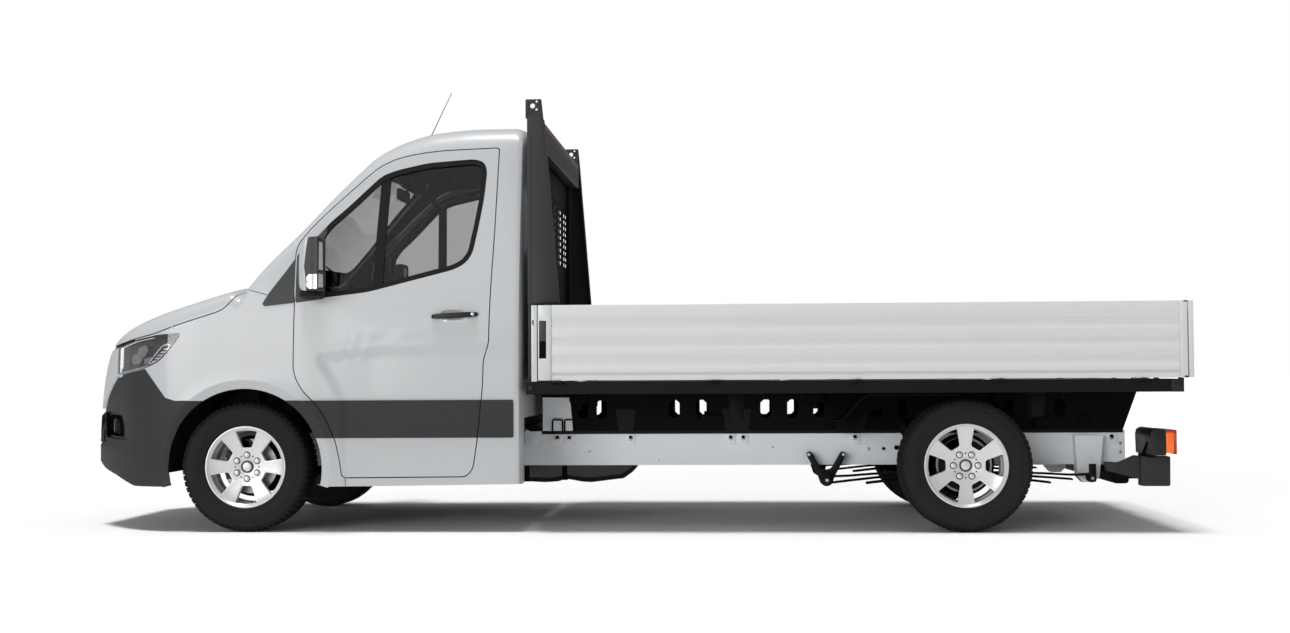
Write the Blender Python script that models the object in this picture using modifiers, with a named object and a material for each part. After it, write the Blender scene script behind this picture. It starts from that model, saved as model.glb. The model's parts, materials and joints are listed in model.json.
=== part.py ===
import math

import bmesh
import bpy
import numpy as np
from mathutils import Matrix, Vector

# Driving sizes in metres: the wheels and wheelbase set where everything else stands
wheelbase = 3.924
tyreRadius = 0.356
tyreWidth = 0.235
rimRadius = 0.2032
wheelY = 0.866
frontOverhang = 1.004
rearOverhang = 1.1885
length = frontOverhang + wheelbase + rearOverhang
frontAxle = frontOverhang - length / 2
rearAxle = frontAxle + wheelbase
axleHeight = tyreRadius

# Fits between pieces
touch = 0.0003
shut = 0.006
panel = 0.045
steerLimit = 36

# Cab shape: x counts from the front axle, z from the ground
cabRear = 1.53
nose = -frontOverhang
roofLine = [
    (nose, 0.50), (-0.995, 0.62), (-0.975, 0.76), (-0.945, 0.89), (-0.91, 0.99), (-0.865, 1.06),
    (-0.79, 1.12), (-0.66, 1.19), (-0.48, 1.265), (-0.30, 1.325), (-0.13, 1.375), (-0.04, 1.40),
    (0.0, 1.47), (0.30, 1.80), (0.56, 2.06), (0.70, 2.165), (0.85, 2.225), (1.05, 2.265), (1.28, 2.28),
    (1.46, 2.28), (cabRear, 2.26),
]
crownDrop = [
    (nose, 0.01), (-0.9, 0.03), (-0.3, 0.045), (-0.1, 0.045), (0.0, 0.09), (0.5, 0.11), (0.75, 0.08),
    (1.0, 0.055), (cabRear, 0.05),
]
cornerRound = [(nose, 0.05), (-0.9, 0.09), (-0.3, 0.09), (0.0, 0.06), (0.6, 0.07), (0.9, 0.12), (cabRear, 0.12)]
halfWidth = [
    (0.25, 0.985), (0.6, 1.0), (0.75, 1.0), (1.0, 0.995), (1.25, 0.975), (1.6, 0.925), (1.9, 0.865),
    (2.1, 0.82), (2.3, 0.77),
]
sillLine = [(nose, 0.37), (-0.95, 0.315), (-0.85, 0.275), (-0.67, 0.23), (-0.3, 0.23), (0.45, 0.244), (cabRear, 0.262)]
noseTaper = 0.5
taperStart = -0.25
stations = [
    nose, -0.985, -0.955, -0.92, -0.87, -0.80, -0.70, -0.58, -0.44, -0.30, -0.16, -0.04, 0.02, 0.16, 0.30, 0.44,
    0.56, 0.68, 0.82, 1.0, 1.2, 1.4, cabRear,
]

# Side outlines of the cab's panels, front to rear, as (x, z)
doorOutline = [
    (0.277, 1.27), (0.277, 0.861), (0.338, 0.762), (0.411, 0.696), (0.467, 0.614), (0.511, 0.505),
    (0.533, 0.396), (0.545, 0.300), (1.228, 0.305), (1.262, 0.35), (1.294, 0.557), (1.316, 0.80),
    (1.320, 0.937), (1.349, 1.03), (1.355, 1.269), (1.372, 1.656), (1.380, 2.106), (1.065, 2.088),
    (0.897, 2.062), (0.785, 2.03), (0.700, 1.992), (0.588, 1.888), (0.447, 1.761), (0.334, 1.651),
    (0.280, 1.573), (0.270, 1.49), (0.270, 1.334),
]
windowOutline = [
    (0.413, 1.291), (0.738, 1.338), (1.072, 1.418), (1.172, 1.45), (1.223, 1.494), (1.261, 1.571),
    (1.295, 1.819), (1.306, 1.957), (1.295, 2.005), (1.24, 2.025), (1.017, 2.010), (0.793, 1.969),
    (0.715, 1.931), (0.569, 1.789), (0.424, 1.646), (0.39, 1.56), (0.385, 1.34),
]
bonnetOutline = [
    (-1.2, 0.985), (-0.95, 1.012), (-0.80, 1.058), (-0.629, 1.078), (-0.508, 1.099), (-0.394, 1.138),
    (-0.281, 1.181), (-0.168, 1.236), (-0.066, 1.325), (-0.046, 1.36), (-0.042, 1.7), (-1.2, 1.7),
]
lampOutline = [
    (-1.2, 0.862), (-0.75, 0.872), (-0.599, 0.905), (-0.488, 0.931), (-0.421, 0.986), (-0.376, 1.041),
    (-0.365, 1.08), (-0.515, 1.084), (-0.629, 1.068), (-0.80, 1.049), (-0.95, 1.003), (-1.2, 0.976),
]
bumperOutline = [
    (-1.2, 0.1), (-1.2, 0.9), (-0.586, 0.9), (-0.523, 0.826), (-0.449, 0.737), (-0.392, 0.72), (-0.20, 0.72),
    (-0.20, 0.1),
]
fenderOutline = [
    (-1.2, 0.1), (-1.2, 1.345), (-0.036, 1.345), (0.30, 1.253), (0.30, 0.83), (0.56, 0.50), (0.56, 0.1),
]
grilleHalf = 0.527
lampInner = grilleHalf + shut / 2
grilleLow = 0.69
archRadius = 0.43
archInner = 0.52
cowlHalf = 0.80
cowlRear = 0.045
screenOutline = [(-0.83, 1.44), (0.83, 1.44), (0.665, 2.10), (-0.665, 2.10)]
rearWindow = [(-0.60, 1.42), (0.60, 1.42), (0.56, 1.95), (-0.56, 1.95)]
doorHinge = (0.262, 1.006)
doorPin = 0.0085
bonnetHinge = (-0.039, 1.402)
bonnetPin = 0.009

# Frame, bed and boards
railOuter = 0.45
railInner = 0.39
railLow = 0.335
railTop = 0.529
railEnd = 4.878
bedFront = 1.565
bedRear = 5.054
bedHalf = 1.04
postInner = bedHalf - 0.11
postOuter = bedHalf - 0.055
postFront = bedFront + 0.002
postRear = bedFront + 0.035
headTop = 2.362
bedLow = round(2 * tyreRadius + 0.036, 4)
bedTop = round(bedLow + 0.069, 4)
boardLow = round(bedTop + shut, 4)
boardTop = round(boardLow + 0.407, 4)
boardThick = 0.025
boardOuter = bedHalf + 0.02
boardFront = bedFront + 0.067
boardRear = bedRear + 0.018
boardHinge = round(bedTop - 0.002, 4)
boardPin = 0.0075
boardAxisY = boardOuter + 0.002
tailAxisX = wheelbase + rearOverhang - boardPin
tailOuter = tailAxisX - 0.002
guardInner = 0.60
guardOuter = 0.97
guardSide = [
    (-0.674, 0.53), (-0.655, 0.58), (-0.614, 0.65), (-0.554, 0.71), (-0.504, 0.737), (0.02, 0.737), (0.076, 0.722),
    (-0.044, 0.726), (-0.204, 0.722), (-0.324, 0.705), (-0.424, 0.675), (-0.504, 0.625), (-0.554, 0.565), (-0.574, 0.53),
]
springY = 0.555
kingpinY = 0.83
sideHinges = (1.723, 2.568, 3.330, 4.083, 4.828)
tailHinges = (-0.80, -0.27, 0.27, 0.80)

# Start from an empty file, with one collection for the truck and one for what cuts it
for thing in list(bpy.data.objects):
    bpy.data.objects.remove(thing)
truck = bpy.data.collections.new("cab_truck")
cutters = bpy.data.collections.new("cutters")
cutters.hide_render = True
for group in (truck, cutters):
    bpy.context.scene.collection.children.link(group)


# Materials
def paint(name, color, roughness, metallic=0.0, alpha=1.0):
    material = bpy.data.materials.new(name)
    material.use_nodes = True
    shader = material.node_tree.nodes["Principled BSDF"]
    shader.inputs["Base Color"].default_value = (*color, 1)
    shader.inputs["Roughness"].default_value = roughness
    shader.inputs["Metallic"].default_value = metallic
    shader.inputs["Alpha"].default_value = alpha
    material.diffuse_color = (*color, alpha)
    return material


finishes = {
    "cab_paint": ((0.80, 0.81, 0.82), 0.3, 0.0, 1.0),
    "dark_plastic": ((0.05, 0.05, 0.055), 0.6, 0.0, 1.0),
    "glass": ((0.55, 0.62, 0.64), 0.05, 0.0, 0.35),
    "lamp_lens": ((0.75, 0.78, 0.80), 0.1, 0.0, 0.6),
    "red_lens": ((0.55, 0.03, 0.02), 0.2, 0.0, 1.0),
    "frame_paint": ((0.62, 0.63, 0.64), 0.5, 0.0, 1.0),
    "black_steel": ((0.03, 0.03, 0.032), 0.5, 0.3, 1.0),
    "bed_aluminium": ((0.72, 0.73, 0.74), 0.35, 0.9, 1.0),
    "bed_floor": ((0.16, 0.10, 0.06), 0.7, 0.0, 1.0),
    "seat_cloth": ((0.07, 0.07, 0.08), 0.9, 0.0, 1.0),
    "cast_iron": ((0.12, 0.12, 0.12), 0.6, 0.6, 1.0),
    "alloy": ((0.66, 0.67, 0.68), 0.3, 0.9, 1.0),
    "tyre": ((0.02, 0.02, 0.02), 0.85, 0.0, 1.0),
}
paints = {name: paint(name, *values) for name, values in finishes.items()}


# Shared helpers: every x here counts from the front axle and is moved to the frame on the way in
def piece(name, mesh, material):
    data = bpy.data.meshes.new(name)
    bmesh.ops.recalc_face_normals(mesh, faces=mesh.faces)
    mesh.to_mesh(data)
    mesh.free()
    made = bpy.data.objects.new(name, data)
    if material is None:
        made.display_type = "WIRE"
        cutters.objects.link(made)
    else:
        data.materials.append(paints[material])
        truck.objects.link(made)
    return made


def cutter(name, mesh):
    return piece(f"cut_{name}", mesh, None)


def combine(made, other, operation):
    step = made.modifiers.new(other.name, "BOOLEAN")
    step.operation = operation
    step.solver = "EXACT"
    step.object = other


def addBox(mesh, x, y, z):
    low, high = Vector((x[0], y[0], z[0])), Vector((x[1], y[1], z[1]))
    middle = (low + high) / 2 + Vector((frontAxle, 0, 0))
    size = high - low
    bmesh.ops.create_cube(mesh, size=1, matrix=Matrix.Translation(middle) @ Matrix.Diagonal((*size, 1)))


def addPrism(mesh, outline, axis, low, high):
    rings = []
    for depth in (low, high):
        ring = []
        for a, b in outline:
            place = {"y": (a + frontAxle, depth, b), "x": (depth + frontAxle, a, b), "z": (a + frontAxle, b, depth)}
            ring.append(mesh.verts.new(place[axis]))
        rings.append(ring)
    count = len(outline)
    mesh.faces.new(rings[0][::-1])
    mesh.faces.new(rings[1])
    for i in range(count):
        j = (i + 1) % count
        mesh.faces.new((rings[0][i], rings[0][j], rings[1][j], rings[1][i]))


def addRod(mesh, start, end, radius, sides=12, endRadius=None):
    first = Vector(start) + Vector((frontAxle, 0, 0))
    last = Vector(end) + Vector((frontAxle, 0, 0))
    along = last - first
    turn = along.to_track_quat("Z", "Y").to_matrix().to_4x4()
    bmesh.ops.create_cone(
        mesh, cap_ends=True, segments=sides, radius1=radius, radius2=radius if endRadius is None else endRadius,
        depth=along.length, matrix=Matrix.Translation((first + last) / 2) @ turn)


def addSpun(mesh, profile, centre, steps, side=1):
    # Profile points are (distance along Y, radius); points on the axis close the shape
    ring = []
    for along, radius in profile:
        ring.append(mesh.verts.new((centre[0] + frontAxle, centre[1] + side * along, centre[2] + radius)))
    edges = [mesh.edges.new((ring[i], ring[i + 1])) for i in range(len(ring) - 1)]
    if profile[0][1] > 0:
        edges.append(mesh.edges.new((ring[-1], ring[0])))
    bmesh.ops.spin(
        mesh, geom=ring + edges, cent=(centre[0] + frontAxle, centre[1], centre[2]), axis=(0, 1, 0),
        angle=math.tau, steps=steps, use_merge=True)
    bmesh.ops.remove_doubles(mesh, verts=mesh.verts, dist=0.00005)


def offset(outline, distance):
    # Moves each side of a closed outline outward by the distance
    points = [Vector(point) for point in outline]
    count = len(points)
    area = sum(points[i].x * points[(i + 1) % count].y - points[(i + 1) % count].x * points[i].y for i in range(count))
    sign = 1 if area > 0 else -1
    moved = []
    for i in range(count):
        before = (points[i] - points[i - 1]).normalized()
        after = (points[(i + 1) % count] - points[i]).normalized()
        normalA = Vector((before.y, -before.x)) * sign
        normalB = Vector((after.y, -after.x)) * sign
        between = (normalA + normalB).normalized()
        moved.append(tuple(points[i] + between * distance / max(0.35, between.dot(normalA))))
    return moved


def prismCutter(name, outline, axis, low, high):
    mesh = bmesh.new()
    addPrism(mesh, outline, axis, low, high)
    return cutter(name, mesh)


def boxCutter(name, x, y, z):
    mesh = bmesh.new()
    addBox(mesh, x, y, z)
    return cutter(name, mesh)


# The cab's outer surface as formulas, eroded inward by a ball of the inset's radius
def table(rows, at):
    return float(np.interp(at, [row[0] for row in rows], [row[1] for row in rows]))


def taper(x):
    reach = max(0.0, (taperStart - x) / (taperStart - nose))
    return 1 - noseTaper * reach ** 3.2


def eroded(value, x, inset):
    if inset <= 0:
        return value(x) - inset
    return min(value(x + inset * math.cos(a)) - inset * math.sin(a) for a in np.linspace(0, math.pi, 13))


def section(x, inset):
    top = eroded(lambda at: table(roofLine, at), x, inset)
    low = table(sillLine, x)
    drop = table(crownDrop, x)

    def side(z):
        return eroded(lambda at: table(halfWidth, z) * taper(at), x, inset)

    def over(y):
        return top - drop * (y / 0.8) ** 2.5

    corner = top
    for _ in range(12):
        corner = 0.5 * corner + 0.5 * over(side(corner))
    rounding = min(table(cornerRound, x), 0.45 * (corner - low))
    begin = corner - rounding
    points = [(side(z), z) for z in np.linspace(low, begin, 5)]
    edge, inner = side(corner), side(corner) - rounding
    for t in (0.25, 0.5, 0.75):
        y = (1 - t) ** 2 * side(begin) + 2 * t * (1 - t) * edge + t ** 2 * inner
        z = (1 - t) ** 2 * begin + 2 * t * (1 - t) * corner + t ** 2 * over(inner)
        points.append((y, z))
    points += [(inner * s, over(inner * s)) for s in (1.0, 0.68, 0.34)]
    left = [(-y, z) for y, z in points]
    return left + [(0.0, over(0))] + points[::-1]


def bell(mesh, inset):
    # Lays one closed surface of the cab down at an inset, open underneath
    grid = []
    for x in stations:
        share = (x - nose) / (cabRear - nose)
        at = nose + inset + share * (cabRear - nose - 2 * inset)
        grid.append([mesh.verts.new((at + frontAxle, y, z)) for y, z in section(at, inset)])
    faces = []
    for a, b in zip(grid[:-1], grid[1:]):
        for j in range(len(a) - 1):
            faces.append(mesh.faces.new((a[j], b[j], b[j + 1])))
            faces.append(mesh.faces.new((a[j], b[j + 1], a[j + 1])))
    faces.append(mesh.faces.new(grid[0]))
    faces.append(mesh.faces.new(grid[-1][::-1]))
    rim = [row[0] for row in grid] + [row[-1] for row in grid[::-1]]
    return rim, faces


def shell(outer, inner):
    mesh = bmesh.new()
    outside, _ = bell(mesh, outer)
    inside, _ = bell(mesh, inner)
    for i in range(len(outside)):
        j = (i + 1) % len(outside)
        mesh.faces.new((outside[i], outside[j], inside[j], inside[i]))
    return mesh


def filled(inset):
    mesh = bmesh.new()
    rim, _ = bell(mesh, inset)
    mesh.faces.new(rim)
    return mesh


sides = {"left": -1, "right": 1}
wide = 1.3
cabSolid = cutter("cab_outside", filled(-touch))
cabInside = cutter("cab_inside", filled(panel + touch))
cabClear = cutter("cab_clear", filled(panel + shut))


def spans(side, low, high):
    return tuple(sorted((side * low, side * high)))


# What the panels are cut with, each made once and grown by the gap that the join needs
doorCuts = {s: prismCutter(f"door_{s}", offset(doorOutline, shut), "y", *spans(k, 0.45, wide)) for s, k in sides.items()}
fenderCuts = {s: prismCutter(f"fender_{s}", fenderOutline, "y", *spans(k, 0.6, wide)) for s, k in sides.items()}
lampCuts = {s: prismCutter(f"lamp_{s}", lampOutline, "y", *spans(k, lampInner, wide)) for s, k in sides.items()}
bonnetCut = prismCutter("bonnet", offset(bonnetOutline, shut), "y", -wide, wide)
bumperCut = prismCutter("bumper", bumperOutline, "y", -wide, wide)
grilleCut = boxCutter("grille", (-1.2, -0.5), (-grilleHalf, grilleHalf), (grilleLow, 1.2))
cowlCut = boxCutter("cowl", (-0.2, cowlRear), (-cowlHalf, cowlHalf), (1.2, 1.7))
screenCut = prismCutter("screen", screenOutline, "x", 0.03, 0.80)


def archCutter(name, x, side):
    mesh = bmesh.new()
    addRod(mesh, (x, side * archInner, axleHeight), (x, side * wide, axleHeight), archRadius, 36)
    addBox(mesh, (x - 0.30, x + 0.30), spans(side, archInner, wide), (-0.1, 0.12))
    return cutter(name, mesh)


archCuts = {s: archCutter(f"arch_{s}", 0.0, k) for s, k in sides.items()}


# Cab shell and its panels
def cabBody():
    made = piece("cab_body", shell(0, panel), "cab_paint")
    combine(made, boxCutter("cab_front", (-1.3, -0.036 + touch), (-wide, wide), (0.0, 2.5)), "DIFFERENCE")
    for s in sides:
        low = prismCutter(f"cab_low_{s}", offset(fenderOutline, touch), "y", *spans(sides[s], 0.0, wide))
        combine(made, low, "DIFFERENCE")
        combine(made, doorCuts[s], "DIFFERENCE")
    combine(made, screenCut, "DIFFERENCE")
    combine(made, cowlCut, "DIFFERENCE")
    combine(made, prismCutter("rear_window", rearWindow, "x", 1.40, 1.60), "DIFFERENCE")
    combine(made, boxCutter("cab_under", (1.35, 1.60), (-0.86, 0.86), (0.1, 0.62)), "DIFFERENCE")


def fender(s):
    made = piece(f"fender_{s}", shell(0, panel), "cab_paint")
    combine(made, fenderCuts[s], "INTERSECT")
    combine(made, bonnetCut, "DIFFERENCE")
    combine(made, doorCuts[s], "DIFFERENCE")
    combine(made, prismCutter(f"bumper_{s}", offset(bumperOutline, touch), "y", -wide, wide), "DIFFERENCE")
    wider = spans(sides[s], lampInner - touch, wide)
    combine(made, prismCutter(f"lamp_gap_{s}", offset(lampOutline, touch), "y", *wider), "DIFFERENCE")
    combine(made, boxCutter(f"nose_{s}", (-1.3, -0.62), (-wide, wide), (0.1, 1.6)), "DIFFERENCE")
    combine(made, archCuts[s], "DIFFERENCE")
    combine(made, cowlCut, "DIFFERENCE")
    pad = boxCutter(f"hinge_pad_{s}", (0.245, 0.268), spans(sides[s], 0.955, doorHinge[1] - doorPin - touch), (1.15, 1.21))
    combine(made, pad, "UNION")


def bumper():
    made = piece("front_bumper", shell(0, panel), "dark_plastic")
    combine(made, bumperCut, "INTERSECT")
    grown = boxCutter("grille_gap", (-1.3, -0.5), (-grilleHalf - touch, grilleHalf + touch), (grilleLow - touch, 1.2))
    combine(made, grown, "DIFFERENCE")
    for s, k in sides.items():
        wider = spans(k, lampInner - touch - 0.01, wide)
        combine(made, prismCutter(f"lamp_bumper_{s}", offset(lampOutline, touch), "y", *wider), "DIFFERENCE")
        combine(made, archCuts[s], "DIFFERENCE")


def grille():
    made = piece("grille", shell(0, panel), "dark_plastic")
    combine(made, grilleCut, "INTERSECT")
    combine(made, bonnetCut, "DIFFERENCE")


def headlamp(s):
    made = piece(f"headlamp_{s}", shell(0, panel), "lamp_lens")
    combine(made, lampCuts[s], "INTERSECT")


def bonnet():
    made = piece("bonnet", shell(0, panel), "cab_paint")
    combine(made, prismCutter("bonnet_own", bonnetOutline, "y", -wide, wide), "INTERSECT")
    x, z = bonnetHinge
    for s, k in sides.items():
        combine(made, boxCutter(f"bonnet_leaf_{s}", (-0.085, -0.041), spans(k, 0.40, 0.46), (1.362, z)), "UNION")
        mesh = bmesh.new()
        addRod(mesh, (x, k * 0.40, z), (x, k * 0.46, z), bonnetPin, 12)
        combine(made, cutter(f"bonnet_pin_{s}", mesh), "UNION")


def cowl():
    made = piece("cowl_panel", shell(0, panel), "dark_plastic")
    low = boxCutter("cowl_own", (-0.036 + touch, cowlRear - touch), (-cowlHalf + touch, cowlHalf - touch), (1.2, 1.7))
    combine(made, low, "INTERSECT")
    combine(made, screenCut, "DIFFERENCE")
    x, z = bonnetHinge
    for s, k in sides.items():
        mesh = bmesh.new()
        addRod(mesh, (x, k * 0.395, z), (x, k * 0.465, z), bonnetPin + 0.0008, 12)
        combine(made, cutter(f"pin_groove_{s}", mesh), "DIFFERENCE")


def windscreen():
    made = piece("windscreen", shell(0.006, 0.014), "glass")
    own = prismCutter("screen_own", offset(screenOutline, -touch), "x", 0.03 + touch, 0.80)
    combine(made, own, "INTERSECT")


def rearGlass():
    mesh = bmesh.new()
    addPrism(mesh, offset(rearWindow, -touch), "x", cabRear - 0.030, cabRear - 0.022)
    piece("rear_window", mesh, "glass")


def door(s):
    k = sides[s]
    made = piece(f"door_{s}", shell(0, panel), "cab_paint")
    own = bmesh.new()
    addPrism(own, doorOutline, "y", *spans(k, 0.45, wide))
    inner = offset(doorOutline, -0.022)
    ring = [v for v in own.verts if abs(v.co.y) < 0.5]
    for vert, (x, z) in zip(ring, inner):
        vert.co.x, vert.co.z = x + frontAxle, z
    combine(made, cutter(f"door_own_{s}", own), "INTERSECT")
    combine(made, prismCutter(f"window_{s}", windowOutline, "y", *spans(k, 0.5, wide)), "DIFFERENCE")
    x, y = doorHinge
    for i, low in enumerate((0.88, 1.15)):
        leaf = [(x, k * (y - 0.0055)), (x, k * (y + 0.004)), (x + 0.05, k * (y + 0.004)), (x + 0.05, k * (y - 0.05)),
                (x + 0.022, k * (y - 0.05)), (x + 0.022, k * (y - 0.0055))]
        combine(made, prismCutter(f"door_leaf_{s}_{i}", leaf, "z", low, low + 0.06), "UNION")
        mesh = bmesh.new()
        addRod(mesh, (x, k * y, low), (x, k * y, low + 0.06), doorPin, 12)
        combine(made, cutter(f"door_pin_{s}_{i}", mesh), "UNION")


def doorGlass(s):
    made = piece(f"door_glass_{s}", shell(0.018, 0.023), "glass")
    own = prismCutter(f"glass_own_{s}", offset(windowOutline, -touch), "y", *spans(sides[s], 0.5, wide))
    combine(made, own, "INTERSECT")


def mirror(s):
    k = sides[s]
    mesh = bmesh.new()
    addPrism(mesh, [(0.352, 1.305), (0.462, 1.285), (0.458, 1.60), (0.362, 1.605)], "y", *spans(k, 1.03, 1.1725))
    made = piece(f"mirror_{s}", mesh, "dark_plastic")
    arm = bmesh.new()
    addPrism(arm, [(0.29, 1.31), (0.42, 1.33), (0.42, 1.38), (0.30, 1.40)], "y", *spans(k, 0.90, 1.05))
    combine(made, cutter(f"mirror_arm_{s}", arm), "UNION")
    combine(made, cabSolid, "DIFFERENCE")


def antenna():
    mesh = bmesh.new()
    addRod(mesh, (0.885, -0.30, 2.15), (0.885, -0.30, 2.262), 0.025, 12)
    made = piece("antenna", mesh, "dark_plastic")
    rod = bmesh.new()
    addRod(rod, (0.88, -0.30, 2.245), (1.03, -0.30, 2.53), 0.004, 8)
    combine(made, cutter("antenna_rod", rod), "UNION")
    combine(made, cabSolid, "DIFFERENCE")


# Cab inside
def cabFloor():
    mesh = bmesh.new()
    addBox(mesh, (0.0, 1.60), (-wide, wide), (railTop + touch, 0.56))
    made = piece("cab_floor", mesh, "dark_plastic")
    extra = bmesh.new()
    addBox(extra, (0.10, 0.14), (-wide, wide), (0.55, 1.27))
    combine(made, cutter("firewall", extra), "UNION")
    for s, k in sides.items():
        skirt = bmesh.new()
        addBox(skirt, (0.60, 1.44), spans(k, 0.90, 1.1), (0.27, 0.55))
        combine(made, cutter(f"skirt_{s}", skirt), "UNION")
    combine(made, cabInside, "INTERSECT")
    for s, k in sides.items():
        away = prismCutter(f"door_away_{s}", offset(doorOutline, shut), "y", *spans(k, 0.925, wide))
        combine(made, away, "DIFFERENCE")
        mesh = bmesh.new()
        addRod(mesh, (0, k * archInner, axleHeight), (0, k * wide, axleHeight), archRadius, 36)
        combine(made, cutter(f"arch_floor_{s}", mesh), "DIFFERENCE")


def dashboard():
    mesh = bmesh.new()
    profile = [(0.1403, 0.84), (0.1403, 1.33), (0.42, 1.31), (0.58, 1.22), (0.60, 1.12), (0.50, 0.98), (0.42, 0.84)]
    addPrism(mesh, profile, "y", -wide, wide)
    made = piece("dashboard", mesh, "dark_plastic")
    column = bmesh.new()
    addRod(column, (0.45, -0.42, 0.98), (0.634, -0.42, 1.117), 0.035, 12)
    combine(made, cutter("column", column), "UNION")
    combine(made, cutter("dash_clear", filled(0.075)), "INTERSECT")


wheelTilt = math.atan2(1.117 - 0.98, 0.634 - 0.45)
steeringCentre = (0.634 + touch * math.cos(wheelTilt), -0.42, 1.117 + touch * math.sin(wheelTilt))


def steeringWheel():
    hub = Vector(steeringCentre)
    along = Vector((math.cos(wheelTilt), 0, math.sin(wheelTilt)))
    rim = hub + along * 0.05
    mesh = bmesh.new()
    turn = along.to_track_quat("Z", "Y").to_matrix().to_4x4()
    place = Matrix.Translation(rim + Vector((frontAxle, 0, 0))) @ turn
    ring = bmesh.ops.create_circle(mesh, segments=8, radius=0.014, matrix=Matrix.Translation((0.19, 0, 0)) @
                                   Matrix.Rotation(math.pi / 2, 4, "X"))
    bmesh.ops.spin(mesh, geom=ring["verts"] + list(mesh.edges), cent=(0, 0, 0), axis=(0, 0, 1), angle=math.tau,
                   steps=24, use_merge=True)
    bmesh.ops.transform(mesh, matrix=place, verts=mesh.verts)
    made = piece("steering_wheel", mesh, "dark_plastic")
    boss = bmesh.new()
    addRod(boss, tuple(hub), tuple(rim + along * 0.012), 0.05, 12)
    combine(made, cutter("wheel_boss", boss), "UNION")
    across = place.to_3x3()
    for name, angle in (("a", 0), ("b", 180), ("c", 270)):
        reach = across @ Vector((math.sin(math.radians(angle + 90)), math.cos(math.radians(angle + 90)), 0)) * 0.19
        spoke = bmesh.new()
        addRod(spoke, tuple(rim - along * 0.012), tuple(rim + reach), 0.012, 8)
        combine(made, cutter(f"wheel_spoke_{name}", spoke), "UNION")


def seat(name, y):
    mesh = bmesh.new()
    profile = [
        (0.86, 0.56 + touch), (1.28, 0.56 + touch), (1.30, 0.80), (1.37, 0.86), (1.47, 1.60), (1.40, 1.64),
        (1.35, 1.60), (1.23, 1.02), (0.84, 1.02), (0.79, 0.97), (0.80, 0.88), (0.86, 0.84),
    ]
    addPrism(mesh, profile, "y", *y)
    made = piece(name, mesh, "seat_cloth")
    middle = (y[0] + y[1]) / 2
    count = 2 if y[1] - y[0] > 0.7 else 1
    for i in range(count):
        at = middle if count == 1 else y[0] + (i + 0.5) * (y[1] - y[0]) / 2
        head = bmesh.new()
        addPrism(head, [(1.39, 1.58), (1.465, 1.58), (1.48, 1.80), (1.40, 1.82), (1.37, 1.75)], "y", at - 0.13, at + 0.13)
        combine(made, cutter(f"{name}_head_{i}", head), "UNION")


# Running gear
def tyre(name, x, side):
    half = tyreWidth / 2
    bead = rimRadius + 0.0023
    top = tyreRadius
    outer = [(0.09, bead), (0.110, 0.235), (half, 0.290), (0.106, 0.340), (0.085, top)]
    inner = [(0.090, 0.32), (0.068, bead)]
    profile = outer + [(-y, r) for y, r in outer[::-1]] + [(-y, r) for y, r in inner[::-1]] + inner
    mesh = bmesh.new()
    addSpun(mesh, profile, (x, side * wheelY, axleHeight), 28)
    piece(name, mesh, "tyre")


def rim(name, x, side):
    seatR = rimRadius + 0.002
    profile = [
        (0.072, 0.0), (0.072, 0.052), (0.056, 0.075), (0.074, 0.176), (0.103, 0.200), (0.103, 0.2125),
        (0.0975, 0.2125), (0.092, seatR), (0.068, seatR), (0.050, 0.188), (-0.050, 0.188), (-0.068, seatR),
        (-0.092, seatR), (-0.0975, 0.2125), (-0.103, 0.2125), (-0.103, 0.200), (-0.050, 0.182), (0.034, 0.182),
        (0.020, 0.080), (0.020, 0.0),
    ]
    mesh = bmesh.new()
    addSpun(mesh, profile, (x, side * wheelY, axleHeight), 28, side)
    made = piece(name, mesh, "alloy")
    gaps = bmesh.new()
    for i in range(6):
        spread = math.radians(60 * i + (30 if x > 1 else 0))
        points = []
        for radius, half in ((0.099, 0.20), (0.168, 0.305), (0.178, 0.25), (0.178, -0.25), (0.168, -0.305), (0.099, -0.20)):
            points.append((x + radius * math.sin(spread + half), axleHeight + radius * math.cos(spread + half)))
        addPrism(gaps, points, "y", *spans(side, wheelY - 0.02, wheelY + 0.12))
    combine(made, cutter(f"{name}_gaps", gaps), "DIFFERENCE")


def knuckle(s):
    k = sides[s]
    mesh = bmesh.new()
    addRod(mesh, (0, k * 0.801, axleHeight), (0, k * (wheelY + 0.02 - touch), axleHeight), 0.045, 16)
    made = piece(f"knuckle_{s}", mesh, "cast_iron")
    disc = bmesh.new()
    addRod(disc, (0, k * 0.838, axleHeight), (0, k * 0.862, axleHeight), 0.124, 28)
    combine(made, cutter(f"disc_{s}", disc), "UNION")
    upright = bmesh.new()
    addBox(upright, (-0.028, 0.028), spans(k, 0.795, 0.840), (0.226, 0.486))
    combine(made, cutter(f"upright_{s}", upright), "UNION")
    caliper = bmesh.new()
    addBox(caliper, (-0.135, -0.075), spans(k, 0.80, 0.879), (axleHeight - 0.07, axleHeight + 0.07))
    combine(made, cutter(f"caliper_{s}", caliper), "UNION")
    link = bmesh.new()
    addBox(link, (-0.10, 0.0), spans(k, 0.80, 0.835), (axleHeight - 0.03, axleHeight + 0.03))
    combine(made, cutter(f"caliper_link_{s}", link), "UNION")


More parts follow.
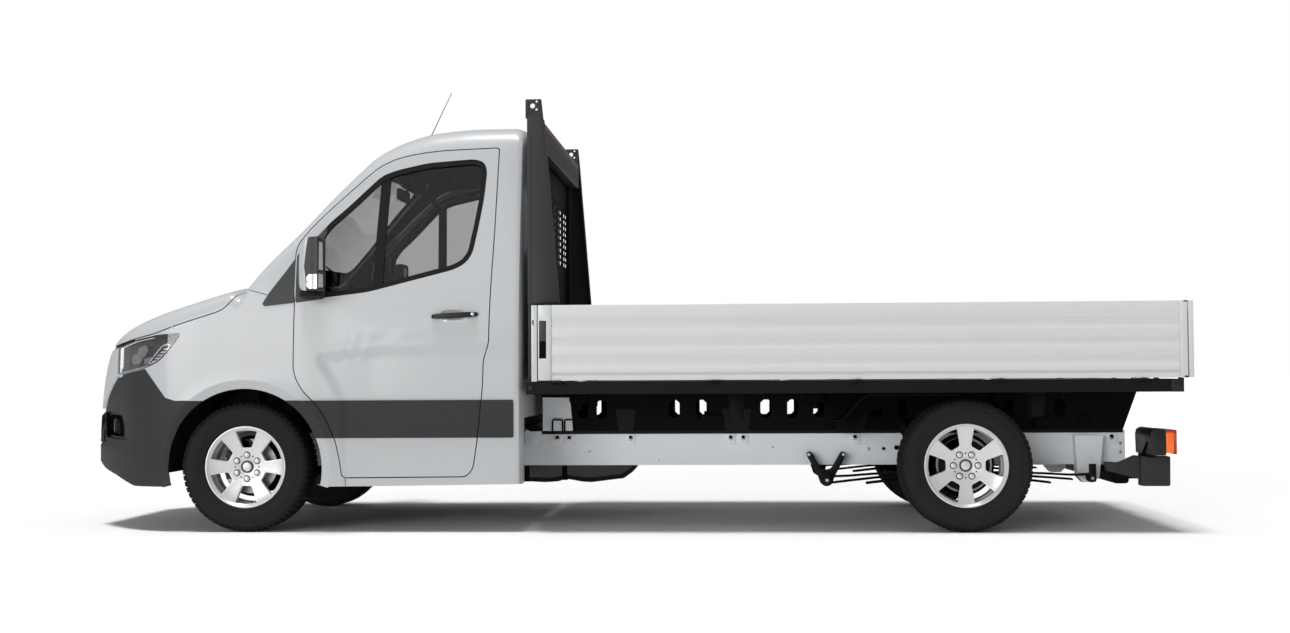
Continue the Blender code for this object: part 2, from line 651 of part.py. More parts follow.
def frontCradle():
    mesh = bmesh.new()
    addBox(mesh, (-0.16, 0.16), (-railOuter, railOuter), (0.20, railLow - touch))
    made = piece("front_cradle", mesh, "black_steel")
    combine(made, boxCutter("cradle_saddle", (-0.3, 0.3), (-0.30, 0.30), (0.262, 0.5)), "DIFFERENCE")
    for s, k in sides.items():
        arm = bmesh.new()
        addBox(arm, (-0.020, 0.020), spans(k, 0.40, kingpinY), (0.195, 0.226 - touch))
        combine(made, cutter(f"arm_{s}", arm), "UNION")
        strut = bmesh.new()
        addRod(strut, (0, k * 0.665, 0.20), (0, k * 0.620, 1.00), 0.022, 10)
        combine(made, cutter(f"strut_{s}", strut), "UNION")
        spring = bmesh.new()
        addRod(spring, (0, k * 0.630, 0.80), (0, k * 0.620, 0.99), 0.06, 14)
        combine(made, cutter(f"spring_{s}", spring), "UNION")


def engine():
    mesh = bmesh.new()
    addBox(mesh, (-0.62, -0.06), (-0.24, 0.24), (0.42, 0.98))
    made = piece("engine_block", mesh, "cast_iron")
    extra = bmesh.new()
    addBox(extra, (-0.55, -0.45), (-railInner + touch, railInner - touch), (0.44, 0.50))
    combine(made, cutter("engine_feet", extra), "UNION")
    box = bmesh.new()
    addRod(box, (-0.10, 0, 0.40), (0.05, 0, 0.40), 0.12, 16, 0.10)
    combine(made, cutter("bell_housing", box), "UNION")
    tail = bmesh.new()
    addRod(tail, (0.0, 0, 0.40), (0.55, 0, 0.386), 0.085, 14, 0.06)
    combine(made, cutter("gearbox", tail), "UNION")


def driveshaft():
    mesh = bmesh.new()
    addRod(mesh, (0.5508, 0, 0.386), (wheelbase - 0.1908, 0, axleHeight + 0.004), 0.038, 14)
    piece("driveshaft", mesh, "black_steel")


def rearAxleTube():
    mesh = bmesh.new()
    end = wheelY + 0.02 - touch
    addRod(mesh, (wheelbase, -end, axleHeight), (wheelbase, end, axleHeight), 0.05, 16)
    made = piece("rear_axle", mesh, "black_steel")
    case = bmesh.new()
    bmesh.ops.create_uvsphere(case, u_segments=14, v_segments=8, radius=0.15,
                              matrix=Matrix.Translation((rearAxle + 0.004, 0.003, axleHeight)))
    combine(made, cutter("diff_case", case), "UNION")
    snout = bmesh.new()
    addRod(snout, (wheelbase - 0.19, 0, axleHeight + 0.004), (wheelbase - 0.05, 0, axleHeight), 0.05, 14, 0.09)
    combine(made, cutter("diff_snout", snout), "UNION")
    for s, k in sides.items():
        drum = bmesh.new()
        addRod(drum, (wheelbase, k * 0.78, axleHeight), (wheelbase, k * 0.868, axleHeight), 0.14, 24)
        combine(made, cutter(f"drum_{s}", drum), "UNION")


def leafSpring(s):
    k = sides[s]
    y = spans(k, springY - 0.035, springY + 0.035)
    mesh = bmesh.new()
    upper = []
    lower = []
    for i in range(9):
        t = i / 8
        x = 3.201 + t * (4.665 - 3.201)
        z = 0.262 - 0.052 * math.sin(math.pi * t) + 0.01 * t
        thick = 0.012 + 0.028 * math.sin(math.pi * t)
        upper.append((x, z))
        lower.append((x, z - thick))
    addPrism(mesh, upper + lower[::-1], "y", *y)
    made = piece(f"leaf_spring_{s}", mesh, "black_steel")
    parts = []
    for x, z in ((3.201, 0.256), (4.665, 0.266)):
        parts.append(((x, y[0], z), (x, y[1], z), 0.028))
    eyes = bmesh.new()
    for first, last, radius in parts:
        addRod(eyes, first, last, radius, 16)
    combine(made, cutter(f"eyes_{s}", eyes), "UNION")
    block = bmesh.new()
    addBox(block, (wheelbase - 0.06, wheelbase + 0.06), spans(k, springY - 0.045, springY + 0.045), (0.165, 0.300))
    combine(made, cutter(f"seat_{s}", block), "UNION")
    around = bmesh.new()
    addRod(around, (wheelbase, k * 0.3, axleHeight), (wheelbase, k * 0.74, axleHeight), 0.05 + touch, 32)
    combine(made, cutter(f"tube_gap_{s}", around), "DIFFERENCE")
    hanger = bmesh.new()
    arms = [(3.096, 0.42), (3.150, 0.42), (3.201, 0.31), (3.252, 0.42), (3.306, 0.42), (3.240, 0.245), (3.201, 0.220),
            (3.162, 0.245)]
    addPrism(hanger, arms, "y", *spans(k, railOuter + touch, springY - 0.02))
    combine(made, cutter(f"hanger_{s}", hanger), "UNION")


def chassisFrame():
    mesh = bmesh.new()
    for k in sides.values():
        addBox(mesh, (-0.90, railEnd), spans(k, railInner, railOuter), (railLow, railTop))
    made = piece("chassis_frame", mesh, "frame_paint")
    kick = [(wheelbase - 0.22, 0.30), (wheelbase + 0.22, 0.30), (wheelbase + 0.12, 0.43), (wheelbase - 0.12, 0.43)]
    combine(made, prismCutter("axle_kick", kick, "y", -0.6, 0.6), "DIFFERENCE")
    for s, k in sides.items():
        crash = spans(k, railInner + 0.005, railOuter - 0.012)
        combine(made, boxCutter(f"crash_box_{s}", (nose + panel + touch, -0.88), crash, (0.37, 0.435)), "UNION")
    for i, x in enumerate((-0.86, 0.62, 1.30, 2.30, 3.05, 3.45, 4.40, 4.70)):
        across = bmesh.new()
        addBox(across, (x - 0.03, x + 0.03), (-railInner - 0.02, railInner + 0.02), (0.44, 0.52))
        combine(made, cutter(f"cross_{i}", across), "UNION")
    for s, k in sides.items():
        bracket = bmesh.new()
        addPrism(bracket, [(4.585, 0.50), (4.745, 0.50), (4.72, 0.27), (4.69, 0.238), (4.63, 0.238), (4.60, 0.27)], "y",
                 *spans(k, railOuter - 0.02, springY - 0.035 - touch))
        combine(made, cutter(f"rear_bracket_{s}", bracket), "UNION")


def sheetOutline(line, thick):
    # A line of (x from the rear axle, z) turned into a closed outline that thick, below the line
    under = [(x + 0.5 * thick, z - thick) for x, z in line]
    return [(wheelbase + x, z) for x, z in line + under[::-1]]


def subframe():
    mesh = bmesh.new()
    top = bedLow - touch
    for k in sides.values():
        outline = [(1.575, railTop + touch), (4.868, railTop + touch), (4.95, top), (1.575, top)]
        addPrism(mesh, outline, "y", *spans(k, railInner, railOuter))
    made = piece("subframe", mesh, "black_steel")
    for i, x in enumerate((1.64, 2.60, 3.56, 4.75)):
        across = bmesh.new()
        addBox(across, (x - 0.03, x + 0.03), (-railInner - 0.02, railInner + 0.02), (0.64, 0.72))
        combine(made, cutter(f"sub_cross_{i}", across), "UNION")
    holes = bmesh.new()
    for x in (1.813, 1.92, 2.338, 2.492, 2.864, 3.017, 3.165, 3.494, 3.64, 4.23, 4.52):
        oval = []
        for i in range(8):
            angle = math.tau * (i + 0.5) / 8
            lift = 0.022 if math.sin(angle) > 0 else -0.022
            oval.append((x + 0.034 * math.cos(angle), 0.655 + lift + 0.032 * math.sin(angle)))
        addPrism(holes, oval, "y", -0.6, 0.6)
    combine(made, cutter("web_holes", holes), "DIFFERENCE")
    for s, k in sides.items():
        guard = bmesh.new()
        outer = [(-0.699, 0.604), (-0.660, 0.604), (-0.615, 0.655), (-0.548, 0.727), (-0.52, 0.741), (-0.02, 0.741)]
        addPrism(guard, sheetOutline(outer, 0.008), "y", *spans(k, guardInner, guardOuter))
        combine(made, cutter(f"guard_{s}", guard), "UNION")
        flange = bmesh.new()
        addPrism(flange, [(wheelbase + x, z) for x, z in guardSide], "y", *spans(k, guardInner - 0.008, guardInner))
        combine(made, cutter(f"guard_side_{s}", flange), "UNION")
        stay = boxCutter(f"stay_{s}", (wheelbase - 0.674, wheelbase - 0.600), spans(k, railOuter - 0.01, guardInner),
                         (0.535, 0.575))
        combine(made, stay, "UNION")


def bedFloor():
    mesh = bmesh.new()
    addBox(mesh, (bedFront + 0.04 + touch, bedRear - 0.04 - touch), (-bedHalf + 0.04 + touch, bedHalf - 0.04 - touch),
           (bedLow, bedTop - 0.004))
    piece("bed_floor", mesh, "bed_floor")


def bedRail():
    mesh = bmesh.new()
    addBox(mesh, (bedFront, bedRear), (-bedHalf, bedHalf), (bedLow, bedTop))
    made = piece("bed_rail", mesh, "black_steel")
    middle = boxCutter("bed_middle", (bedFront + 0.04, bedRear - 0.04), (-bedHalf + 0.04, bedHalf - 0.04), (0.5, 1.0))
    combine(made, middle, "DIFFERENCE")
    for i, x in enumerate(sideHinges):
        for s, k in sides.items():
            combine(made, boxCutter(f"rail_lug_{s}_{i}", (x - 0.03, x), spans(k, bedHalf - 0.01, boardAxisY),
                                    (boardHinge - 0.015, boardHinge)), "UNION")
            mesh = bmesh.new()
            addRod(mesh, (x - 0.03, k * boardAxisY, boardHinge), (x, k * boardAxisY, boardHinge), boardPin, 10)
            combine(made, cutter(f"rail_pin_{s}_{i}", mesh), "UNION")
    for i, y in enumerate(tailHinges):
        combine(made, boxCutter(f"tail_lug_{i}", (bedRear - 0.01, tailAxisX), (y - 0.03, y),
                                (boardHinge - 0.015, boardHinge)), "UNION")
        mesh = bmesh.new()
        addRod(mesh, (tailAxisX, y - 0.03, boardHinge), (tailAxisX, y, boardHinge), boardPin, 10)
        combine(made, cutter(f"tail_pin_{i}", mesh), "UNION")


def headboard():
    mesh = bmesh.new()
    for k in sides.values():
        outline = [(postFront, bedTop + touch), (postRear, bedTop + touch), (postRear, boardTop + 0.005),
                   (bedFront + 0.170, boardTop + 0.015), (bedFront + 0.091, headTop - 0.107),
                   (bedFront + 0.080, headTop), (bedFront - 0.008, headTop)]
        addPrism(mesh, outline, "y", *spans(k, postInner, postOuter))
    made = piece("headboard", mesh, "black_steel")
    sheet = bmesh.new()
    reach = (-postInner - 0.01, postInner + 0.01)
    addBox(sheet, (bedFront + 0.010, bedFront + 0.030), reach, (bedTop + 0.01, headTop - 0.292))
    combine(made, cutter("sheet", sheet), "UNION")
    rest = bmesh.new()
    addBox(rest, (bedFront, bedFront + 0.080), reach, (headTop - 0.302, headTop - 0.242))
    addBox(rest, (bedFront + 0.010, bedFront + 0.060), reach, (boardTop - 0.02, boardTop + 0.03))
    combine(made, cutter("bars", rest), "UNION")


def stake(s):
    k = sides[s]
    mesh = bmesh.new()
    addBox(mesh, (postRear - 0.004, boardFront - shut), spans(k, postOuter + touch, boardOuter),
           (bedTop + touch, boardTop))
    piece(f"stake_{s}", mesh, "bed_aluminium")


def boardHinges(made, name, pins):
    # Each pin is one rod along the hinge and one leaf up into the board's lower edge
    for i, (start, end, x, y) in enumerate(pins):
        mesh = bmesh.new()
        addRod(mesh, start, end, boardPin, 10)
        combine(made, cutter(f"{name}_pin_{i}", mesh), "UNION")
        combine(made, boxCutter(f"{name}_leaf_{i}", x, y, (boardHinge - 0.002, boardLow + 0.008)), "UNION")


def sideBoard(s):
    k = sides[s]
    mesh = bmesh.new()
    inner, outer = boardOuter - boardThick, boardOuter
    height = boardTop - boardLow
    outline = [(k * inner, boardLow)]
    ribs = 6
    outline.append((k * outer, boardLow))
    for i in range(1, ribs):
        z = boardLow + height * i / ribs
        outline += [(k * outer, z - 0.006), (k * (outer - 0.006), z), (k * outer, z + 0.006)]
    outline += [(k * outer, boardTop), (k * inner, boardTop)]
    addPrism(mesh, outline, "x", boardFront, boardRear)
    made = piece(f"side_board_{s}", mesh, "bed_aluminium")
    pins = []
    for x in sideHinges:
        ends = ((x + touch, k * boardAxisY, boardHinge), (x + 0.03, k * boardAxisY, boardHinge))
        pins.append((*ends, (x + touch, x + 0.03), spans(k, boardOuter - 0.010, boardOuter - 0.001)))
    boardHinges(made, f"side_{s}", pins)


def tailBoard():
    mesh = bmesh.new()
    inner = boardRear + shut
    outer = tailOuter
    height = boardTop - boardLow
    outline = [(inner, boardLow), (outer, boardLow)]
    for i in range(1, 6):
        z = boardLow + height * i / 6
        outline += [(outer, z - 0.006), (outer - 0.006, z), (outer, z + 0.006)]
    outline += [(outer, boardTop), (inner, boardTop)]
    addPrism(mesh, outline, "y", -boardOuter, boardOuter)
    made = piece("tail_board", mesh, "bed_aluminium")
    pins = []
    for y in tailHinges:
        ends = ((tailAxisX, y + touch, boardHinge), (tailAxisX, y + 0.03, boardHinge))
        pins.append((*ends, (tailOuter - 0.010, tailOuter - 0.001), (y + touch, y + 0.03)))
    boardHinges(made, "tail", pins)


def fuelTank():
    mesh = bmesh.new()
    outline = [(1.453, 0.40), (1.453, 0.305), (1.488, 0.25), (1.679, 0.240), (2.014, 0.252), (2.110, 0.315), (2.110, 0.43),
               (2.07, 0.50), (1.50, 0.50)]
    addPrism(mesh, outline, "y", -railInner + touch, -0.09)
    piece("fuel_tank", mesh, "dark_plastic")


def underrun():
    mesh = bmesh.new()
    addRod(mesh, (4.80, -0.76, 0.285), (4.80, 0.76, 0.285), 0.045, 12)
    made = piece("underrun_bar", mesh, "black_steel")
    plate = [(4.716, 0.342), (4.904, 0.38), (5.049, 0.379), (5.046, 0.228), (4.902, 0.228), (4.715, 0.277)]
    for s, k in sides.items():
        combine(made, boxCutter(f"hang_{s}", (4.765, 4.835), spans(k, 0.355, railInner - touch), (0.30, 0.50)), "UNION")
        combine(made, prismCutter(f"plate_{s}", plate, "y", *spans(k, 0.745, 0.765)), "UNION")
        combine(made, boxCutter(f"arm_rear_{s}", (4.78, 4.925), spans(k, 0.70, 0.75), (0.27, 0.32)), "UNION")
        combine(made, boxCutter(f"carrier_{s}", (4.90, 4.93), spans(k, 0.55, 0.74), (0.29, 0.53)), "UNION")


def tailLamp(s):
    k = sides[s]
    mesh = bmesh.new()
    addBox(mesh, (4.93 + touch, 5.070), spans(k, 0.54, 0.90), (0.40, 0.54))
    made = piece(f"tail_lamp_{s}", mesh, "red_lens")
    bevel = made.modifiers.new("edges", "BEVEL")
    bevel.width = 0.012
    bevel.segments = 2
    bevel.limit_method = "ANGLE"


# Every piece of the truck
cabBody()
bumper()
grille()
bonnet()
cowl()
windscreen()
rearGlass()
antenna()
cabFloor()
dashboard()
steeringWheel()
seat("driver_seat", (-0.70, -0.20))
seat("passenger_seat", (-0.10, 0.80))
frontCradle()
engine()
driveshaft()
rearAxleTube()
chassisFrame()
subframe()
bedFloor()
bedRail()
headboard()
tailBoard()
fuelTank()
underrun()
for sideName, sideSign in sides.items():
    fender(sideName)
    headlamp(sideName)
    door(sideName)
    doorGlass(sideName)
    mirror(sideName)
    knuckle(sideName)
    leafSpring(sideName)
    stake(sideName)
    sideBoard(sideName)
    tailLamp(sideName)
    for axleName, axleX in (("front", 0.0), ("rear", wheelbase)):
        tyre(f"tyre_{axleName}_{sideName}", axleX, sideSign)
        rim(f"rim_{axleName}_{sideName}", axleX, sideSign)


# Slivers that a cut leaves are welded shut
for made in truck.objects:
    if any(step.type == "BOOLEAN" for step in made.modifiers):
        weld = made.modifiers.new("weld", "WELD")
        weld.merge_threshold = 0.0001


# Each moving piece keeps its origin on its joint's axis
def setOrigin(name, place):
    made = bpy.data.objects[name]
    point = Vector(place)
    made.data.transform(Matrix.Translation(-point))
    made.location = point


for sideName, sideSign in sides.items():
    hinge = (frontAxle + doorHinge[0], sideSign * doorHinge[1], 0.3)
    for name in ("door", "door_glass", "mirror"):
        setOrigin(f"{name}_{sideName}", hinge)
    setOrigin(f"knuckle_{sideName}", (frontAxle, sideSign * kingpinY, axleHeight))
    setOrigin(f"side_board_{sideName}", (0, sideSign * boardAxisY, boardHinge))
    for axleName, axleX in (("front", frontAxle), ("rear", rearAxle)):
        for name in ("tyre", "rim"):
            setOrigin(f"{name}_{axleName}_{sideName}", (axleX, sideSign * wheelY, axleHeight))
setOrigin("bonnet", (frontAxle + bonnetHinge[0], 0, bonnetHinge[1]))
setOrigin("tail_board", (frontAxle + tailAxisX, 0, boardHinge))
setOrigin("steering_wheel", (frontAxle + steeringCentre[0], steeringCentre[1], steeringCentre[2]))
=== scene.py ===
import json
import math

import bmesh
import bpy
import numpy as np
from mathutils import Matrix, Vector

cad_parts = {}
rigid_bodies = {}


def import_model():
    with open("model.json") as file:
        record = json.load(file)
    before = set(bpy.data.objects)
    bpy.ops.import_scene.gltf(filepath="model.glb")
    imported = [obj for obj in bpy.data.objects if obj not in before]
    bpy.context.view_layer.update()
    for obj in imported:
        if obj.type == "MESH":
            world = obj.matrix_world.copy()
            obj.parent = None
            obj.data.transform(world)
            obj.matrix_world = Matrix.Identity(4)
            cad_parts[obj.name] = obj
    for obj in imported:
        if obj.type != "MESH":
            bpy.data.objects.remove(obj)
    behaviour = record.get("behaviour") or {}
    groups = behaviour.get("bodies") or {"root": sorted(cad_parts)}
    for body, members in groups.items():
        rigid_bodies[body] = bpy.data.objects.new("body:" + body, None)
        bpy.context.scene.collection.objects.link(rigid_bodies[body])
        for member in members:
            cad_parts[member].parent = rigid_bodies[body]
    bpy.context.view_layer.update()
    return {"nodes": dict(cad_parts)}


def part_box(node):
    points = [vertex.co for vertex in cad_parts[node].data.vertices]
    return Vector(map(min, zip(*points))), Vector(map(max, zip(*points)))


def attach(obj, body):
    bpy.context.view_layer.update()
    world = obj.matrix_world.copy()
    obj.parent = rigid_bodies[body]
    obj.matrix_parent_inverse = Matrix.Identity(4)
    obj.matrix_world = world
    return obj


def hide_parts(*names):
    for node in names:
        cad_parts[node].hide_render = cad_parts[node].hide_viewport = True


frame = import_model()
nodes = frame["nodes"]
print("frame: loaded", len(nodes), "nodes")

# Every x below counts from the front axle, as the photo was measured; frontX moves it to the frame
frontX = sum((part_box("tyre_front_left")[i].x for i in (0, 1)), 0.0) / 2
wheelbase = sum((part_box("tyre_rear_left")[i].x for i in (0, 1)), 0.0) / 2 - frontX
axleZ = 0.356
sides = {"left": -1, "right": 1}


# Shader groups that several finishes share
def newGroup(name, inputs, outputs):
    group = bpy.data.node_groups.new(name, "ShaderNodeTree")
    for label, kind, value in inputs:
        made = group.interface.new_socket(name=label, in_out="INPUT", socket_type=kind)
        if value is not None:
            made.default_value = value
    for label, kind in outputs:
        group.interface.new_socket(name=label, in_out="OUTPUT", socket_type=kind)
    start = group.nodes.new("NodeGroupInput")
    end = group.nodes.new("NodeGroupOutput")
    return group, start, end


def addNode(tree, kind, inputs=None, **settings):
    made = tree.nodes.new(kind)
    for key, value in settings.items():
        setattr(made, key, value)
    for key, value in (inputs or {}).items():
        if isinstance(value, bpy.types.NodeSocket):
            tree.links.new(value, made.inputs[key])
        else:
            made.inputs[key].default_value = value
    return made


def objectPlace(tree, scale=(1, 1, 1), turn=(0, 0, 0)):
    coords = addNode(tree, "ShaderNodeTexCoord")
    moved = addNode(tree, "ShaderNodeMapping", {"Vector": coords.outputs["Object"], "Scale": scale, "Rotation": turn})
    return moved.outputs["Vector"]


def makeGrain():
    # Fine moulded or sprayed texture: a height for the bump and a slow change of tone
    group, start, end = newGroup(
        "fineGrain",
        [("Vector", "NodeSocketVector", None), ("Scale", "NodeSocketFloat", 300.0),
         ("Rough", "NodeSocketFloat", 0.6)],
        [("Height", "NodeSocketFloat"), ("Tone", "NodeSocketFloat")])
    fine = addNode(group, "ShaderNodeTexNoise", {
        "Vector": start.outputs["Vector"], "Scale": start.outputs["Scale"], "Detail": 4.0,
        "Roughness": start.outputs["Rough"]})
    broad = addNode(group, "ShaderNodeTexNoise", {"Vector": start.outputs["Vector"], "Scale": 2.3, "Detail": 5.0})
    group.links.new(fine.outputs["Fac"], end.inputs["Height"])
    group.links.new(broad.outputs["Fac"], end.inputs["Tone"])
    return group


def makeDust():
    # Road dust that gathers low on the truck, in soft patches
    group, start, end = newGroup(
        "roadDust",
        [("Color", "NodeSocketColor", (1, 1, 1, 1)), ("Dust", "NodeSocketColor", (0.30, 0.27, 0.23, 1)),
         ("Amount", "NodeSocketFloat", 0.2), ("Height", "NodeSocketFloat", 0.9)],
        [("Color", "NodeSocketColor"), ("Mask", "NodeSocketFloat")])
    coords = addNode(group, "ShaderNodeTexCoord")
    split = addNode(group, "ShaderNodeSeparateXYZ", {"Vector": coords.outputs["Object"]})
    fall = addNode(group, "ShaderNodeMapRange", {
        "Value": split.outputs["Z"], "From Min": start.outputs["Height"], "From Max": 0.1, "To Min": 0.0,
        "To Max": 1.0})
    patch = addNode(group, "ShaderNodeTexNoise", {"Vector": coords.outputs["Object"], "Scale": 7.0, "Detail": 6.0,
                                                  "Roughness": 0.65})
    shape = addNode(group, "ShaderNodeMapRange", {"Value": patch.outputs["Fac"], "From Min": 0.35, "From Max": 0.75})
    both = addNode(group, "ShaderNodeMath", {0: fall.outputs["Result"], 1: shape.outputs["Result"]},
                   operation="MULTIPLY")
    mask = addNode(group, "ShaderNodeMath", {0: both.outputs[0], 1: start.outputs["Amount"]}, operation="MULTIPLY")
    mix = addNode(group, "ShaderNodeMix", {0: mask.outputs[0]}, data_type="RGBA")
    group.links.new(start.outputs["Color"], mix.inputs[6])
    group.links.new(start.outputs["Dust"], mix.inputs[7])
    group.links.new(mix.outputs[2], end.inputs["Color"])
    group.links.new(mask.outputs[0], end.inputs["Mask"])
    return group


def makeEdgeRub():
    # Worn or lighter edges, from how sharply the surface bends
    group, start, end = newGroup(
        "edgeRub",
        [("Color", "NodeSocketColor", (1, 1, 1, 1)), ("Worn", "NodeSocketColor", (0.5, 0.5, 0.5, 1)),
         ("Amount", "NodeSocketFloat", 0.5)],
        [("Color", "NodeSocketColor"), ("Mask", "NodeSocketFloat")])
    bend = addNode(group, "ShaderNodeNewGeometry")
    coords = addNode(group, "ShaderNodeTexCoord")
    breakUp = addNode(group, "ShaderNodeTexNoise", {"Vector": coords.outputs["Object"], "Scale": 45.0, "Detail": 3.0})
    sharp = addNode(group, "ShaderNodeMapRange", {"Value": bend.outputs["Pointiness"], "From Min": 0.52,
                                                  "From Max": 0.62})
    patchy = addNode(group, "ShaderNodeMapRange", {"Value": breakUp.outputs["Fac"], "From Min": 0.42,
                                                   "From Max": 0.62})
    both = addNode(group, "ShaderNodeMath", {0: sharp.outputs["Result"], 1: patchy.outputs["Result"]},
                   operation="MULTIPLY")
    mask = addNode(group, "ShaderNodeMath", {0: both.outputs[0], 1: start.outputs["Amount"]}, operation="MULTIPLY")
    mix = addNode(group, "ShaderNodeMix", {0: mask.outputs[0]}, data_type="RGBA")
    group.links.new(start.outputs["Color"], mix.inputs[6])
    group.links.new(start.outputs["Worn"], mix.inputs[7])
    group.links.new(mix.outputs[2], end.inputs["Color"])
    group.links.new(mask.outputs[0], end.inputs["Mask"])
    return group


fineGrain, roadDust, edgeRub = makeGrain(), makeDust(), makeEdgeRub()

# Each finish: colour, roughness, metal, grain size, bump height in metres, tone change, dust, edge wear
finishes = {
    "cabPaint": dict(color=(0.585, 0.602, 0.618), rough=0.34, scale=900, bump=0.00001, tone=0.006, coat=0.3),
    "framePaint": dict(color=(0.90, 0.935, 0.965), rough=0.42, scale=500, bump=0.00003, tone=0.03, dust=0.05),
    "darkPlastic": dict(color=(0.026, 0.028, 0.030), rough=0.55, scale=900, bump=0.00012, tone=0.12, dust=0.02,
                        spec=0.35),
    "smoothPlastic": dict(color=(0.014, 0.015, 0.016), rough=0.38, scale=700, bump=0.00004, tone=0.10, dust=0.02,
                          spec=0.3),
    "satinBlack": dict(color=(0.007, 0.007, 0.0075), rough=0.50, scale=420, bump=0.00005, tone=0.12, spec=0.15),
    "chassisBlack": dict(color=(0.0045, 0.0045, 0.005), rough=0.6, scale=300, bump=0.0001, tone=0.2, spec=0.06),
    "tankGloss": dict(color=(0.006, 0.006, 0.0065), rough=0.22, scale=500, bump=0.00003, tone=0.1, spec=0.5),
    "postPaint": dict(color=(0.034, 0.037, 0.039), rough=0.48, scale=420, bump=0.00005, tone=0.12, dust=0.02,
                      spec=0.25),
    "linerBlack": dict(color=(0.004, 0.004, 0.004), rough=0.8, scale=240, bump=0.0002, tone=0.2, dust=0.01, spec=0.1),
    "rubberSeal": dict(color=(0.008, 0.008, 0.009), rough=0.6, scale=600, bump=0.00005, tone=0.1, dust=0.01,
                       spec=0.2),
    "tyreRubber": dict(color=(0.013, 0.013, 0.0135), rough=0.78, scale=380, bump=0.0001, tone=0.2, dust=0.015,
                       spec=0.25),
    "treadRubber": dict(color=(0.010, 0.010, 0.0105), rough=0.88, scale=260, bump=0.0002, tone=0.25, dust=0.03,
                        spec=0.2),
    "wheelSilver": dict(color=(0.80, 0.80, 0.80), rough=0.36, metal=0.3, scale=1400, bump=0.00001, tone=0.03,
                        dust=0.02,
                        coat=0.3),
    "mirrorGlass": dict(color=(0.86, 0.87, 0.88), rough=0.02, metal=1.0, scale=200, bump=0.000001, tone=0.01),
    "zincSteel": dict(color=(0.50, 0.50, 0.49), rough=0.38, metal=0.9, scale=180, bump=0.00002, tone=0.2, dust=0.05),
    "discSteel": dict(color=(0.30, 0.30, 0.30), rough=0.35, metal=0.9, scale=300, bump=0.00003, tone=0.15, dust=0.05),
    "castIron": dict(color=(0.030, 0.029, 0.028), rough=0.62, metal=0.3, scale=160, bump=0.0004, tone=0.3,
                     dust=0.04, rub=0.15),
    "interiorDark": dict(color=(0.018, 0.018, 0.020), rough=0.62, scale=800, bump=0.00015, tone=0.12, spec=0.3),
    "interiorGrey": dict(color=(0.075, 0.075, 0.078), rough=0.85, scale=600, bump=0.0002, tone=0.08, spec=0.2),
    # lampSilver, lampGrey, lampBand and the two lens finishes glow faintly: painted light in place of the light that
    # lamp glass and lenses keep out
    "lampSilver": dict(color=(0.52, 0.53, 0.55), rough=0.22, metal=0.7, scale=300, bump=0.00001, tone=0.03,
                       paintedGlow=0.30),
    "lampGrey": dict(color=(0.10, 0.10, 0.105), rough=0.30, metal=0.4, scale=300, bump=0.00001, tone=0.03, paintedGlow=0.5),
    "lampBand": dict(color=(0.90, 0.91, 0.92), rough=0.25, scale=300, bump=0.00001, tone=0.02, paintedGlow=0.55),
    "boardAlloy": dict(color=(0.745, 0.758, 0.763), rough=0.45, metal=0.10, scale=900, bump=0.00003, tone=0.02,
                       dust=0.02,
                       stretch=(0.06, 1, 1)),
    "boardEnd": dict(color=(0.73, 0.745, 0.755), rough=0.40, metal=0.10, scale=900, bump=0.00002, tone=0.02,
                     dust=0.02),
    "latchGrey": dict(color=(0.055, 0.058, 0.060), rough=0.45, scale=700, bump=0.00005, tone=0.1, dust=0.02,
                      spec=0.3),
    "sheetPaint": dict(color=(0.009, 0.0093, 0.0097), rough=0.6, scale=420, bump=0.00005, tone=0.12, dust=0.005,
                       spec=0.06),
    "floorPly": dict(color=(0.060, 0.042, 0.032), rough=0.55, scale=190, bump=0.0005, tone=0.25, dust=0.2, spec=0.3),
    "loadRest": dict(color=(0.20, 0.115, 0.080), rough=0.6, scale=90, bump=0.0003, tone=0.25, stretch=(1, 0.08, 1)),
    "amberLens": dict(color=(0.95, 0.155, 0.012), rough=0.18, scale=300, bump=0.00001, tone=0.02, coat=0.5,
                      paintedGlow=0.25),
    "redLens": dict(color=(0.42, 0.012, 0.010), rough=0.16, scale=300, bump=0.00001, tone=0.02, coat=0.5, paintedGlow=0.05),
    "headCloth": dict(color=(0.040, 0.040, 0.041), rough=0.9, scale=900, bump=0.0001, tone=0.1, spec=0.15),
    "seatCloth": dict(color=(0.022, 0.022, 0.024), rough=0.92, scale=1500, bump=0.00035, tone=0.25, spec=0.15),
    "seatSide": dict(color=(0.030, 0.030, 0.032), rough=0.9, scale=1200, bump=0.0003, tone=0.2, spec=0.15),
}
made = {}


def newMaterial(name):
    material = bpy.data.materials.new(name)
    material.use_nodes = True
    return material, material.node_tree, material.node_tree.nodes["Principled BSDF"]


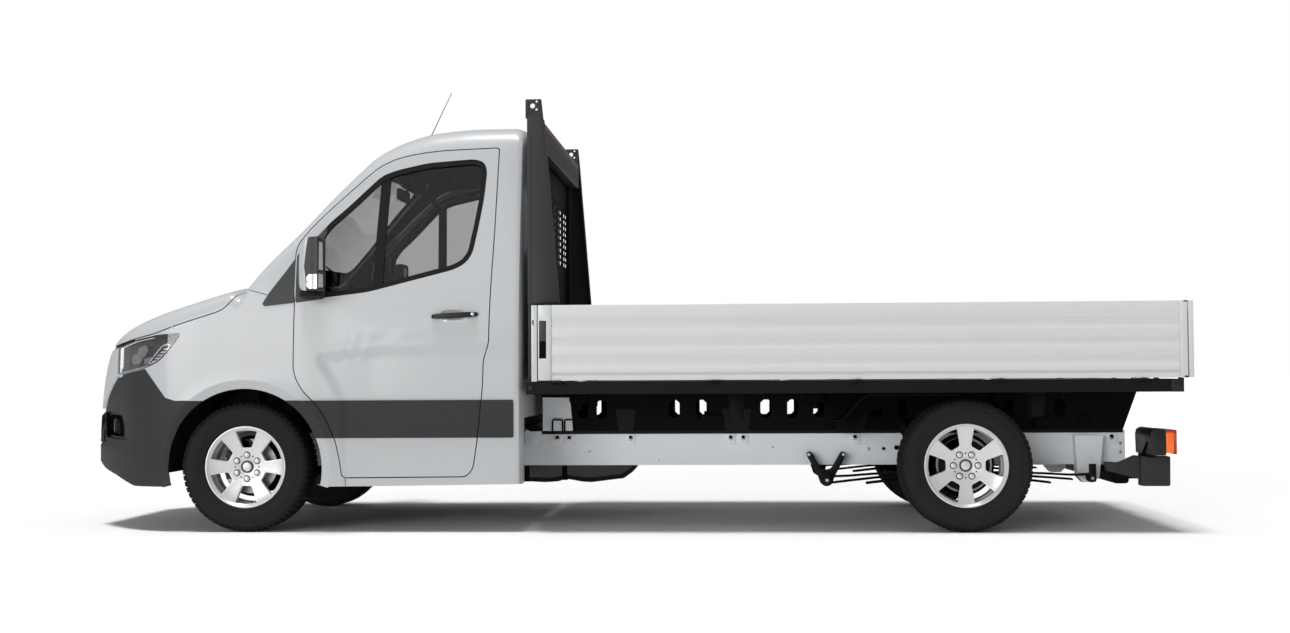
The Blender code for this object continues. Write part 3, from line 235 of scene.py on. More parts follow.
def makeFinish(name, values):
    material, tree, shader = newMaterial(name)
    place = objectPlace(tree, values.get("stretch", (1, 1, 1)))
    grain = addNode(tree, "ShaderNodeGroup", node_tree=fineGrain)
    tree.links.new(place, grain.inputs["Vector"])
    grain.inputs["Scale"].default_value = values["scale"]
    base = np.array(values["color"])
    change = values["tone"]
    tone = addNode(tree, "ShaderNodeMix", {0: grain.outputs["Tone"]}, data_type="RGBA")
    tone.inputs[6].default_value = (*(base * (1 - change)), 1)
    tone.inputs[7].default_value = (*np.minimum(base * (1 + change), 1.0), 1)
    color = tone.outputs[2]
    if values.get("rub"):
        rub = addNode(tree, "ShaderNodeGroup", node_tree=edgeRub)
        tree.links.new(color, rub.inputs["Color"])
        rub.inputs["Worn"].default_value = (*np.minimum(base * 1.6 + 0.05, 0.8), 1)
        rub.inputs["Amount"].default_value = values["rub"]
        color = rub.outputs["Color"]
    if values.get("dust"):
        dust = addNode(tree, "ShaderNodeGroup", node_tree=roadDust)
        tree.links.new(color, dust.inputs["Color"])
        dust.inputs["Amount"].default_value = values["dust"]
        color = dust.outputs["Color"]
    tree.links.new(color, shader.inputs["Base Color"])
    shine = addNode(tree, "ShaderNodeMapRange", {
        "Value": grain.outputs["Tone"], "To Min": values["rough"] * 0.88, "To Max": min(1.0, values["rough"] * 1.12)})
    tree.links.new(shine.outputs["Result"], shader.inputs["Roughness"])
    shader.inputs["Metallic"].default_value = values.get("metal", 0.0)
    shader.inputs["Specular IOR Level"].default_value = values.get("spec", 0.5)
    if values.get("coat"):
        shader.inputs["Coat Weight"].default_value = values["coat"]
        shader.inputs["Coat Roughness"].default_value = 0.08
    # A faint glow from the finish's own colour: painted light, not a lit lamp
    if values.get("paintedGlow"):
        shader.inputs["Emission Color"].default_value = (*base, 1)
        shader.inputs["Emission Strength"].default_value = values["paintedGlow"]
    bump = addNode(tree, "ShaderNodeBump", {"Height": grain.outputs["Height"], "Distance": values["bump"]})
    tree.links.new(bump.outputs["Normal"], shader.inputs["Normal"])
    made[name] = material


for finishName, finishValues in finishes.items():
    makeFinish(finishName, finishValues)


def makeGlass(name, color, rough=0.0, shine=0.5):
    material, tree, shader = newMaterial(name)
    grain = addNode(tree, "ShaderNodeGroup", node_tree=fineGrain)
    tree.links.new(objectPlace(tree), grain.inputs["Vector"])
    tone = addNode(tree, "ShaderNodeMix", {0: grain.outputs["Tone"]}, data_type="RGBA")
    tone.inputs[6].default_value = (*(np.array(color) * 0.97), 1)
    tone.inputs[7].default_value = (*np.minimum(np.array(color) * 1.03, 1.0), 1)
    tree.links.new(tone.outputs[2], shader.inputs["Base Color"])
    shader.inputs["Roughness"].default_value = rough
    shader.inputs["Transmission Weight"].default_value = 1.0
    shader.inputs["IOR"].default_value = 1.45
    shader.inputs["Specular IOR Level"].default_value = shine
    made[name] = material


makeGlass("cabGlass", (0.585, 0.585, 0.585), 0.0, 0.2)
makeGlass("lampGlass", (0.93, 0.94, 0.95))
print("finishes: made", len(made))


# Shared modelling helpers: a mesh is built in truck measures, then moved to the frame and given its finish
def shift(mesh):
    bmesh.ops.translate(mesh, vec=(frontX, 0, 0), verts=mesh.verts)


def newObject(name, mesh, finish=None, smooth=32):
    data = bpy.data.meshes.new(name)
    mesh.to_mesh(data)
    mesh.free()
    obj = bpy.data.objects.new(name, data)
    bpy.context.scene.collection.objects.link(obj)
    if finish:
        data.materials.append(made[finish])
    data.shade_smooth()
    data.set_sharp_from_angle(angle=math.radians(smooth))
    return obj


def settle(obj, smooth=32):
    # Turns the live modifiers into plain mesh
    graph = bpy.context.evaluated_depsgraph_get()
    data = bpy.data.meshes.new_from_object(obj.evaluated_get(graph))
    obj.modifiers.clear()
    old = obj.data
    obj.data = data
    bpy.data.meshes.remove(old)
    data.name = obj.name
    data.shade_smooth()
    data.set_sharp_from_angle(angle=math.radians(smooth))


def dropTools(tools):
    for tool in {t for t in tools if t is not None}:
        data = tool.data
        bpy.data.objects.remove(tool)
        bpy.data.meshes.remove(data)


def isClosed(data):
    mesh = bmesh.new()
    mesh.from_mesh(data)
    closed = len(mesh.faces) > 0 and all(edge.is_manifold for edge in mesh.edges)
    mesh.free()
    return closed


def cutWith(obj, *tools, operation="DIFFERENCE"):
    # One cut at a time; MANIFOLD stands in where EXACT leaves an open mesh or next to nothing
    for tool in tools:
        whole = obj.data.copy()
        for solver in ("EXACT", "MANIFOLD"):
            step = obj.modifiers.new("cut", "BOOLEAN")
            step.solver = solver
            step.operation = operation
            step.object = tool
            settle(obj)
            kept = len(obj.data.polygons) > 0.2 * len(whole.polygons) or operation == "INTERSECT"
            if solver == "MANIFOLD" or (kept and isClosed(obj.data)):
                break
            failed = obj.data
            obj.data = whole.copy()
            bpy.data.meshes.remove(failed)
        bpy.data.meshes.remove(whole)
    dropTools(tools)
    return obj


def place(obj, body, slotName, *replaced):
    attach(obj, body)
    if replaced:
        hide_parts(*replaced)
    return obj


def span(k, low, high):
    return tuple(sorted((k * low, k * high)))


def addBox(mesh, x, y, z, bevel=0.0, segments=2):
    low, high = Vector((x[0], y[0], z[0])), Vector((x[1], y[1], z[1]))
    size = high - low
    matrix = Matrix.Translation((low + high) / 2) @ Matrix.Diagonal((*size, 1))
    verts = bmesh.ops.create_cube(mesh, size=1, matrix=matrix)["verts"]
    if bevel:
        edges = {edge for vert in verts for edge in vert.link_edges}
        made = bmesh.ops.bevel(mesh, geom=list(edges), offset=bevel, segments=segments, profile=0.5, affect="EDGES",
                               material=-1)
        verts = list({v for f in made["faces"] for v in f.verts} | {v for v in verts if v.is_valid})
    return verts


def addRod(mesh, start, end, radius, sides=16, endRadius=None, bevel=0.0):
    first, last = Vector(start), Vector(end)
    along = last - first
    turn = along.to_track_quat("Z", "Y").to_matrix().to_4x4()
    verts = bmesh.ops.create_cone(
        mesh, cap_ends=True, segments=sides, radius1=radius, radius2=radius if endRadius is None else endRadius,
        depth=along.length, matrix=Matrix.Translation((first + last) / 2) @ turn)["verts"]
    if bevel:
        rims = [e for e in {e for v in verts for e in v.link_edges} if any(len(f.verts) > 4 for f in e.link_faces)]
        bmesh.ops.bevel(mesh, geom=rims, offset=bevel, segments=2, profile=0.5, affect="EDGES", material=-1)
    return verts


def rounded(outline, radius, steps=4):
    # Rounds each corner of a closed outline; radius is one number or one for each corner
    points = [Vector(p) for p in outline]
    count = len(points)
    radii = radius if isinstance(radius, (list, tuple)) else [radius] * count
    result = []
    for i, point in enumerate(points):
        before, after = points[i - 1] - point, points[(i + 1) % count] - point
        reach = min(radii[i], before.length * 0.49, after.length * 0.49)
        if reach < 1e-5:
            result.append(tuple(point))
            continue
        a, b = point + before.normalized() * reach, point + after.normalized() * reach
        for j in range(steps + 1):
            t = j / steps
            result.append(tuple((1 - t) ** 2 * a + 2 * t * (1 - t) * point + t ** 2 * b))
    return result


def curved(outline, steps=5):
    # A smooth closed line through the outline's points
    points = [Vector(p) for p in outline]
    count = len(points)
    result = []
    for i in range(count):
        p0, p1, p2, p3 = points[i - 1], points[i], points[(i + 1) % count], points[(i + 2) % count]
        for j in range(steps):
            t = j / steps
            result.append(tuple(0.5 * (2 * p1 + (p2 - p0) * t + (2 * p0 - 5 * p1 + 4 * p2 - p3) * t ** 2
                                       + (3 * p1 - p0 - 3 * p2 + p3) * t ** 3)))
    return result


def offset(outline, distance):
    points = [Vector(point) for point in outline]
    count = len(points)
    area = sum(points[i].x * points[(i + 1) % count].y - points[(i + 1) % count].x * points[i].y for i in range(count))
    sign = 1 if area > 0 else -1
    moved = []
    for i in range(count):
        before = (points[i] - points[i - 1]).normalized()
        after = (points[(i + 1) % count] - points[i]).normalized()
        normalA = Vector((before.y, -before.x)) * sign
        normalB = Vector((after.y, -after.x)) * sign
        between = (normalA + normalB).normalized()
        moved.append(tuple(points[i] + between * distance / max(0.5, between.dot(normalA))))
    return moved


def addPrism(mesh, outline, axis, low, high):
    # One flat face of the outline, drawn out along the axis
    spots = {"y": lambda a, b: (a, low, b), "x": lambda a, b: (low, a, b), "z": lambda a, b: (a, b, low)}
    face = mesh.faces.new([mesh.verts.new(spots[axis](a, b)) for a, b in outline])
    drawn = bmesh.ops.extrude_face_region(mesh, geom=[face])["geom"]
    verts = [item for item in drawn if isinstance(item, bmesh.types.BMVert)]
    along = {"x": (high - low, 0, 0), "y": (0, high - low, 0), "z": (0, 0, high - low)}[axis]
    bmesh.ops.translate(mesh, vec=along, verts=verts)
    island = {f for v in verts for f in v.link_faces} | {face}
    bmesh.ops.recalc_face_normals(mesh, faces=list(island))
    return list(face.verts) + verts


def prismTool(outline, axis, low, high):
    mesh = bmesh.new()
    addPrism(mesh, outline, axis, low, high)
    shift(mesh)
    return newObject("tool", mesh)


def boxTool(x, y, z, bevel=0.0):
    mesh = bmesh.new()
    addBox(mesh, x, y, z, bevel, 3)
    shift(mesh)
    return newObject("tool", mesh)


def addSpin(mesh, profile, centre, steps, side=1, close=True):
    # Profile points are (distance along Y, radius)
    ring = [mesh.verts.new((centre[0], centre[1] + side * along, centre[2] + radius)) for along, radius in profile]
    edges = [mesh.edges.new((a, b)) for a, b in zip(ring, ring[1:])]
    if close:
        edges.append(mesh.edges.new((ring[-1], ring[0])))
    before = set(mesh.faces)
    bmesh.ops.spin(mesh, geom=ring + edges, cent=centre, axis=(0, 1, 0), angle=math.tau, steps=steps, use_merge=True)
    return [f for f in mesh.faces if f not in before]


def finishMesh(name, mesh, finish, body, slotName, *replaced, smooth=32, bevel=0.0, segments=2):
    bmesh.ops.remove_doubles(mesh, verts=mesh.verts, dist=0.00002)
    bmesh.ops.recalc_face_normals(mesh, faces=mesh.faces)
    shift(mesh)
    obj = newObject(name, mesh, finish, smooth)
    if bevel:
        step = obj.modifiers.new("edges", "BEVEL")
        step.width = bevel
        step.segments = segments
        step.limit_method = "ANGLE"
        step.angle_limit = math.radians(40)
        step.use_clamp_overlap = True
        settle(obj, smooth)
    return place(obj, body, slotName, *replaced)


# The cab's outer surface, measured from the photo: heights along its middle, and its width at each height
cab = dict(
    rear=1.53, nose=-1.004, taper=0.5, taperPower=2.3, taperStart=-0.25, rearRound=0.032,
    roof=[(-1.004, 0.50), (-0.995, 0.62), (-0.975, 0.76), (-0.945, 0.89), (-0.91, 0.99), (-0.865, 1.06),
          (-0.79, 1.12),
          (-0.66, 1.19), (-0.48, 1.265), (-0.30, 1.325), (-0.13, 1.375), (-0.04, 1.40), (0.0, 1.47), (0.30, 1.80),
          (0.56, 2.06), (0.70, 2.165), (0.85, 2.225), (1.05, 2.265), (1.28, 2.28), (1.46, 2.28), (1.53, 2.26)],
    crown=[(-1.004, 0.01), (-0.9, 0.03), (-0.3, 0.045), (-0.1, 0.045), (0.0, 0.09), (0.5, 0.11), (0.75, 0.08),
           (1.0, 0.055), (1.53, 0.05)],
    corner=[(-1.004, 0.05), (-0.9, 0.09), (-0.3, 0.09), (0.0, 0.06), (0.6, 0.07), (0.9, 0.12), (1.53, 0.12)],
    half=[(0.25, 0.985), (0.6, 1.0), (0.75, 1.0), (1.0, 0.995), (1.25, 0.975), (1.6, 0.925), (1.9, 0.865),
          (2.1, 0.82),
          (2.3, 0.77)],
    sill=[(-1.004, 0.37), (-0.95, 0.338), (-0.81, 0.298), (-0.72, 0.266), (-0.65, 0.247), (-0.42, 0.248),
          (0.45, 0.250),
          (1.53, 0.262)],
    flare=dict(radius=0.505, blend=0.03, lift=0.007), crease=[(0.45, 1.066), (1.53, 1.095)],
    recess=[(0.30, 0.950), (0.60, 0.985), (1.53, 1.037)], recessDepth=0.006,
)


def smoothRows(rows, at):
    # A curve with no overshoot through the rows
    x = np.array([row[0] for row in rows])
    y = np.array([row[1] for row in rows])
    gap, slope = np.diff(x), np.diff(y) / np.diff(x)
    lean = np.zeros(len(x))
    lean[0], lean[-1] = slope[0], slope[-1]
    for i in range(1, len(x) - 1):
        if slope[i - 1] * slope[i] > 0:
            wa, wb = 2 * gap[i] + gap[i - 1], gap[i] + 2 * gap[i - 1]
            lean[i] = (wa + wb) / (wa / slope[i - 1] + wb / slope[i])
    i = np.clip(np.searchsorted(x, at) - 1, 0, len(x) - 2)
    t = np.clip((at - x[i]) / gap[i], 0, 1)
    a, b = 2 * t ** 3 - 3 * t ** 2 + 1, t ** 3 - 2 * t ** 2 + t
    c, d = -2 * t ** 3 + 3 * t ** 2, t ** 3 - t ** 2
    return a * y[i] + b * gap[i] * lean[i] + c * y[i + 1] + d * gap[i] * lean[i + 1]


def ramp(value, low, high):
    t = np.clip((value - low) / (high - low), 0, 1)
    return t * t * (3 - 2 * t)


def sideLift(x, z):
    # What stands proud of the plain side, in metres: the arch flare, less the crease and the door's recess
    reach = np.hypot(x, z - axleZ)
    flare = cab["flare"]
    lift = flare["lift"] * (1 - ramp(reach, flare["radius"] - flare["blend"], flare["radius"] + flare["blend"]))
    lift = lift * ramp(z, 0.25, 0.45)
    crease = np.interp(x, *zip(*cab["crease"]))
    edge = np.interp(x, *zip(*cab["recess"]))
    lift = lift - 0.0035 * ramp(x, 0.45, 0.75) * (1 - ramp(z, crease - 0.014, crease + 0.004))
    front = np.interp(z, [0.70, 0.80, 0.90, 1.0], [0.535, 0.49, 0.43, 0.36])
    sunk = (1 - ramp(z, edge - 0.02, edge)) * ramp(x, front, front + 0.03)
    return lift - cab["recessDepth"] * sunk


def sideAt(x, z):
    reach = np.clip((cab["taperStart"] - x) / (cab["taperStart"] - cab["nose"]), 0, 1)
    return smoothRows(cab["half"], z) * (1 - cab["taper"] * reach ** cab["taperPower"])


def halfSection(x, v):
    # v runs from 0 at the sill over 1 and 2, the ends of the roof's corner, to 3 at the middle
    x = np.clip(x, cab["nose"], cab["rear"])
    top, drop = smoothRows(cab["roof"], x), smoothRows(cab["crown"], x)
    low = smoothRows(cab["sill"], x)
    corner = top.copy()
    for _ in range(12):
        corner = 0.5 * corner + 0.5 * (top - drop * (sideAt(x, corner) / 0.8) ** 2.5)
    radius = np.minimum(smoothRows(cab["corner"], x), 0.45 * (corner - low))
    begin, edge = corner - radius, sideAt(x, corner)
    inner = edge - radius
    z1 = low + (begin - low) * np.clip(v, 0, 1)
    y1 = sideAt(x, z1)
    t = np.clip(v - 1, 0, 1)
    y2 = (1 - t) ** 2 * sideAt(x, begin) + 2 * t * (1 - t) * edge + t ** 2 * inner
    z2 = (1 - t) ** 2 * begin + 2 * t * (1 - t) * corner + t ** 2 * (top - drop * (inner / 0.8) ** 2.5)
    y3 = inner * np.clip(3 - v, 0, 1)
    z3 = top - drop * (y3 / 0.8) ** 2.5
    y = np.where(v < 1, y1, np.where(v < 2, y2, y3))
    z = np.where(v < 1, z1, np.where(v < 2, z2, z3))
    return y, z


def cabPoint(x, v):
    # v from 0 to 6 goes over the cab from its left sill to its right one
    mirrored = v > 3
    y, z = halfSection(x, np.where(mirrored, 6 - v, v))
    lifted = y + np.where(np.where(mirrored, 6 - v, v) < 1.0, sideLift(x, z), 0)
    back = np.clip(x - (cab["rear"] - cab["rearRound"]), 0, None)
    inset = cab["rearRound"] - np.sqrt(np.clip(cab["rearRound"] ** 2 - back ** 2, 0, None))
    lifted = lifted * (1 - inset / 0.95)
    z = np.where(z > 1.2, z - inset * (z - 1.2) / 1.08, z)
    return np.stack([x, np.where(mirrored, lifted, -lifted), z], -1)


def cabSurface(x, v, inset=0.0):
    points = cabPoint(x, v)
    if np.any(inset):
        step = 0.004
        alongX = cabPoint(x + step, v) - cabPoint(x - step, v)
        alongV = cabPoint(x, np.minimum(v + step * 4, 6)) - cabPoint(x, np.maximum(v - step * 4, 0))
        normal = np.cross(alongV, alongX)
        normal /= np.linalg.norm(normal, axis=-1, keepdims=True) + 1e-12
        points = points + normal * (np.asarray(inset)[..., None] if np.ndim(inset) else inset)
    return points


def skin(name, x, v, cells, finish, inset=0.0, wall=0.03, ease=1.0, closeFront=False, closeRear=False,
         dent=None):
    # A patch of the cab's surface as a closed sheet; ease above 1 crowds the cells at the nose
    mesh = bmesh.new()
    bmesh.ops.create_grid(mesh, x_segments=cells[0], y_segments=cells[1], size=0.5)
    flat = np.array([vert.co[:2] for vert in mesh.verts]) + 0.5
    alongX = x[0] + (x[1] - x[0]) * np.clip(flat[:, 0], 0, 1) ** ease
    alongV = v[0] + (v[1] - v[0]) * flat[:, 1]
    if dent:
        plain = cabPoint(alongX, alongV)
        inset = inset + dent(plain[:, 0], plain[:, 2])
    for vert, point in zip(mesh.verts, cabSurface(alongX, alongV, inset)):
        vert.co = point
    rows = {"front": {vert for vert, spot in zip(mesh.verts, flat) if spot[0] < 0.0001},
            "rear": {vert for vert, spot in zip(mesh.verts, flat) if spot[0] > 0.9999}}
    for wanted, row in ((closeFront, rows["front"]), (closeRear, rows["rear"])):
        if wanted:
            edge = [e for e in mesh.edges if e.is_boundary and all(vert in row for vert in e.verts)]
            ends = [vert for vert in row if sum(e in edge for e in vert.link_edges) == 1]
            edge.append(mesh.edges.new(ends))
            bmesh.ops.contextual_create(mesh, geom=edge)
    bmesh.ops.recalc_face_normals(mesh, faces=mesh.faces)
    outward = sum(f.normal.dot(f.calc_center_median() - Vector((0.3, 0, 0.9))) * f.calc_area() for f in mesh.faces)
    if outward < 0:
        bmesh.ops.reverse_faces(mesh, faces=mesh.faces)
    shift(mesh)
    obj = newObject(name, mesh, finish)
    step = obj.modifiers.new("wall", "SOLIDIFY")
    step.thickness = wall
    step.offset = -1
    step.use_even_offset = False
    settle(obj)
    return obj


# The front arch: its opening, and the band about it that turns in towards the wheel
arch = dict(inner=0.4305, outer=0.4780, turnIn=0.012, wall=0.005, start=-13.5, end=193.5, steps=80, across=6)

# Side outlines of the cab's panels as (x, z), from the photo
doorOutline = [
    (0.277, 1.27), (0.277, 0.861), (0.338, 0.762), (0.411, 0.696), (0.467, 0.614), (0.511, 0.505),
    (0.533, 0.396), (0.545, 0.300), (1.228, 0.305), (1.262, 0.35), (1.294, 0.557), (1.316, 0.80),
    (1.320, 0.937), (1.349, 1.03), (1.355, 1.269), (1.374, 1.656), (1.386, 2.118), (1.065, 2.106),
    (0.920, 2.088), (0.805, 2.060), (0.715, 2.014), (0.582, 1.893), (0.440, 1.761), (0.334, 1.651),
    (0.280, 1.573), (0.270, 1.49), (0.270, 1.334),
]
doorRound = [0, .08, .04, .04, .05, .06, .03, .025, .03, .03, .06, .05, .02, .02, .08, .1, .015, .1, .08, .05, .05,
             .1, .1,
             .05, .04, .04, .04]
windowOutline = [
    (0.413, 1.283), (0.680, 1.314), (0.900, 1.370), (1.153, 1.434), (1.218, 1.468), (1.256, 1.524), (1.284, 1.662),
    (1.311, 1.826), (1.324, 1.985), (1.308, 2.038), (1.252, 2.057), (0.993, 2.038), (0.823, 2.000), (0.748, 1.972),
    (0.712, 1.945), (0.557, 1.793), (0.446, 1.694), (0.400, 1.630), (0.392, 1.528), (0.396, 1.396),
]
bonnetOutline = [
    (-1.2, 1.024), (-0.957, 1.030), (-0.857, 1.029), (-0.750, 1.050), (-0.659, 1.071), (-0.547, 1.092),
    (-0.508, 1.102),
    (-0.394, 1.140), (-0.285, 1.174), (-0.177, 1.207), (-0.139, 1.222), (-0.112, 1.241), (-0.085, 1.272),
    (-0.058, 1.310),
    (-0.046, 1.340), (-0.042, 1.7), (-1.2, 1.7),
]
lampOutline = [
    (-1.2, 0.862), (-0.75, 0.872), (-0.590, 0.900), (-0.490, 0.941), (-0.424, 1.007), (-0.380, 1.062),
    (-0.366, 1.092), (-0.500, 1.086), (-0.540, 1.078), (-0.659, 1.059), (-0.750, 1.033), (-0.857, 1.006),
    (-1.2, 0.995),
]
bumperOutline = [
    (-1.2, 0.1), (-1.2, 0.9), (-0.586, 0.9), (-0.523, 0.826), (-0.449, 0.737), (-0.392, 0.72), (-0.20, 0.72),
    (-0.20, 0.1),
]
fenderOutline = [
    (-1.2, 0.1), (-1.2, 1.345), (-0.036, 1.345), (0.30, 1.253), (0.30, 0.83), (0.56, 0.50), (0.56, 0.1),
]
screenOutline = [(-0.83, 1.44), (0.83, 1.44), (0.665, 2.10), (-0.665, 2.10)]
rearOutline = [(-0.60, 1.42), (0.60, 1.42), (0.56, 1.95), (-0.56, 1.95)]
triangleOutline = [(0.093, 1.252), (0.108, 1.240), (0.271, 1.257), (0.271, 1.505), (0.264, 1.495), (0.226, 1.440),
                   (0.135, 1.319)]
cornerOutline = [(0.279, 1.258), (0.440, 1.278), (0.440, 1.684), (0.394, 1.632), (0.346, 1.610), (0.279, 1.520)]
gapOutline = [(-1.1, 0.990), (-0.857, 0.998), (-0.750, 1.025), (-0.659, 1.050), (-0.540, 1.070), (-0.420, 1.078),
              (-0.420, 1.130), (-0.508, 1.110), (-0.547, 1.100), (-0.659, 1.080), (-0.750, 1.060), (-0.857, 1.038),
              (-1.1, 1.036)]
gap = dict(shut=0.006, join=0.0025)
noseOutline = [(-0.53, 0.672), (0.53, 0.672), (0.747, 0.872), (0.747, 1.2), (-0.747, 1.2), (-0.747, 0.872)]
lampInner = 0.75
doorShape = rounded(doorOutline, doorRound, 4)
windowShape = rounded(windowOutline, [0.01, .05, .05, .05, .04, .05, .05, .05, .03, .03, .03, .05, .05, .03, .03,
                                      .05, .05,
                                      .05, .05, .05], 4)


def windowInside(inset):
    return rounded(offset(windowOutline, -inset), 0.022, 4)


lampShape = rounded(lampOutline, [0, .03, .03, .03, .03, .02, .010, .02, .03, .04, .04, .03, 0], 4)
bonnetShape = rounded(bonnetOutline, [0, .05, .05, .05, .05, .04, .02, .05, .05, .03, .02, .02, .02, .02, .01, 0,
                                      0], 3)
screenShape = rounded(screenOutline, [0.05, 0.05, 0.07, 0.07], 5)
rearShape = rounded(rearOutline, 0.05, 5)


def archTool(k, x=0.0, radius=0.43, inner=0.52):
    mesh = bmesh.new()
    addRod(mesh, (x, k * inner, axleZ), (x, k * 1.3, axleZ), radius, 96)
    shift(mesh)
    return newObject("tool", mesh)


def sideTool(outline, k, inner=0.45):
    return prismTool(outline, "y", *span(k, inner, 1.3))


def bothTool(outline):
    return prismTool(outline, "y", -1.3, 1.3)


# Cab body: roof, pillars, sills and rear wall in one skin, less the doors, screen and everything ahead of them
def makeCabBody():
    body = skin("cabShell", (-0.08, cab["rear"] - 0.0004), (0, 6), (120, 132), "cabPaint", closeRear=True)
    cutWith(body, boxTool((-1.3, -0.036 + gap["join"]), (-1.3, 1.3), (0, 2.5)))
    cutWith(body, boxTool((-0.25, 0.045), (-0.80, 0.80), (1.1, 1.75)))
    for k in sides.values():
        cutWith(body, sideTool(offset(fenderOutline, gap["join"]), k, 0.0))
        cutWith(body, sideTool(offset(doorShape, gap["shut"]), k))
    cutWith(body, prismTool(offset(screenShape, 0.003), "x", 0.0, 0.85))
    cutWith(body, prismTool(offset(rearShape, 0.003), "x", 1.40, 1.60))
    cutWith(body, boxTool((1.35, 1.60), (-0.86, 0.86), (0.1, 0.62)))
    place(body, "chassis", "cab_paint", "cab_body")
    print("cab body: built")


def makeFender(s):
    k = sides[s]
    v = (0, 2.4) if k < 0 else (3.6, 6)
    fender = skin(f"fender_{s}_panel", (-0.66, 0.60), v, (120, 74), "cabPaint")
    cutWith(fender, sideTool(offset(fenderOutline, -gap["join"] / 2), k), operation="INTERSECT")
    cutWith(fender, bothTool(offset(bonnetShape, gap["shut"])))
    cutWith(fender, sideTool(offset(doorShape, gap["shut"]), k))
    cutWith(fender, bothTool(offset(bumperOutline, gap["join"])))
    cutWith(fender, sideTool(offset(lampShape, gap["join"]), k))
    cutWith(fender, archTool(k, radius=arch["outer"]))
    cutWith(fender, boxTool((-0.2, 0.045), (-0.80, 0.80), (1.2, 1.7)))
    place(fender, "chassis", "cab_paint", f"fender_{s}")


def makeBonnet():
    bonnet = skin("bonnetPanel", (-1.004, -0.02), (0.4, 5.6), (110, 130), "cabPaint", ease=1.5)
    cutWith(bonnet, bothTool(bonnetShape), operation="INTERSECT")
    place(bonnet, "bonnet", "cab_paint", "bonnet")
    print("bonnet and fenders: built")


def makeDoor(s):
    k = sides[s]
    v = (0, 1.9) if k < 0 else (4.1, 6)
    panel = skin(f"door_{s}_panel", (0.22, 1.44), v, (90, 120), "cabPaint", wall=0.034)
    cutWith(panel, sideTool(doorShape, k), operation="INTERSECT")
    cutWith(panel, sideTool(offset(windowShape, 0.001), k))
    cutWith(panel, boxTool((1.085, 1.225), span(k, 0.94, 1.3), (1.148, 1.212), 0.03))
    place(panel, f"door_{s}", "cab_paint", f"door_{s}")
    dish = dict(centre=(1.155, 1.180), reach=0.072, high=0.034, deep=0.028)
    mesh = bmesh.new()
    bmesh.ops.create_grid(mesh, x_segments=24, y_segments=16, size=1)
    flat = np.array([vert.co[:2] for vert in mesh.verts])
    across, up = dish["centre"][0] + flat[:, 0] * dish["reach"], dish["centre"][1] + flat[:, 1] * dish["high"]
    sunk = dish["deep"] * (1 - flat[:, 0] ** 2) * (1 - flat[:, 1] ** 2) + 0.003
    face = sideAt(across, up) + sideLift(across, up) - sunk
    for vert, x, y, z in zip(mesh.verts, across, face, up):
        vert.co = (x, k * y, z)
    for f in mesh.faces:
        f.normal_update()
    if sum(f.normal.y for f in mesh.faces) * k < 0:
        bmesh.ops.reverse_faces(mesh, faces=mesh.faces)
    bmesh.ops.solidify(mesh, geom=mesh.faces[:], thickness=-0.002)
    finishMesh(f"door_{s}_dish", mesh, "cabPaint", f"door_{s}", "cab_paint")


def onSide(x, z, out=0.0):
    # The side skin's own y at a place, for trim that lies on it
    return float(sideAt(np.array([x]), np.array([z]))[0] + sideLift(np.array([x]), np.array([z]))[0]) + out


def sideSheet(name, outline, k, finish, out=0.0, wall=0.004, cells=(60, 40)):
    # A sheet that follows the cab's side inside an outline, standing out from it by the distance
    xs, zs = [p[0] for p in outline], [p[1] for p in outline]
    low, high = (min(xs) - 0.02, min(zs) - 0.02), (max(xs) + 0.02, max(zs) + 0.02)
    mesh = bmesh.new()
    bmesh.ops.create_grid(mesh, x_segments=cells[0], y_segments=cells[1], size=0.5)
    flat = np.array([vert.co[:2] for vert in mesh.verts]) + 0.5
    x = low[0] + (high[0] - low[0]) * flat[:, 0]
    z = low[1] + (high[1] - low[1]) * flat[:, 1]
    y = sideAt(x, z) + sideLift(x, z) + out
    for vert, a, b, c in zip(mesh.verts, x, y, z):
        vert.co = (a, k * b, c)
    mesh.normal_update()
    if sum(f.normal.y for f in mesh.faces) * k < 0:
        bmesh.ops.reverse_faces(mesh, faces=mesh.faces)
    shift(mesh)
    obj = newObject(name, mesh, finish)
    step = obj.modifiers.new("wall", "SOLIDIFY")
    step.thickness, step.offset = wall, -1
    settle(obj)
    cutWith(obj, sideTool(outline, k, 0.3), operation="INTERSECT")
    return obj


def softenEdges(obj, width, segments=2, angle=50):
    step = obj.modifiers.new("edges", "BEVEL")
    step.width, step.segments = width, segments
    step.limit_method, step.angle_limit = "ANGLE", math.radians(angle)
    step.use_clamp_overlap = True
    settle(obj, 40)


# Door glass, its black surround, the divider bar, and the corner triangle ahead of it
doorTrim = dict(seal=0.027, glassIn=0.014, glassWall=0.004,
                divider=[(0.703, 1.30), (0.757, 1.30), (0.786, 2.00), (0.735, 2.00)])


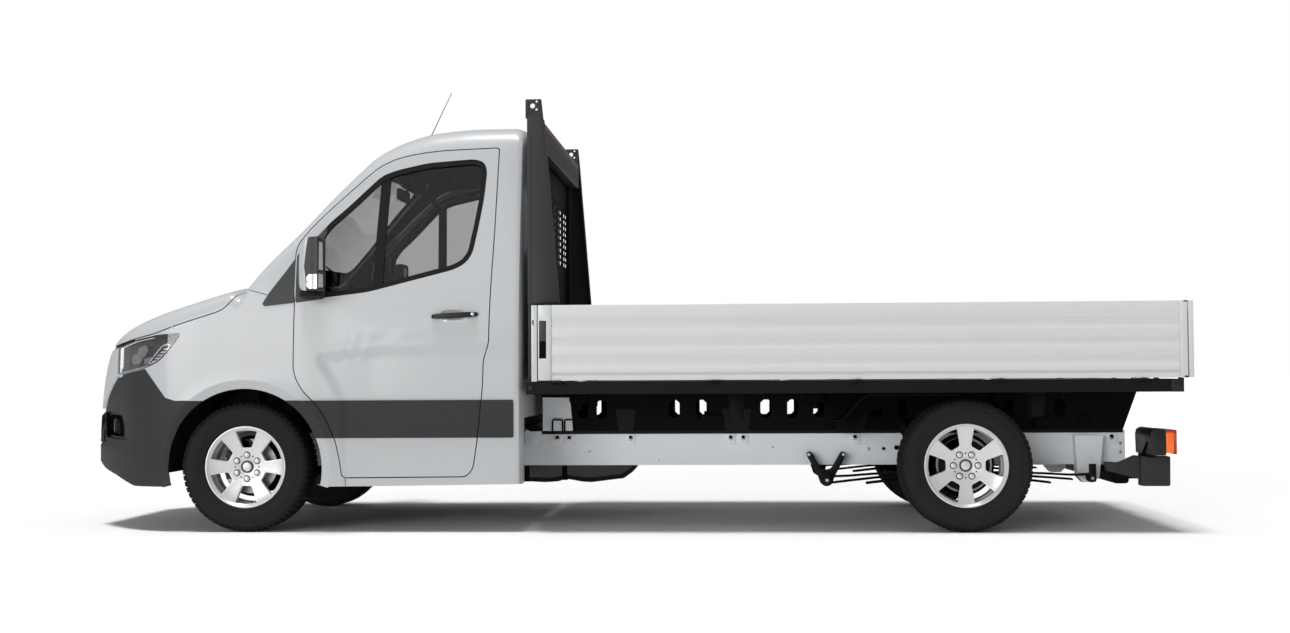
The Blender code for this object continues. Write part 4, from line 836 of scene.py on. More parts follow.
def makeDoorGlass(s):
    k = sides[s]
    body = f"door_{s}"
    seal = sideSheet(f"window_{s}_seal", windowShape, k, "rubberSeal", out=-0.002, wall=0.026, cells=(70, 60))
    cutWith(seal, sideTool(windowInside(doorTrim["seal"]), k, 0.3))
    place(seal, body, "dark_plastic")
    divider = sideSheet(f"window_{s}_divider", doorTrim["divider"], k, "rubberSeal", out=-0.006, wall=0.02,
                        cells=(6, 60))
    cutWith(divider, sideTool(windowInside(doorTrim["seal"] - 0.002), k, 0.3), operation="INTERSECT")
    place(divider, body, "dark_plastic")
    glass = sideSheet(f"window_{s}_glass", windowInside(doorTrim["seal"] - 0.006), k, "cabGlass",
                      out=-doorTrim["glassIn"], wall=doorTrim["glassWall"], cells=(40, 40))
    place(glass, body, "glass", f"door_glass_{s}")
    triangle = sideSheet(f"triangle_{s}", rounded(triangleOutline, 0.008, 3), k, "latchGrey", out=0.003, wall=0.006,
                         cells=(30, 30))
    softenEdges(triangle, 0.002)
    place(triangle, "chassis", "dark_plastic")
    corner = sideSheet(f"corner_{s}", rounded(cornerOutline, 0.01, 3), k, "latchGrey", out=0.003, wall=0.006,
                       cells=(30, 40))
    cutWith(corner, sideTool(windowInside(doorTrim["seal"]), k, 0.3))
    softenEdges(corner, 0.0015)
    place(corner, body, "dark_plastic")


# Dark strip along the side, on the fender, door and cab, with the flare behind the wheel
strip = dict(low=0.515, high=0.720, proud=0.010, wall=0.012)


def makeStrip(s):
    k = sides[s]
    whole = [(0.05, strip["high"]), (1.487, strip["high"]), (1.487, strip["low"]), (0.05, strip["low"])]
    lane = rounded(whole, 0.008, 2)
    doorBand = sideSheet(f"door_{s}_strip", lane, k, "darkPlastic", out=strip["proud"], wall=strip["wall"],
                         cells=(90, 12))
    cutWith(doorBand, sideTool(doorShape, k), operation="INTERSECT")
    softenEdges(doorBand, 0.003)
    place(doorBand, f"door_{s}", "dark_plastic")
    rearLane = rounded([(1.10, strip["high"]), *whole[1:3], (1.10, strip["low"])], [0, .008, .008, 0], 2)
    rearBand = sideSheet(f"sill_{s}_strip", rearLane, k, "darkPlastic", out=strip["proud"], wall=strip["wall"],
                         cells=(30, 12))
    cutWith(rearBand, sideTool(offset(doorShape, gap["shut"]), k))
    softenEdges(rearBand, 0.003)
    place(rearBand, "chassis", "dark_plastic")
    frontLane = [(0.05, strip["high"]), (0.60, strip["high"]), (0.60, strip["low"]), (0.05, strip["low"])]
    flare = sideSheet(f"fender_{s}_strip", frontLane, k, "darkPlastic", out=strip["proud"], wall=strip["wall"],
                      cells=(40, 20))
    cutWith(flare, archTool(k, radius=arch["outer"], inner=0.3), sideTool(offset(doorShape, gap["shut"]), k))
    softenEdges(flare, 0.003)
    place(flare, "chassis", "dark_plastic")


def makeArchBand(s):
    k = sides[s]
    reach = np.linspace(arch["outer"] + 0.0005, arch["inner"], arch["across"])
    level = {z: np.arcsin((z - axleZ) / reach) for z in (0.514, 0.516, 0.719, 0.721)}
    start, end = (np.full(len(reach), math.radians(arch[key])) for key in ("start", "end"))
    for name, finish, slotName, low, high in (
            ("paint", "cabPaint", "cab_paint", level[0.721], math.pi - level[0.721]),
            ("sill", "cabPaint", "cab_paint", start, level[0.514]),
            ("front", "darkPlastic", "dark_plastic", math.pi - level[0.719], end),
            ("rear", "darkPlastic", "dark_plastic", level[0.516], level[0.719])):
        mesh = bmesh.new()
        rows = []
        for t in np.linspace(0, 1, arch["steps"]):
            angle = low + (high - low) * t
            x, z = reach * np.cos(angle), axleZ + reach * np.sin(angle)
            depth = arch["turnIn"] * np.clip((arch["outer"] - reach) / (arch["outer"] - arch["inner"]), 0, 1) ** 1.3
            y = sideAt(x, z) + sideLift(x, z) - depth + (strip["proud"] * 0.6 if name == "rear" else 0.0)
            rows.append([mesh.verts.new((x[i], k * y[i], z[i])) for i in range(len(reach))])
        for one, two in zip(rows, rows[1:]):
            for i in range(len(reach) - 1):
                mesh.faces.new((one[i], one[i + 1], two[i + 1], two[i]))
        mesh.normal_update()
        if sum(f.normal.y for f in mesh.faces) * k < 0:
            bmesh.ops.reverse_faces(mesh, faces=mesh.faces)
        shift(mesh)
        band = newObject(f"arch_{s}_{name}", mesh, finish)
        step = band.modifiers.new("wall", "SOLIDIFY")
        step.thickness, step.offset = arch["wall"], -1
        settle(band)
        place(band, "chassis", slotName)


# Door handle: a dark bar over the dish, with a pale lock dot at its rear
handle = dict(x=(1.040, 1.292), z=(1.166, 1.196), out=0.030, thick=0.018, lock=(1.268, 1.183), lockRound=0.009)


def makeHandle(s):
    k = sides[s]
    mesh = bmesh.new()
    low = onSide(1.16, 1.18) + handle["out"] - handle["thick"]
    addBox(mesh, handle["x"], span(k, low, low + handle["thick"]), handle["z"])
    bmesh.ops.subdivide_edges(mesh, edges=[e for e in mesh.edges if abs(e.verts[0].co.x - e.verts[1].co.x) > 0.1],
                              cuts=8, use_grid_fill=True)
    for vert in mesh.verts:
        t = (vert.co.x - handle["x"][0]) / (handle["x"][1] - handle["x"][0])
        bend = 0.013 * (2 * t - 1) ** 4
        vert.co.y -= k * bend
        vert.co.z += 0.012 * (t - 0.5) + (vert.co.z - 1.181) * -0.35 * (2 * t - 1) ** 4
    addBox(mesh, (1.050, 1.080), span(k, low - 0.028, low + 0.004), (1.166, 1.184), 0.002)
    addBox(mesh, (1.240, 1.285), span(k, low - 0.028, low + 0.004), (1.176, 1.198), 0.002)
    finishMesh(f"door_{s}_handle", mesh, "smoothPlastic", f"door_{s}", "dark_plastic", bevel=0.004, segments=3)
    if s == "left":
        lock = bmesh.new()
        x, z = handle["lock"]
        addRod(lock, (x, k * (low + 0.006), z + 0.004), (x, k * (low + handle["thick"] + 0.0005), z + 0.004),
               handle["lockRound"], 24, bevel=0.001)
        # The lock dot's lampSilver finish glows faintly: a painted highlight
        finishMesh("door_left_lock", lock, "lampSilver", "door_left", "lamp_lens")


# Windscreen with its black border, and the rear window
def makeScreens():
    glass = skin("screenGlass", (0.0, 0.76), (1.2, 4.8), (50, 80), "cabGlass", inset=0.006, wall=0.006)
    cutWith(glass, prismTool(offset(screenShape, -0.0005), "x", 0.02, 0.85), operation="INTERSECT")
    place(glass, "chassis", "glass", "windscreen")
    border = skin("screenBorder", (0.0, 0.76), (1.2, 4.8), (50, 80), "rubberSeal", inset=0.013, wall=0.002)
    cutWith(border, prismTool(offset(screenShape, -0.001), "x", 0.02, 0.85), operation="INTERSECT")
    hole = rounded([(-0.79, 1.53), (0.79, 1.53), (0.625, 2.055), (-0.625, 2.055)], [0.06, 0.06, 0.08, 0.08], 5)
    cutWith(border, prismTool(hole, "x", -0.05, 0.9))
    place(border, "chassis", "dark_plastic")
    rear = dict(x=(1.500, 1.506), border=0.03)
    mesh = bmesh.new()
    addPrism(mesh, offset(rearShape, -0.001), "x", *rear["x"])
    finishMesh("rearGlass", mesh, "cabGlass", "chassis", "glass", "rear_window")
    mesh = bmesh.new()
    addPrism(mesh, offset(rearShape, 0.002), "x", 1.492, 1.515)
    shift(mesh)
    seal = newObject("rearGlassSeal", mesh, "rubberSeal")
    cutWith(seal, prismTool(offset(rearShape, -rear["border"]), "x", 1.40, 1.60))
    place(seal, "chassis", "dark_plastic")
    print("glass: built")


makeCabBody()
makeBonnet()
for s in sides:
    makeFender(s)
    makeDoor(s)
    makeDoorGlass(s)
    makeStrip(s)
    makeArchBand(s)
    makeHandle(s)
makeScreens()


# Nose: bumper with its lip, intake and fog recesses, the pale surround with slats, and the headlamps
nose = dict(
    opening=[(-0.40, 0.735), (0.40, 0.735), (0.47, 0.80), (0.46, 0.955), (-0.46, 0.955), (-0.47, 0.80)],
    slats=[(0.755, 0.778), (0.808, 0.838), (0.868, 0.898), (0.925, 0.942)], slatIn=0.010, backIn=0.070,
    lip=dict(deep=0.020, z=(0.462, 0.488), fade=(-0.84, -0.66)),
    intake=[(-0.42, 0.385), (0.42, 0.385), (0.46, 0.45), (0.42, 0.515), (-0.42, 0.515), (-0.46, 0.45)],
    fog=[(-0.960, 0.655), (-0.806, 0.657), (-0.780, 0.648), (-0.749, 0.602), (-0.710, 0.504), (-0.736, 0.496),
         (-0.952, 0.506)],
    fogHole=[(-0.952, 0.638), (-0.800, 0.638), (-0.775, 0.585), (-0.770, 0.515), (-0.948, 0.520)],
    plate=dict(y=0.26, z=(0.552, 0.662)))


def frontSkin(name, finish, inset=0.0, wall=0.03, x=(-1.004, -0.20), v=(0, 6), cells=(70, 150), ease=1.9, dent=None):
    return skin(name, x, v, cells, finish, inset, wall, ease, closeFront=v == (0, 6), dent=dent)


def bumperDent(x, z):
    # Above its lip the bumper stands back, fading out along the side
    lip = nose["lip"]
    return lip["deep"] * ramp(z, *lip["z"]) * (1 - ramp(x, *lip["fade"])) * (1 - ramp(z, 0.66, 0.74) * 0.4)


def makeBumper():
    shape = rounded(bumperOutline, [0, 0, 0.02, 0.05, 0.05, 0.04, 0, 0], 4)
    bumper = frontSkin("bumperSkin", "darkPlastic", wall=0.02, cells=(90, 190), dent=bumperDent)
    cutWith(bumper, bothTool(shape), operation="INTERSECT")
    cutWith(bumper, prismTool(offset(noseOutline, gap["join"]), "x", -1.3, -0.4))
    cutWith(bumper, *[sideTool(offset(lampShape, gap["join"]), k, lampInner - gap["join"] - 0.01) for k in (-1, 1)])
    cutWith(bumper, archTool(-1, radius=arch["outer"]), archTool(1, radius=arch["outer"]))
    cutWith(bumper, prismTool(rounded(nose["intake"], 0.03), "x", -1.3, -0.85))
    fogShape = rounded(nose["fog"], [0.02, 0.02, 0.02, 0.03, 0.02, 0.02, 0.02], 4)
    cutWith(bumper, *[sideTool(fogShape, k, 0.45) for k in (-1, 1)])
    for s, k in sides.items():
        v = (0, 2.6) if k < 0 else (3.4, 6)
        facet = frontSkin(f"fog_{s}_facet", "darkPlastic", inset=0.021, wall=0.006, x=(-1.0, -0.33), v=v,
                          cells=(90, 110),
                          ease=1.6, dent=bumperDent)
        cutWith(facet, sideTool(offset(fogShape, 0.004), k, 0.45), operation="INTERSECT")
        cutWith(facet, sideTool(rounded(nose["fogHole"], 0.018, 4), k, 0.45))
        place(facet, "chassis", "dark_plastic")
        pit = frontSkin(f"fog_{s}_pit", "linerBlack", inset=0.075, wall=0.004, x=(-0.99, -0.33), v=v, cells=(70, 90),
                        ease=1.6, dent=bumperDent)
        cutWith(pit, sideTool(offset(nose["fogHole"], 0.03), k, 0.40), operation="INTERSECT")
        place(pit, "chassis", "dark_plastic")
    softenEdges(bumper, 0.002)
    place(bumper, "chassis", "dark_plastic", "front_bumper")
    behind = bmesh.new()
    addBox(behind, (-0.945, -0.925), (-0.47, 0.47), (0.375, 0.525), 0.004)
    finishMesh("bumperRecess", behind, "linerBlack", "chassis", "dark_plastic")
    grid = bmesh.new()
    for i in range(5):
        z = 0.405 + i * 0.0235
        addBox(grid, (-0.992, -0.965), (-0.44, 0.44), (z, z + 0.007), 0.002)
    for i in range(17):
        y = -0.40 + i * 0.05
        addBox(grid, (-0.985, -0.962), (y - 0.003, y + 0.003), (0.392, 0.508), 0.001)
    finishMesh("intakeGrid", grid, "smoothPlastic", "chassis", "dark_plastic")
    plate = bmesh.new()
    addBox(plate, (-0.9870, -0.976), (-nose["plate"]["y"], nose["plate"]["y"]), nose["plate"]["z"], 0.003, 2)
    finishMesh("plateBack", plate, "smoothPlastic", "chassis", "dark_plastic")
    for s, k in sides.items():
        eye = bmesh.new()
        spot = (-0.868, k * 0.640, 0.578)
        addRod(eye, spot, (spot[0] + 0.03, spot[1] - k * 0.012, spot[2]), 0.036, 32, bevel=0.004)
        finishMesh(f"fog_{s}_lens", eye, "lampSilver", "chassis", "lamp_lens")
        ring = bmesh.new()
        addRod(ring, (spot[0] + 0.002, spot[1], spot[2]), (spot[0] + 0.035, spot[1] - k * 0.012, spot[2]), 0.046, 32,
               bevel=0.005)
        finishMesh(f"fog_{s}_ring", ring, "smoothPlastic", "chassis", "dark_plastic")


def makeNose():
    surround = frontSkin("noseSurround", "cabPaint", x=(-1.004, -0.6), wall=0.025)
    cutWith(surround, prismTool(noseOutline, "x", -1.3, -0.6), operation="INTERSECT")
    cutWith(surround, bothTool([(-1.2, 1.004), (-0.957, 1.009), (-0.857, 1.007), (-0.74, 1.036), (-0.60, 1.07),
                                (-0.5, 1.5),
                                (-1.2, 1.5)]))
    cutWith(surround, prismTool(rounded(nose["opening"], 0.03, 5), "x", -1.3, -0.5))
    softenEdges(surround, 0.004)
    place(surround, "chassis", "cab_paint", "grille")
    inside = offset(nose["opening"], 0.01)
    back = frontSkin("noseBack", "linerBlack", inset=nose["backIn"], wall=0.006, x=(-1.0, -0.6), cells=(50, 100))
    cutWith(back, prismTool(inside, "x", -1.3, -0.6), operation="INTERSECT")
    place(back, "chassis", "dark_plastic")
    slats = frontSkin("noseSlats", "smoothPlastic", inset=nose["slatIn"], wall=0.035, x=(-1.003, -0.6),
                      cells=(80, 120))
    cutWith(slats, prismTool(offset(nose["opening"], 0.004), "x", -1.3, -0.6), operation="INTERSECT")
    mesh = bmesh.new()
    edges = [0.70] + [z for slat in nose["slats"] for z in slat] + [1.05]
    for low, high in zip(edges[::2], edges[1::2]):
        addBox(mesh, (-1.3, -0.5), (-0.6, 0.6), (low, high))
    shift(mesh)
    cutWith(slats, newObject("tool", mesh))
    softenEdges(slats, 0.003)
    place(slats, "chassis", "dark_plastic")
    seal = frontSkin("bonnetSeal", "rubberSeal", inset=0.008, wall=0.006, x=(-1.0, -0.33), cells=(90, 140), ease=1.6)
    cutWith(seal, bothTool(gapOutline), operation="INTERSECT")
    place(seal, "chassis", "dark_plastic")
    print("nose: built")


lamp = dict(
    band=[(-1.1, 0.868), (-1.1, 1.2), (-0.40, 1.2), (-0.43, 1.078), (-0.563, 1.059), (-0.650, 1.042), (-0.716, 1.014),
          (-0.748, 0.980), (-0.761, 0.930), (-0.784, 0.880), (-0.790, 0.868)],
    lip=[(-0.81, 0.866), (-0.755, 0.893), (-0.72, 0.902), (-0.64, 0.906), (-0.585, 0.914), (-0.555, 0.922),
         (-0.575, 0.898),
         (-0.70, 0.874), (-0.80, 0.850)],
    shades=[[(-0.690, 0.925), (-0.640, 0.925), (-0.615, 0.965), (-0.665, 0.985), (-0.700, 0.965)],
            [(-0.655, 0.985), (-0.605, 0.965), (-0.575, 1.000), (-0.590, 1.030), (-0.640, 1.020)],
            [(-0.600, 0.925), (-0.565, 0.930), (-0.545, 0.965), (-0.600, 0.955)]],
    capsule=[(-0.566, 0.930), (-0.478, 1.026), (-0.441, 1.037), (-0.424, 1.030), (-0.455, 0.985), (-0.508, 0.941),
             (-0.545, 0.925)],
    bars=[(-0.540, 0.945), (-0.522, 0.962), (-0.504, 0.979), (-0.486, 0.996), (-0.466, 1.013)],
    eye=dict(spot=(-0.735, 0.720, 0.955), round=0.034))


def makeHeadlamp(s):
    k = sides[s]
    v = (0, 2.6) if k < 0 else (3.4, 6)
    patch = dict(x=(-1.0, -0.33), v=v, cells=(90, 110), ease=1.6)
    lens = frontSkin(f"lamp_{s}_lens", "lampGlass", wall=0.004, **patch)
    cutWith(lens, sideTool(lampShape, k, lampInner), operation="INTERSECT")
    place(lens, "chassis", "lamp_lens", f"headlamp_{s}")
    tub = frontSkin(f"lamp_{s}_tub", "smoothPlastic", inset=0.0045, wall=0.060, **patch)
    cutWith(tub, sideTool(offset(lampShape, -0.0005), k, lampInner + 0.0005), operation="INTERSECT")
    hollow = frontSkin("tool", "smoothPlastic", inset=-0.02, wall=0.068, **patch)
    cutWith(hollow, sideTool(offset(lampShape, -0.006), k, lampInner + 0.005), operation="INTERSECT")
    cutWith(tub, hollow)
    place(tub, "chassis", "dark_plastic")
    ring = rounded(lamp["capsule"], 0.008, 3)
    parts = [("band", rounded(lamp["band"], [0, 0, 0, .01, .03, .03, .03, .03, .03, .01, 0], 4), 0.010, 0.012,
              "lampBand"),
             ("lip", rounded(lamp["lip"], 0.01, 3), 0.008, 0.010, "lampSilver")]
    parts += [(f"shade_{i}", shade, 0.030 - 0.004 * i, 0.012, "lampGrey") for i, shade in enumerate(lamp["shades"])]
    # Band, lip and shades take finishes that glow faintly: painted light inside the lamp
    for name, outline, inset, wall, finish in parts:
        part = frontSkin(f"lamp_{s}_{name}", finish, inset=inset, wall=wall, **patch)
        cutWith(part, sideTool(outline, k, 0.4), operation="INTERSECT")
        cutWith(part, sideTool(offset(lampShape, -0.010), k, lampInner + 0.006), operation="INTERSECT")
        softenEdges(part, 0.0015)
        place(part, "chassis", "lamp_lens")
    turn = frontSkin(f"lamp_{s}_indicator", "lampSilver", inset=0.012, wall=0.008, **patch)
    cutWith(turn, sideTool(ring, k, 0.4), operation="INTERSECT")
    cutWith(turn, sideTool(offset(ring, -0.004), k, 0.4))
    place(turn, "chassis", "lamp_lens")
    rungs = frontSkin(f"lamp_{s}_bars", "lampSilver", inset=0.014, wall=0.006, **patch)
    mesh = bmesh.new()
    for x, z in lamp["bars"]:
        addPrism(mesh, [(x, z - 0.010), (x + 0.026, z - 0.006), (x + 0.026, z), (x, z - 0.004)], "y",
                 *span(k, 0.5, 1.2))
    shift(mesh)
    cutWith(rungs, newObject("tool", mesh), operation="INTERSECT")
    place(rungs, "chassis", "lamp_lens")
    eye = lamp["eye"]
    mesh = bmesh.new()
    x, y, z = eye["spot"]
    for i, dx in enumerate((0, 0.085)):
        ball = bmesh.ops.create_uvsphere(mesh, u_segments=32, v_segments=16, radius=eye["round"] - 0.006 * i)
        bmesh.ops.scale(mesh, vec=(0.7, 1, 1), verts=ball["verts"])
        bmesh.ops.translate(mesh, vec=(x + dx, k * (y + 0.060 * i), z + 0.008 * i), verts=ball["verts"])
    finishMesh(f"lamp_{s}_eyes", mesh, "lampGrey", "chassis", "lamp_lens")


makeBumper()
makeNose()
for s in sides:
    makeHeadlamp(s)
print("headlamps: built")


# Wheels: a spun carcass with blocks of tread, and a rim with six flat spokes
wheelShape = dict(
    centre=0.866, turns=96, blocks=64,
    side=[(0.0990, 0.2260), (0.1035, 0.2285), (0.1075, 0.2325), (0.1095, 0.2335), (0.1105, 0.2375), (0.1095, 0.2395),
          (0.1135, 0.2500), (0.1158, 0.2680), (0.1168, 0.2690), (0.1176, 0.2820), (0.1176, 0.2960), (0.1166, 0.2972),
          (0.1148, 0.3110), (0.1150, 0.3122), (0.1118, 0.3240), (0.1080, 0.3340), (0.1010, 0.3425), (0.0880, 0.3470),
          (0.0450, 0.3488)],
    inner=[(0.0935, 0.2260), (0.1000, 0.2600), (0.0980, 0.3050), (0.0840, 0.3330), (0.0400, 0.3390)],
    ribs=[(-0.0600, -0.0245, 0.35), (-0.0155, 0.0155, 0.0), (0.0245, 0.0600, 0.65)],
    shoulder=[(0.0700, 0.3475), (0.0700, 0.3553), (0.0960, 0.3525), (0.1065, 0.3455), (0.1110, 0.3330),
              (0.1085, 0.3320),
              (0.1000, 0.3410), (0.0860, 0.3465)],
    face=[(0.0000, 0.064), (0.0422, 0.064), (0.0485, 0.066), (0.1002, 0.071), (0.1582, 0.079), (0.2004, 0.087),
          (0.2105, 0.093)],
    rest=[(0.1005, 0.2147), (0.1030, 0.2179), (0.1030, 0.2237), (0.1015, 0.2247), (0.0985, 0.2245), (0.0970, 0.2221),
          (0.0950, 0.2168), (0.0930, 0.2152), (0.0680, 0.2144), (0.0560, 0.2136), (0.0300, 0.2015), (-0.0500, 0.2004),
          (-0.0640, 0.2131), (-0.0930, 0.2149), (-0.0970, 0.2221), (-0.0985, 0.2245), (-0.1030, 0.2237),
          (-0.1030, 0.2179),
          (-0.0980, 0.2121), (-0.0640, 0.2073), (-0.0500, 0.1952), (0.0200, 0.1952), (0.0360, 0.2068),
          (0.0660, 0.2073),
          (0.0620, 0.2036), (0.0520, 0.1952), (0.0480, 0.1582), (0.0440, 0.1034), (0.0215, 0.0823), (0.0215, 0.0000)],
    window=[(0.1055, 0.0222), (0.1055, -0.0222), (0.1118, -0.0290), (0.1899, -0.0591), (0.1952, -0.0586),
            (0.2010, -0.0211),
            (0.2020, 0.0000), (0.2010, 0.0211), (0.1952, 0.0586), (0.1899, 0.0591), (0.1118, 0.0290)],
    nuts=dict(ring=0.0656, round=0.0150, pocket=0.0192), dots=dict(ring=0.0656, round=0.0046))


def turned(points, angle, x):
    # Points (out from the wheel's middle, across) turned about the wheel's axis, as (x, z)
    c, s = math.cos(angle), math.sin(angle)
    return [(x + r * s + a * c, axleZ + r * c - a * s) for r, a in points]


def makeTyre(name, x, k, body):
    half = wheelShape["side"]
    profile = half + [(-a, r) for a, r in half[::-1]] + [(-a, r) for a, r in wheelShape["inner"]]
    profile += wheelShape["inner"][::-1]
    mesh = bmesh.new()
    addSpin(mesh, profile, (x, k * wheelShape["centre"], axleZ), wheelShape["turns"], k)
    finishMesh(f"{name}_carcass", mesh, "tyreRubber", body, "tyre", f"tyre_{name}", smooth=38)
    tread = bmesh.new()
    pitch = math.tau / wheelShape["blocks"]
    length = pitch * 0.3555
    middle = k * wheelShape["centre"]
    for low, high, phase in wheelShape["ribs"]:
        verts = addBox(tread, (x - length * 0.43, x + length * 0.43), (middle + low, middle + high),
                       (axleZ + 0.3470, axleZ + 0.3556), 0.0012, 1)
        bmesh.ops.rotate(tread, verts=verts, cent=(x, 0, axleZ), matrix=Matrix.Rotation(phase * pitch, 3, "Y"))
    for way, phase in ((-1, 0.2), (1, 0.7)):
        outline = [(middle + way * a, axleZ + r) for a, r in wheelShape["shoulder"]]
        verts = addPrism(tread, outline, "x", x - length * 0.38, x + length * 0.38)
        bmesh.ops.rotate(tread, verts=verts, cent=(x, 0, axleZ), matrix=Matrix.Rotation(phase * pitch, 3, "Y"))
    bmesh.ops.spin(tread, geom=tread.verts[:] + tread.edges[:] + tread.faces[:], cent=(x, middle, axleZ),
                   axis=(0, 1, 0),
                   angle=math.tau - pitch, steps=wheelShape["blocks"] - 1, use_duplicate=True)
    finishMesh(f"{name}_tread", tread, "treadRubber", body, "tyre", smooth=20)


def makeRim(name, x, k, body):
    turn = math.radians(30 if x > 1 else 0)
    centre = (x, k * wheelShape["centre"], axleZ)
    profile = [(a, r) for r, a in wheelShape["face"]] + wheelShape["rest"]
    mesh = bmesh.new()
    addSpin(mesh, profile, centre, wheelShape["turns"], k, close=False)
    bmesh.ops.remove_doubles(mesh, verts=mesh.verts, dist=0.00002)
    bmesh.ops.recalc_face_normals(mesh, faces=mesh.faces)
    shift(mesh)
    rim = newObject(f"{name}_rim", mesh, "wheelSilver")
    gaps = bmesh.new()
    low, high = span(k, wheelShape["centre"] + 0.0370, wheelShape["centre"] + 0.13)
    for i in range(6):
        window = turned(wheelShape["window"], turn + i * math.tau / 6, x)
        addPrism(gaps, rounded(window, 0.004, 2), "y", low, high)
    shift(gaps)
    cutWith(rim, newObject("tool", gaps))
    softenEdges(rim, 0.0022, 2, 50)
    pockets = bmesh.new()
    nuts, dots = wheelShape["nuts"], wheelShape["dots"]
    for i in range(6):
        for ring, size, angle, floor in ((nuts["ring"], nuts["pocket"], turn + i * math.tau / 6, 0.0600),
                                         (dots["ring"], dots["round"], turn + (i + 0.5) * math.tau / 6, 0.0560)):
            (px, pz), = turned([(ring, 0)], angle, x)
            addRod(pockets, (px, centre[1] + k * floor, pz), (px, centre[1] + k * 0.12, pz), size, 28)
    shift(pockets)
    cutWith(rim, newObject("tool", pockets))
    place(rim, body, "alloy", f"rim_{name}")
    bolts, cap, trim, shade = bmesh.new(), bmesh.new(), bmesh.new(), bmesh.new()
    for i in range(6):
        (px, pz), = turned([(nuts["ring"], 0)], turn + i * math.tau / 6, x)
        addRod(bolts, (px, centre[1] + k * 0.055, pz), (px, centre[1] + k * 0.0745, pz), nuts["round"], 6,
               bevel=0.0015)
        addRod(bolts, (px, centre[1] + k * 0.055, pz), (px, centre[1] + k * 0.0765, pz), 0.0108, 24, bevel=0.003)
        # Dark discs on the floor of each nut's pocket and in each small dot hole: painted shade of these recesses
        addRod(shade, (px, centre[1] + k * 0.0595, pz), (px, centre[1] + k * 0.0612, pz), nuts["pocket"] - 0.0002, 28)
        (px, pz), = turned([(dots["ring"], 0)], turn + (i + 0.5) * math.tau / 6, x)
        addRod(shade, (px, centre[1] + k * 0.0555, pz), (px, centre[1] + k * 0.0640, pz), dots["round"] - 0.0002, 20)
        for across in (1, -1):
            line = [(0.0844, across * 0.0253), (0.1066, across * 0.0364), (0.1878, across * 0.0686),
                    (0.2026, across * 0.0675)]
            inside = [(r, a - across * 0.0016) for r, a in line]
            spots = turned(line + inside[::-1], turn + i * math.tau / 6, x)
            outs = np.interp([math.hypot(*p) for p in line + inside[::-1]], [r for r, a in wheelShape["face"]],
                             [a for r, a in wheelShape["face"]])
            top = [trim.verts.new((px, centre[1] + k * (a + 0.0011), pz)) for (px, pz), a in zip(spots, outs)]
            base = [trim.verts.new((px, centre[1] + k * (a - 0.0030), pz)) for (px, pz), a in zip(spots, outs)]
            trim.faces.new(top)
            trim.faces.new(base[::-1])
            for a in range(len(top)):
                b = (a + 1) % len(top)
                trim.faces.new((top[a], base[a], base[b], top[b]))
    finishMesh(f"{name}_nuts", bolts, "wheelSilver", body, "alloy")
    finishMesh(f"{name}_lines", trim, "wheelSilver", body, "alloy")
    # The cap's dark ring goes in the same dark piece as the painted pocket shade
    addSpin(shade, [(0.060, 0.0255), (0.0712, 0.0255), (0.0724, 0.0285), (0.0712, 0.0335), (0.060, 0.0335)], centre,
            60, k)
    finishMesh(f"{name}_pockets", shade, "latchGrey", body, "alloy")
    addSpin(cap, [(0.060, 0.0), (0.0700, 0.0), (0.0700, 0.020), (0.0690, 0.0240), (0.060, 0.0250)], centre, 60, k,
            close=False)
    finishMesh(f"{name}_cap", cap, "wheelSilver", body, "alloy")
    valve = bmesh.new()
    (vx, vz), = turned([(0.193, 0.0)], turn + math.radians(172), x)
    addRod(valve, (vx, centre[1] + k * 0.048, vz), (vx, centre[1] + k * 0.084, vz), 0.0042, 12, bevel=0.001)
    finishMesh(f"{name}_valve", valve, "rubberSeal", body, "tyre")


for s, k in sides.items():
    makeTyre(f"front_{s}", 0.0, k, f"wheel_front_{s}")
    makeTyre(f"rear_{s}", wheelbase, k, f"wheel_rear_{s}")
    makeRim(f"front_{s}", 0.0, k, f"wheel_front_{s}")
    makeRim(f"rear_{s}", wheelbase, k, f"wheel_rear_{s}")
print("wheels: built")


# Load bed: fluted boards with their end profiles and latches, stakes, rails, hinges and floor
boards = dict(
    inner=1.0352, thick=0.0246, low=0.8236, top=1.2297, front=1.6325, rear=5.0715, frontEnd=1.699, rearEnd=5.030,
    flutes=[(0.956, 0.898), (1.053, 0.999), (1.160, 1.096)], deep=0.0055, hinge=0.815, axis=1.062,
    pins=(1.723, 2.568, 3.330, 4.083, 4.828), latch=dict(x=(1.638, 1.677), z=(0.942, 1.146)))


def boardSection():
    # Section of a board as (out from its inner face, height)
    t, low, top, deep = boards["thick"], boards["low"], boards["top"], boards["deep"]
    face = [(t - 0.0025, low), (t - 0.0025, 0.8510), (t - 0.0085, 0.8520), (t - 0.0085, 0.8545), (t - 0.0035, 0.8555),
            (t - 0.0035, 0.8590), (t - 0.0085, 0.8600), (t - 0.0085, 0.8625), (t, 0.8640)]
    for high, lower in boards["flutes"]:
        face += [(t, lower - 0.006), (t - deep, lower + 0.012), (t - deep, high - 0.009), (t, high + 0.001)]
    face += [(t, top), (0, top), (0, 1.21), (0.002, 1.205), (0.002, 0.85), (0, 0.845), (0, low)]
    radii = [0.001, 0.001, 0.0005, 0.0005, 0.001, 0.001, 0.0005, 0.0005, 0.002] + [0.007, 0.006, 0.004, 0.004] * 3
    return rounded(face, radii + [0.003, 0.003, 0.001, 0.001, 0.001, 0.001, 0.001], 3)


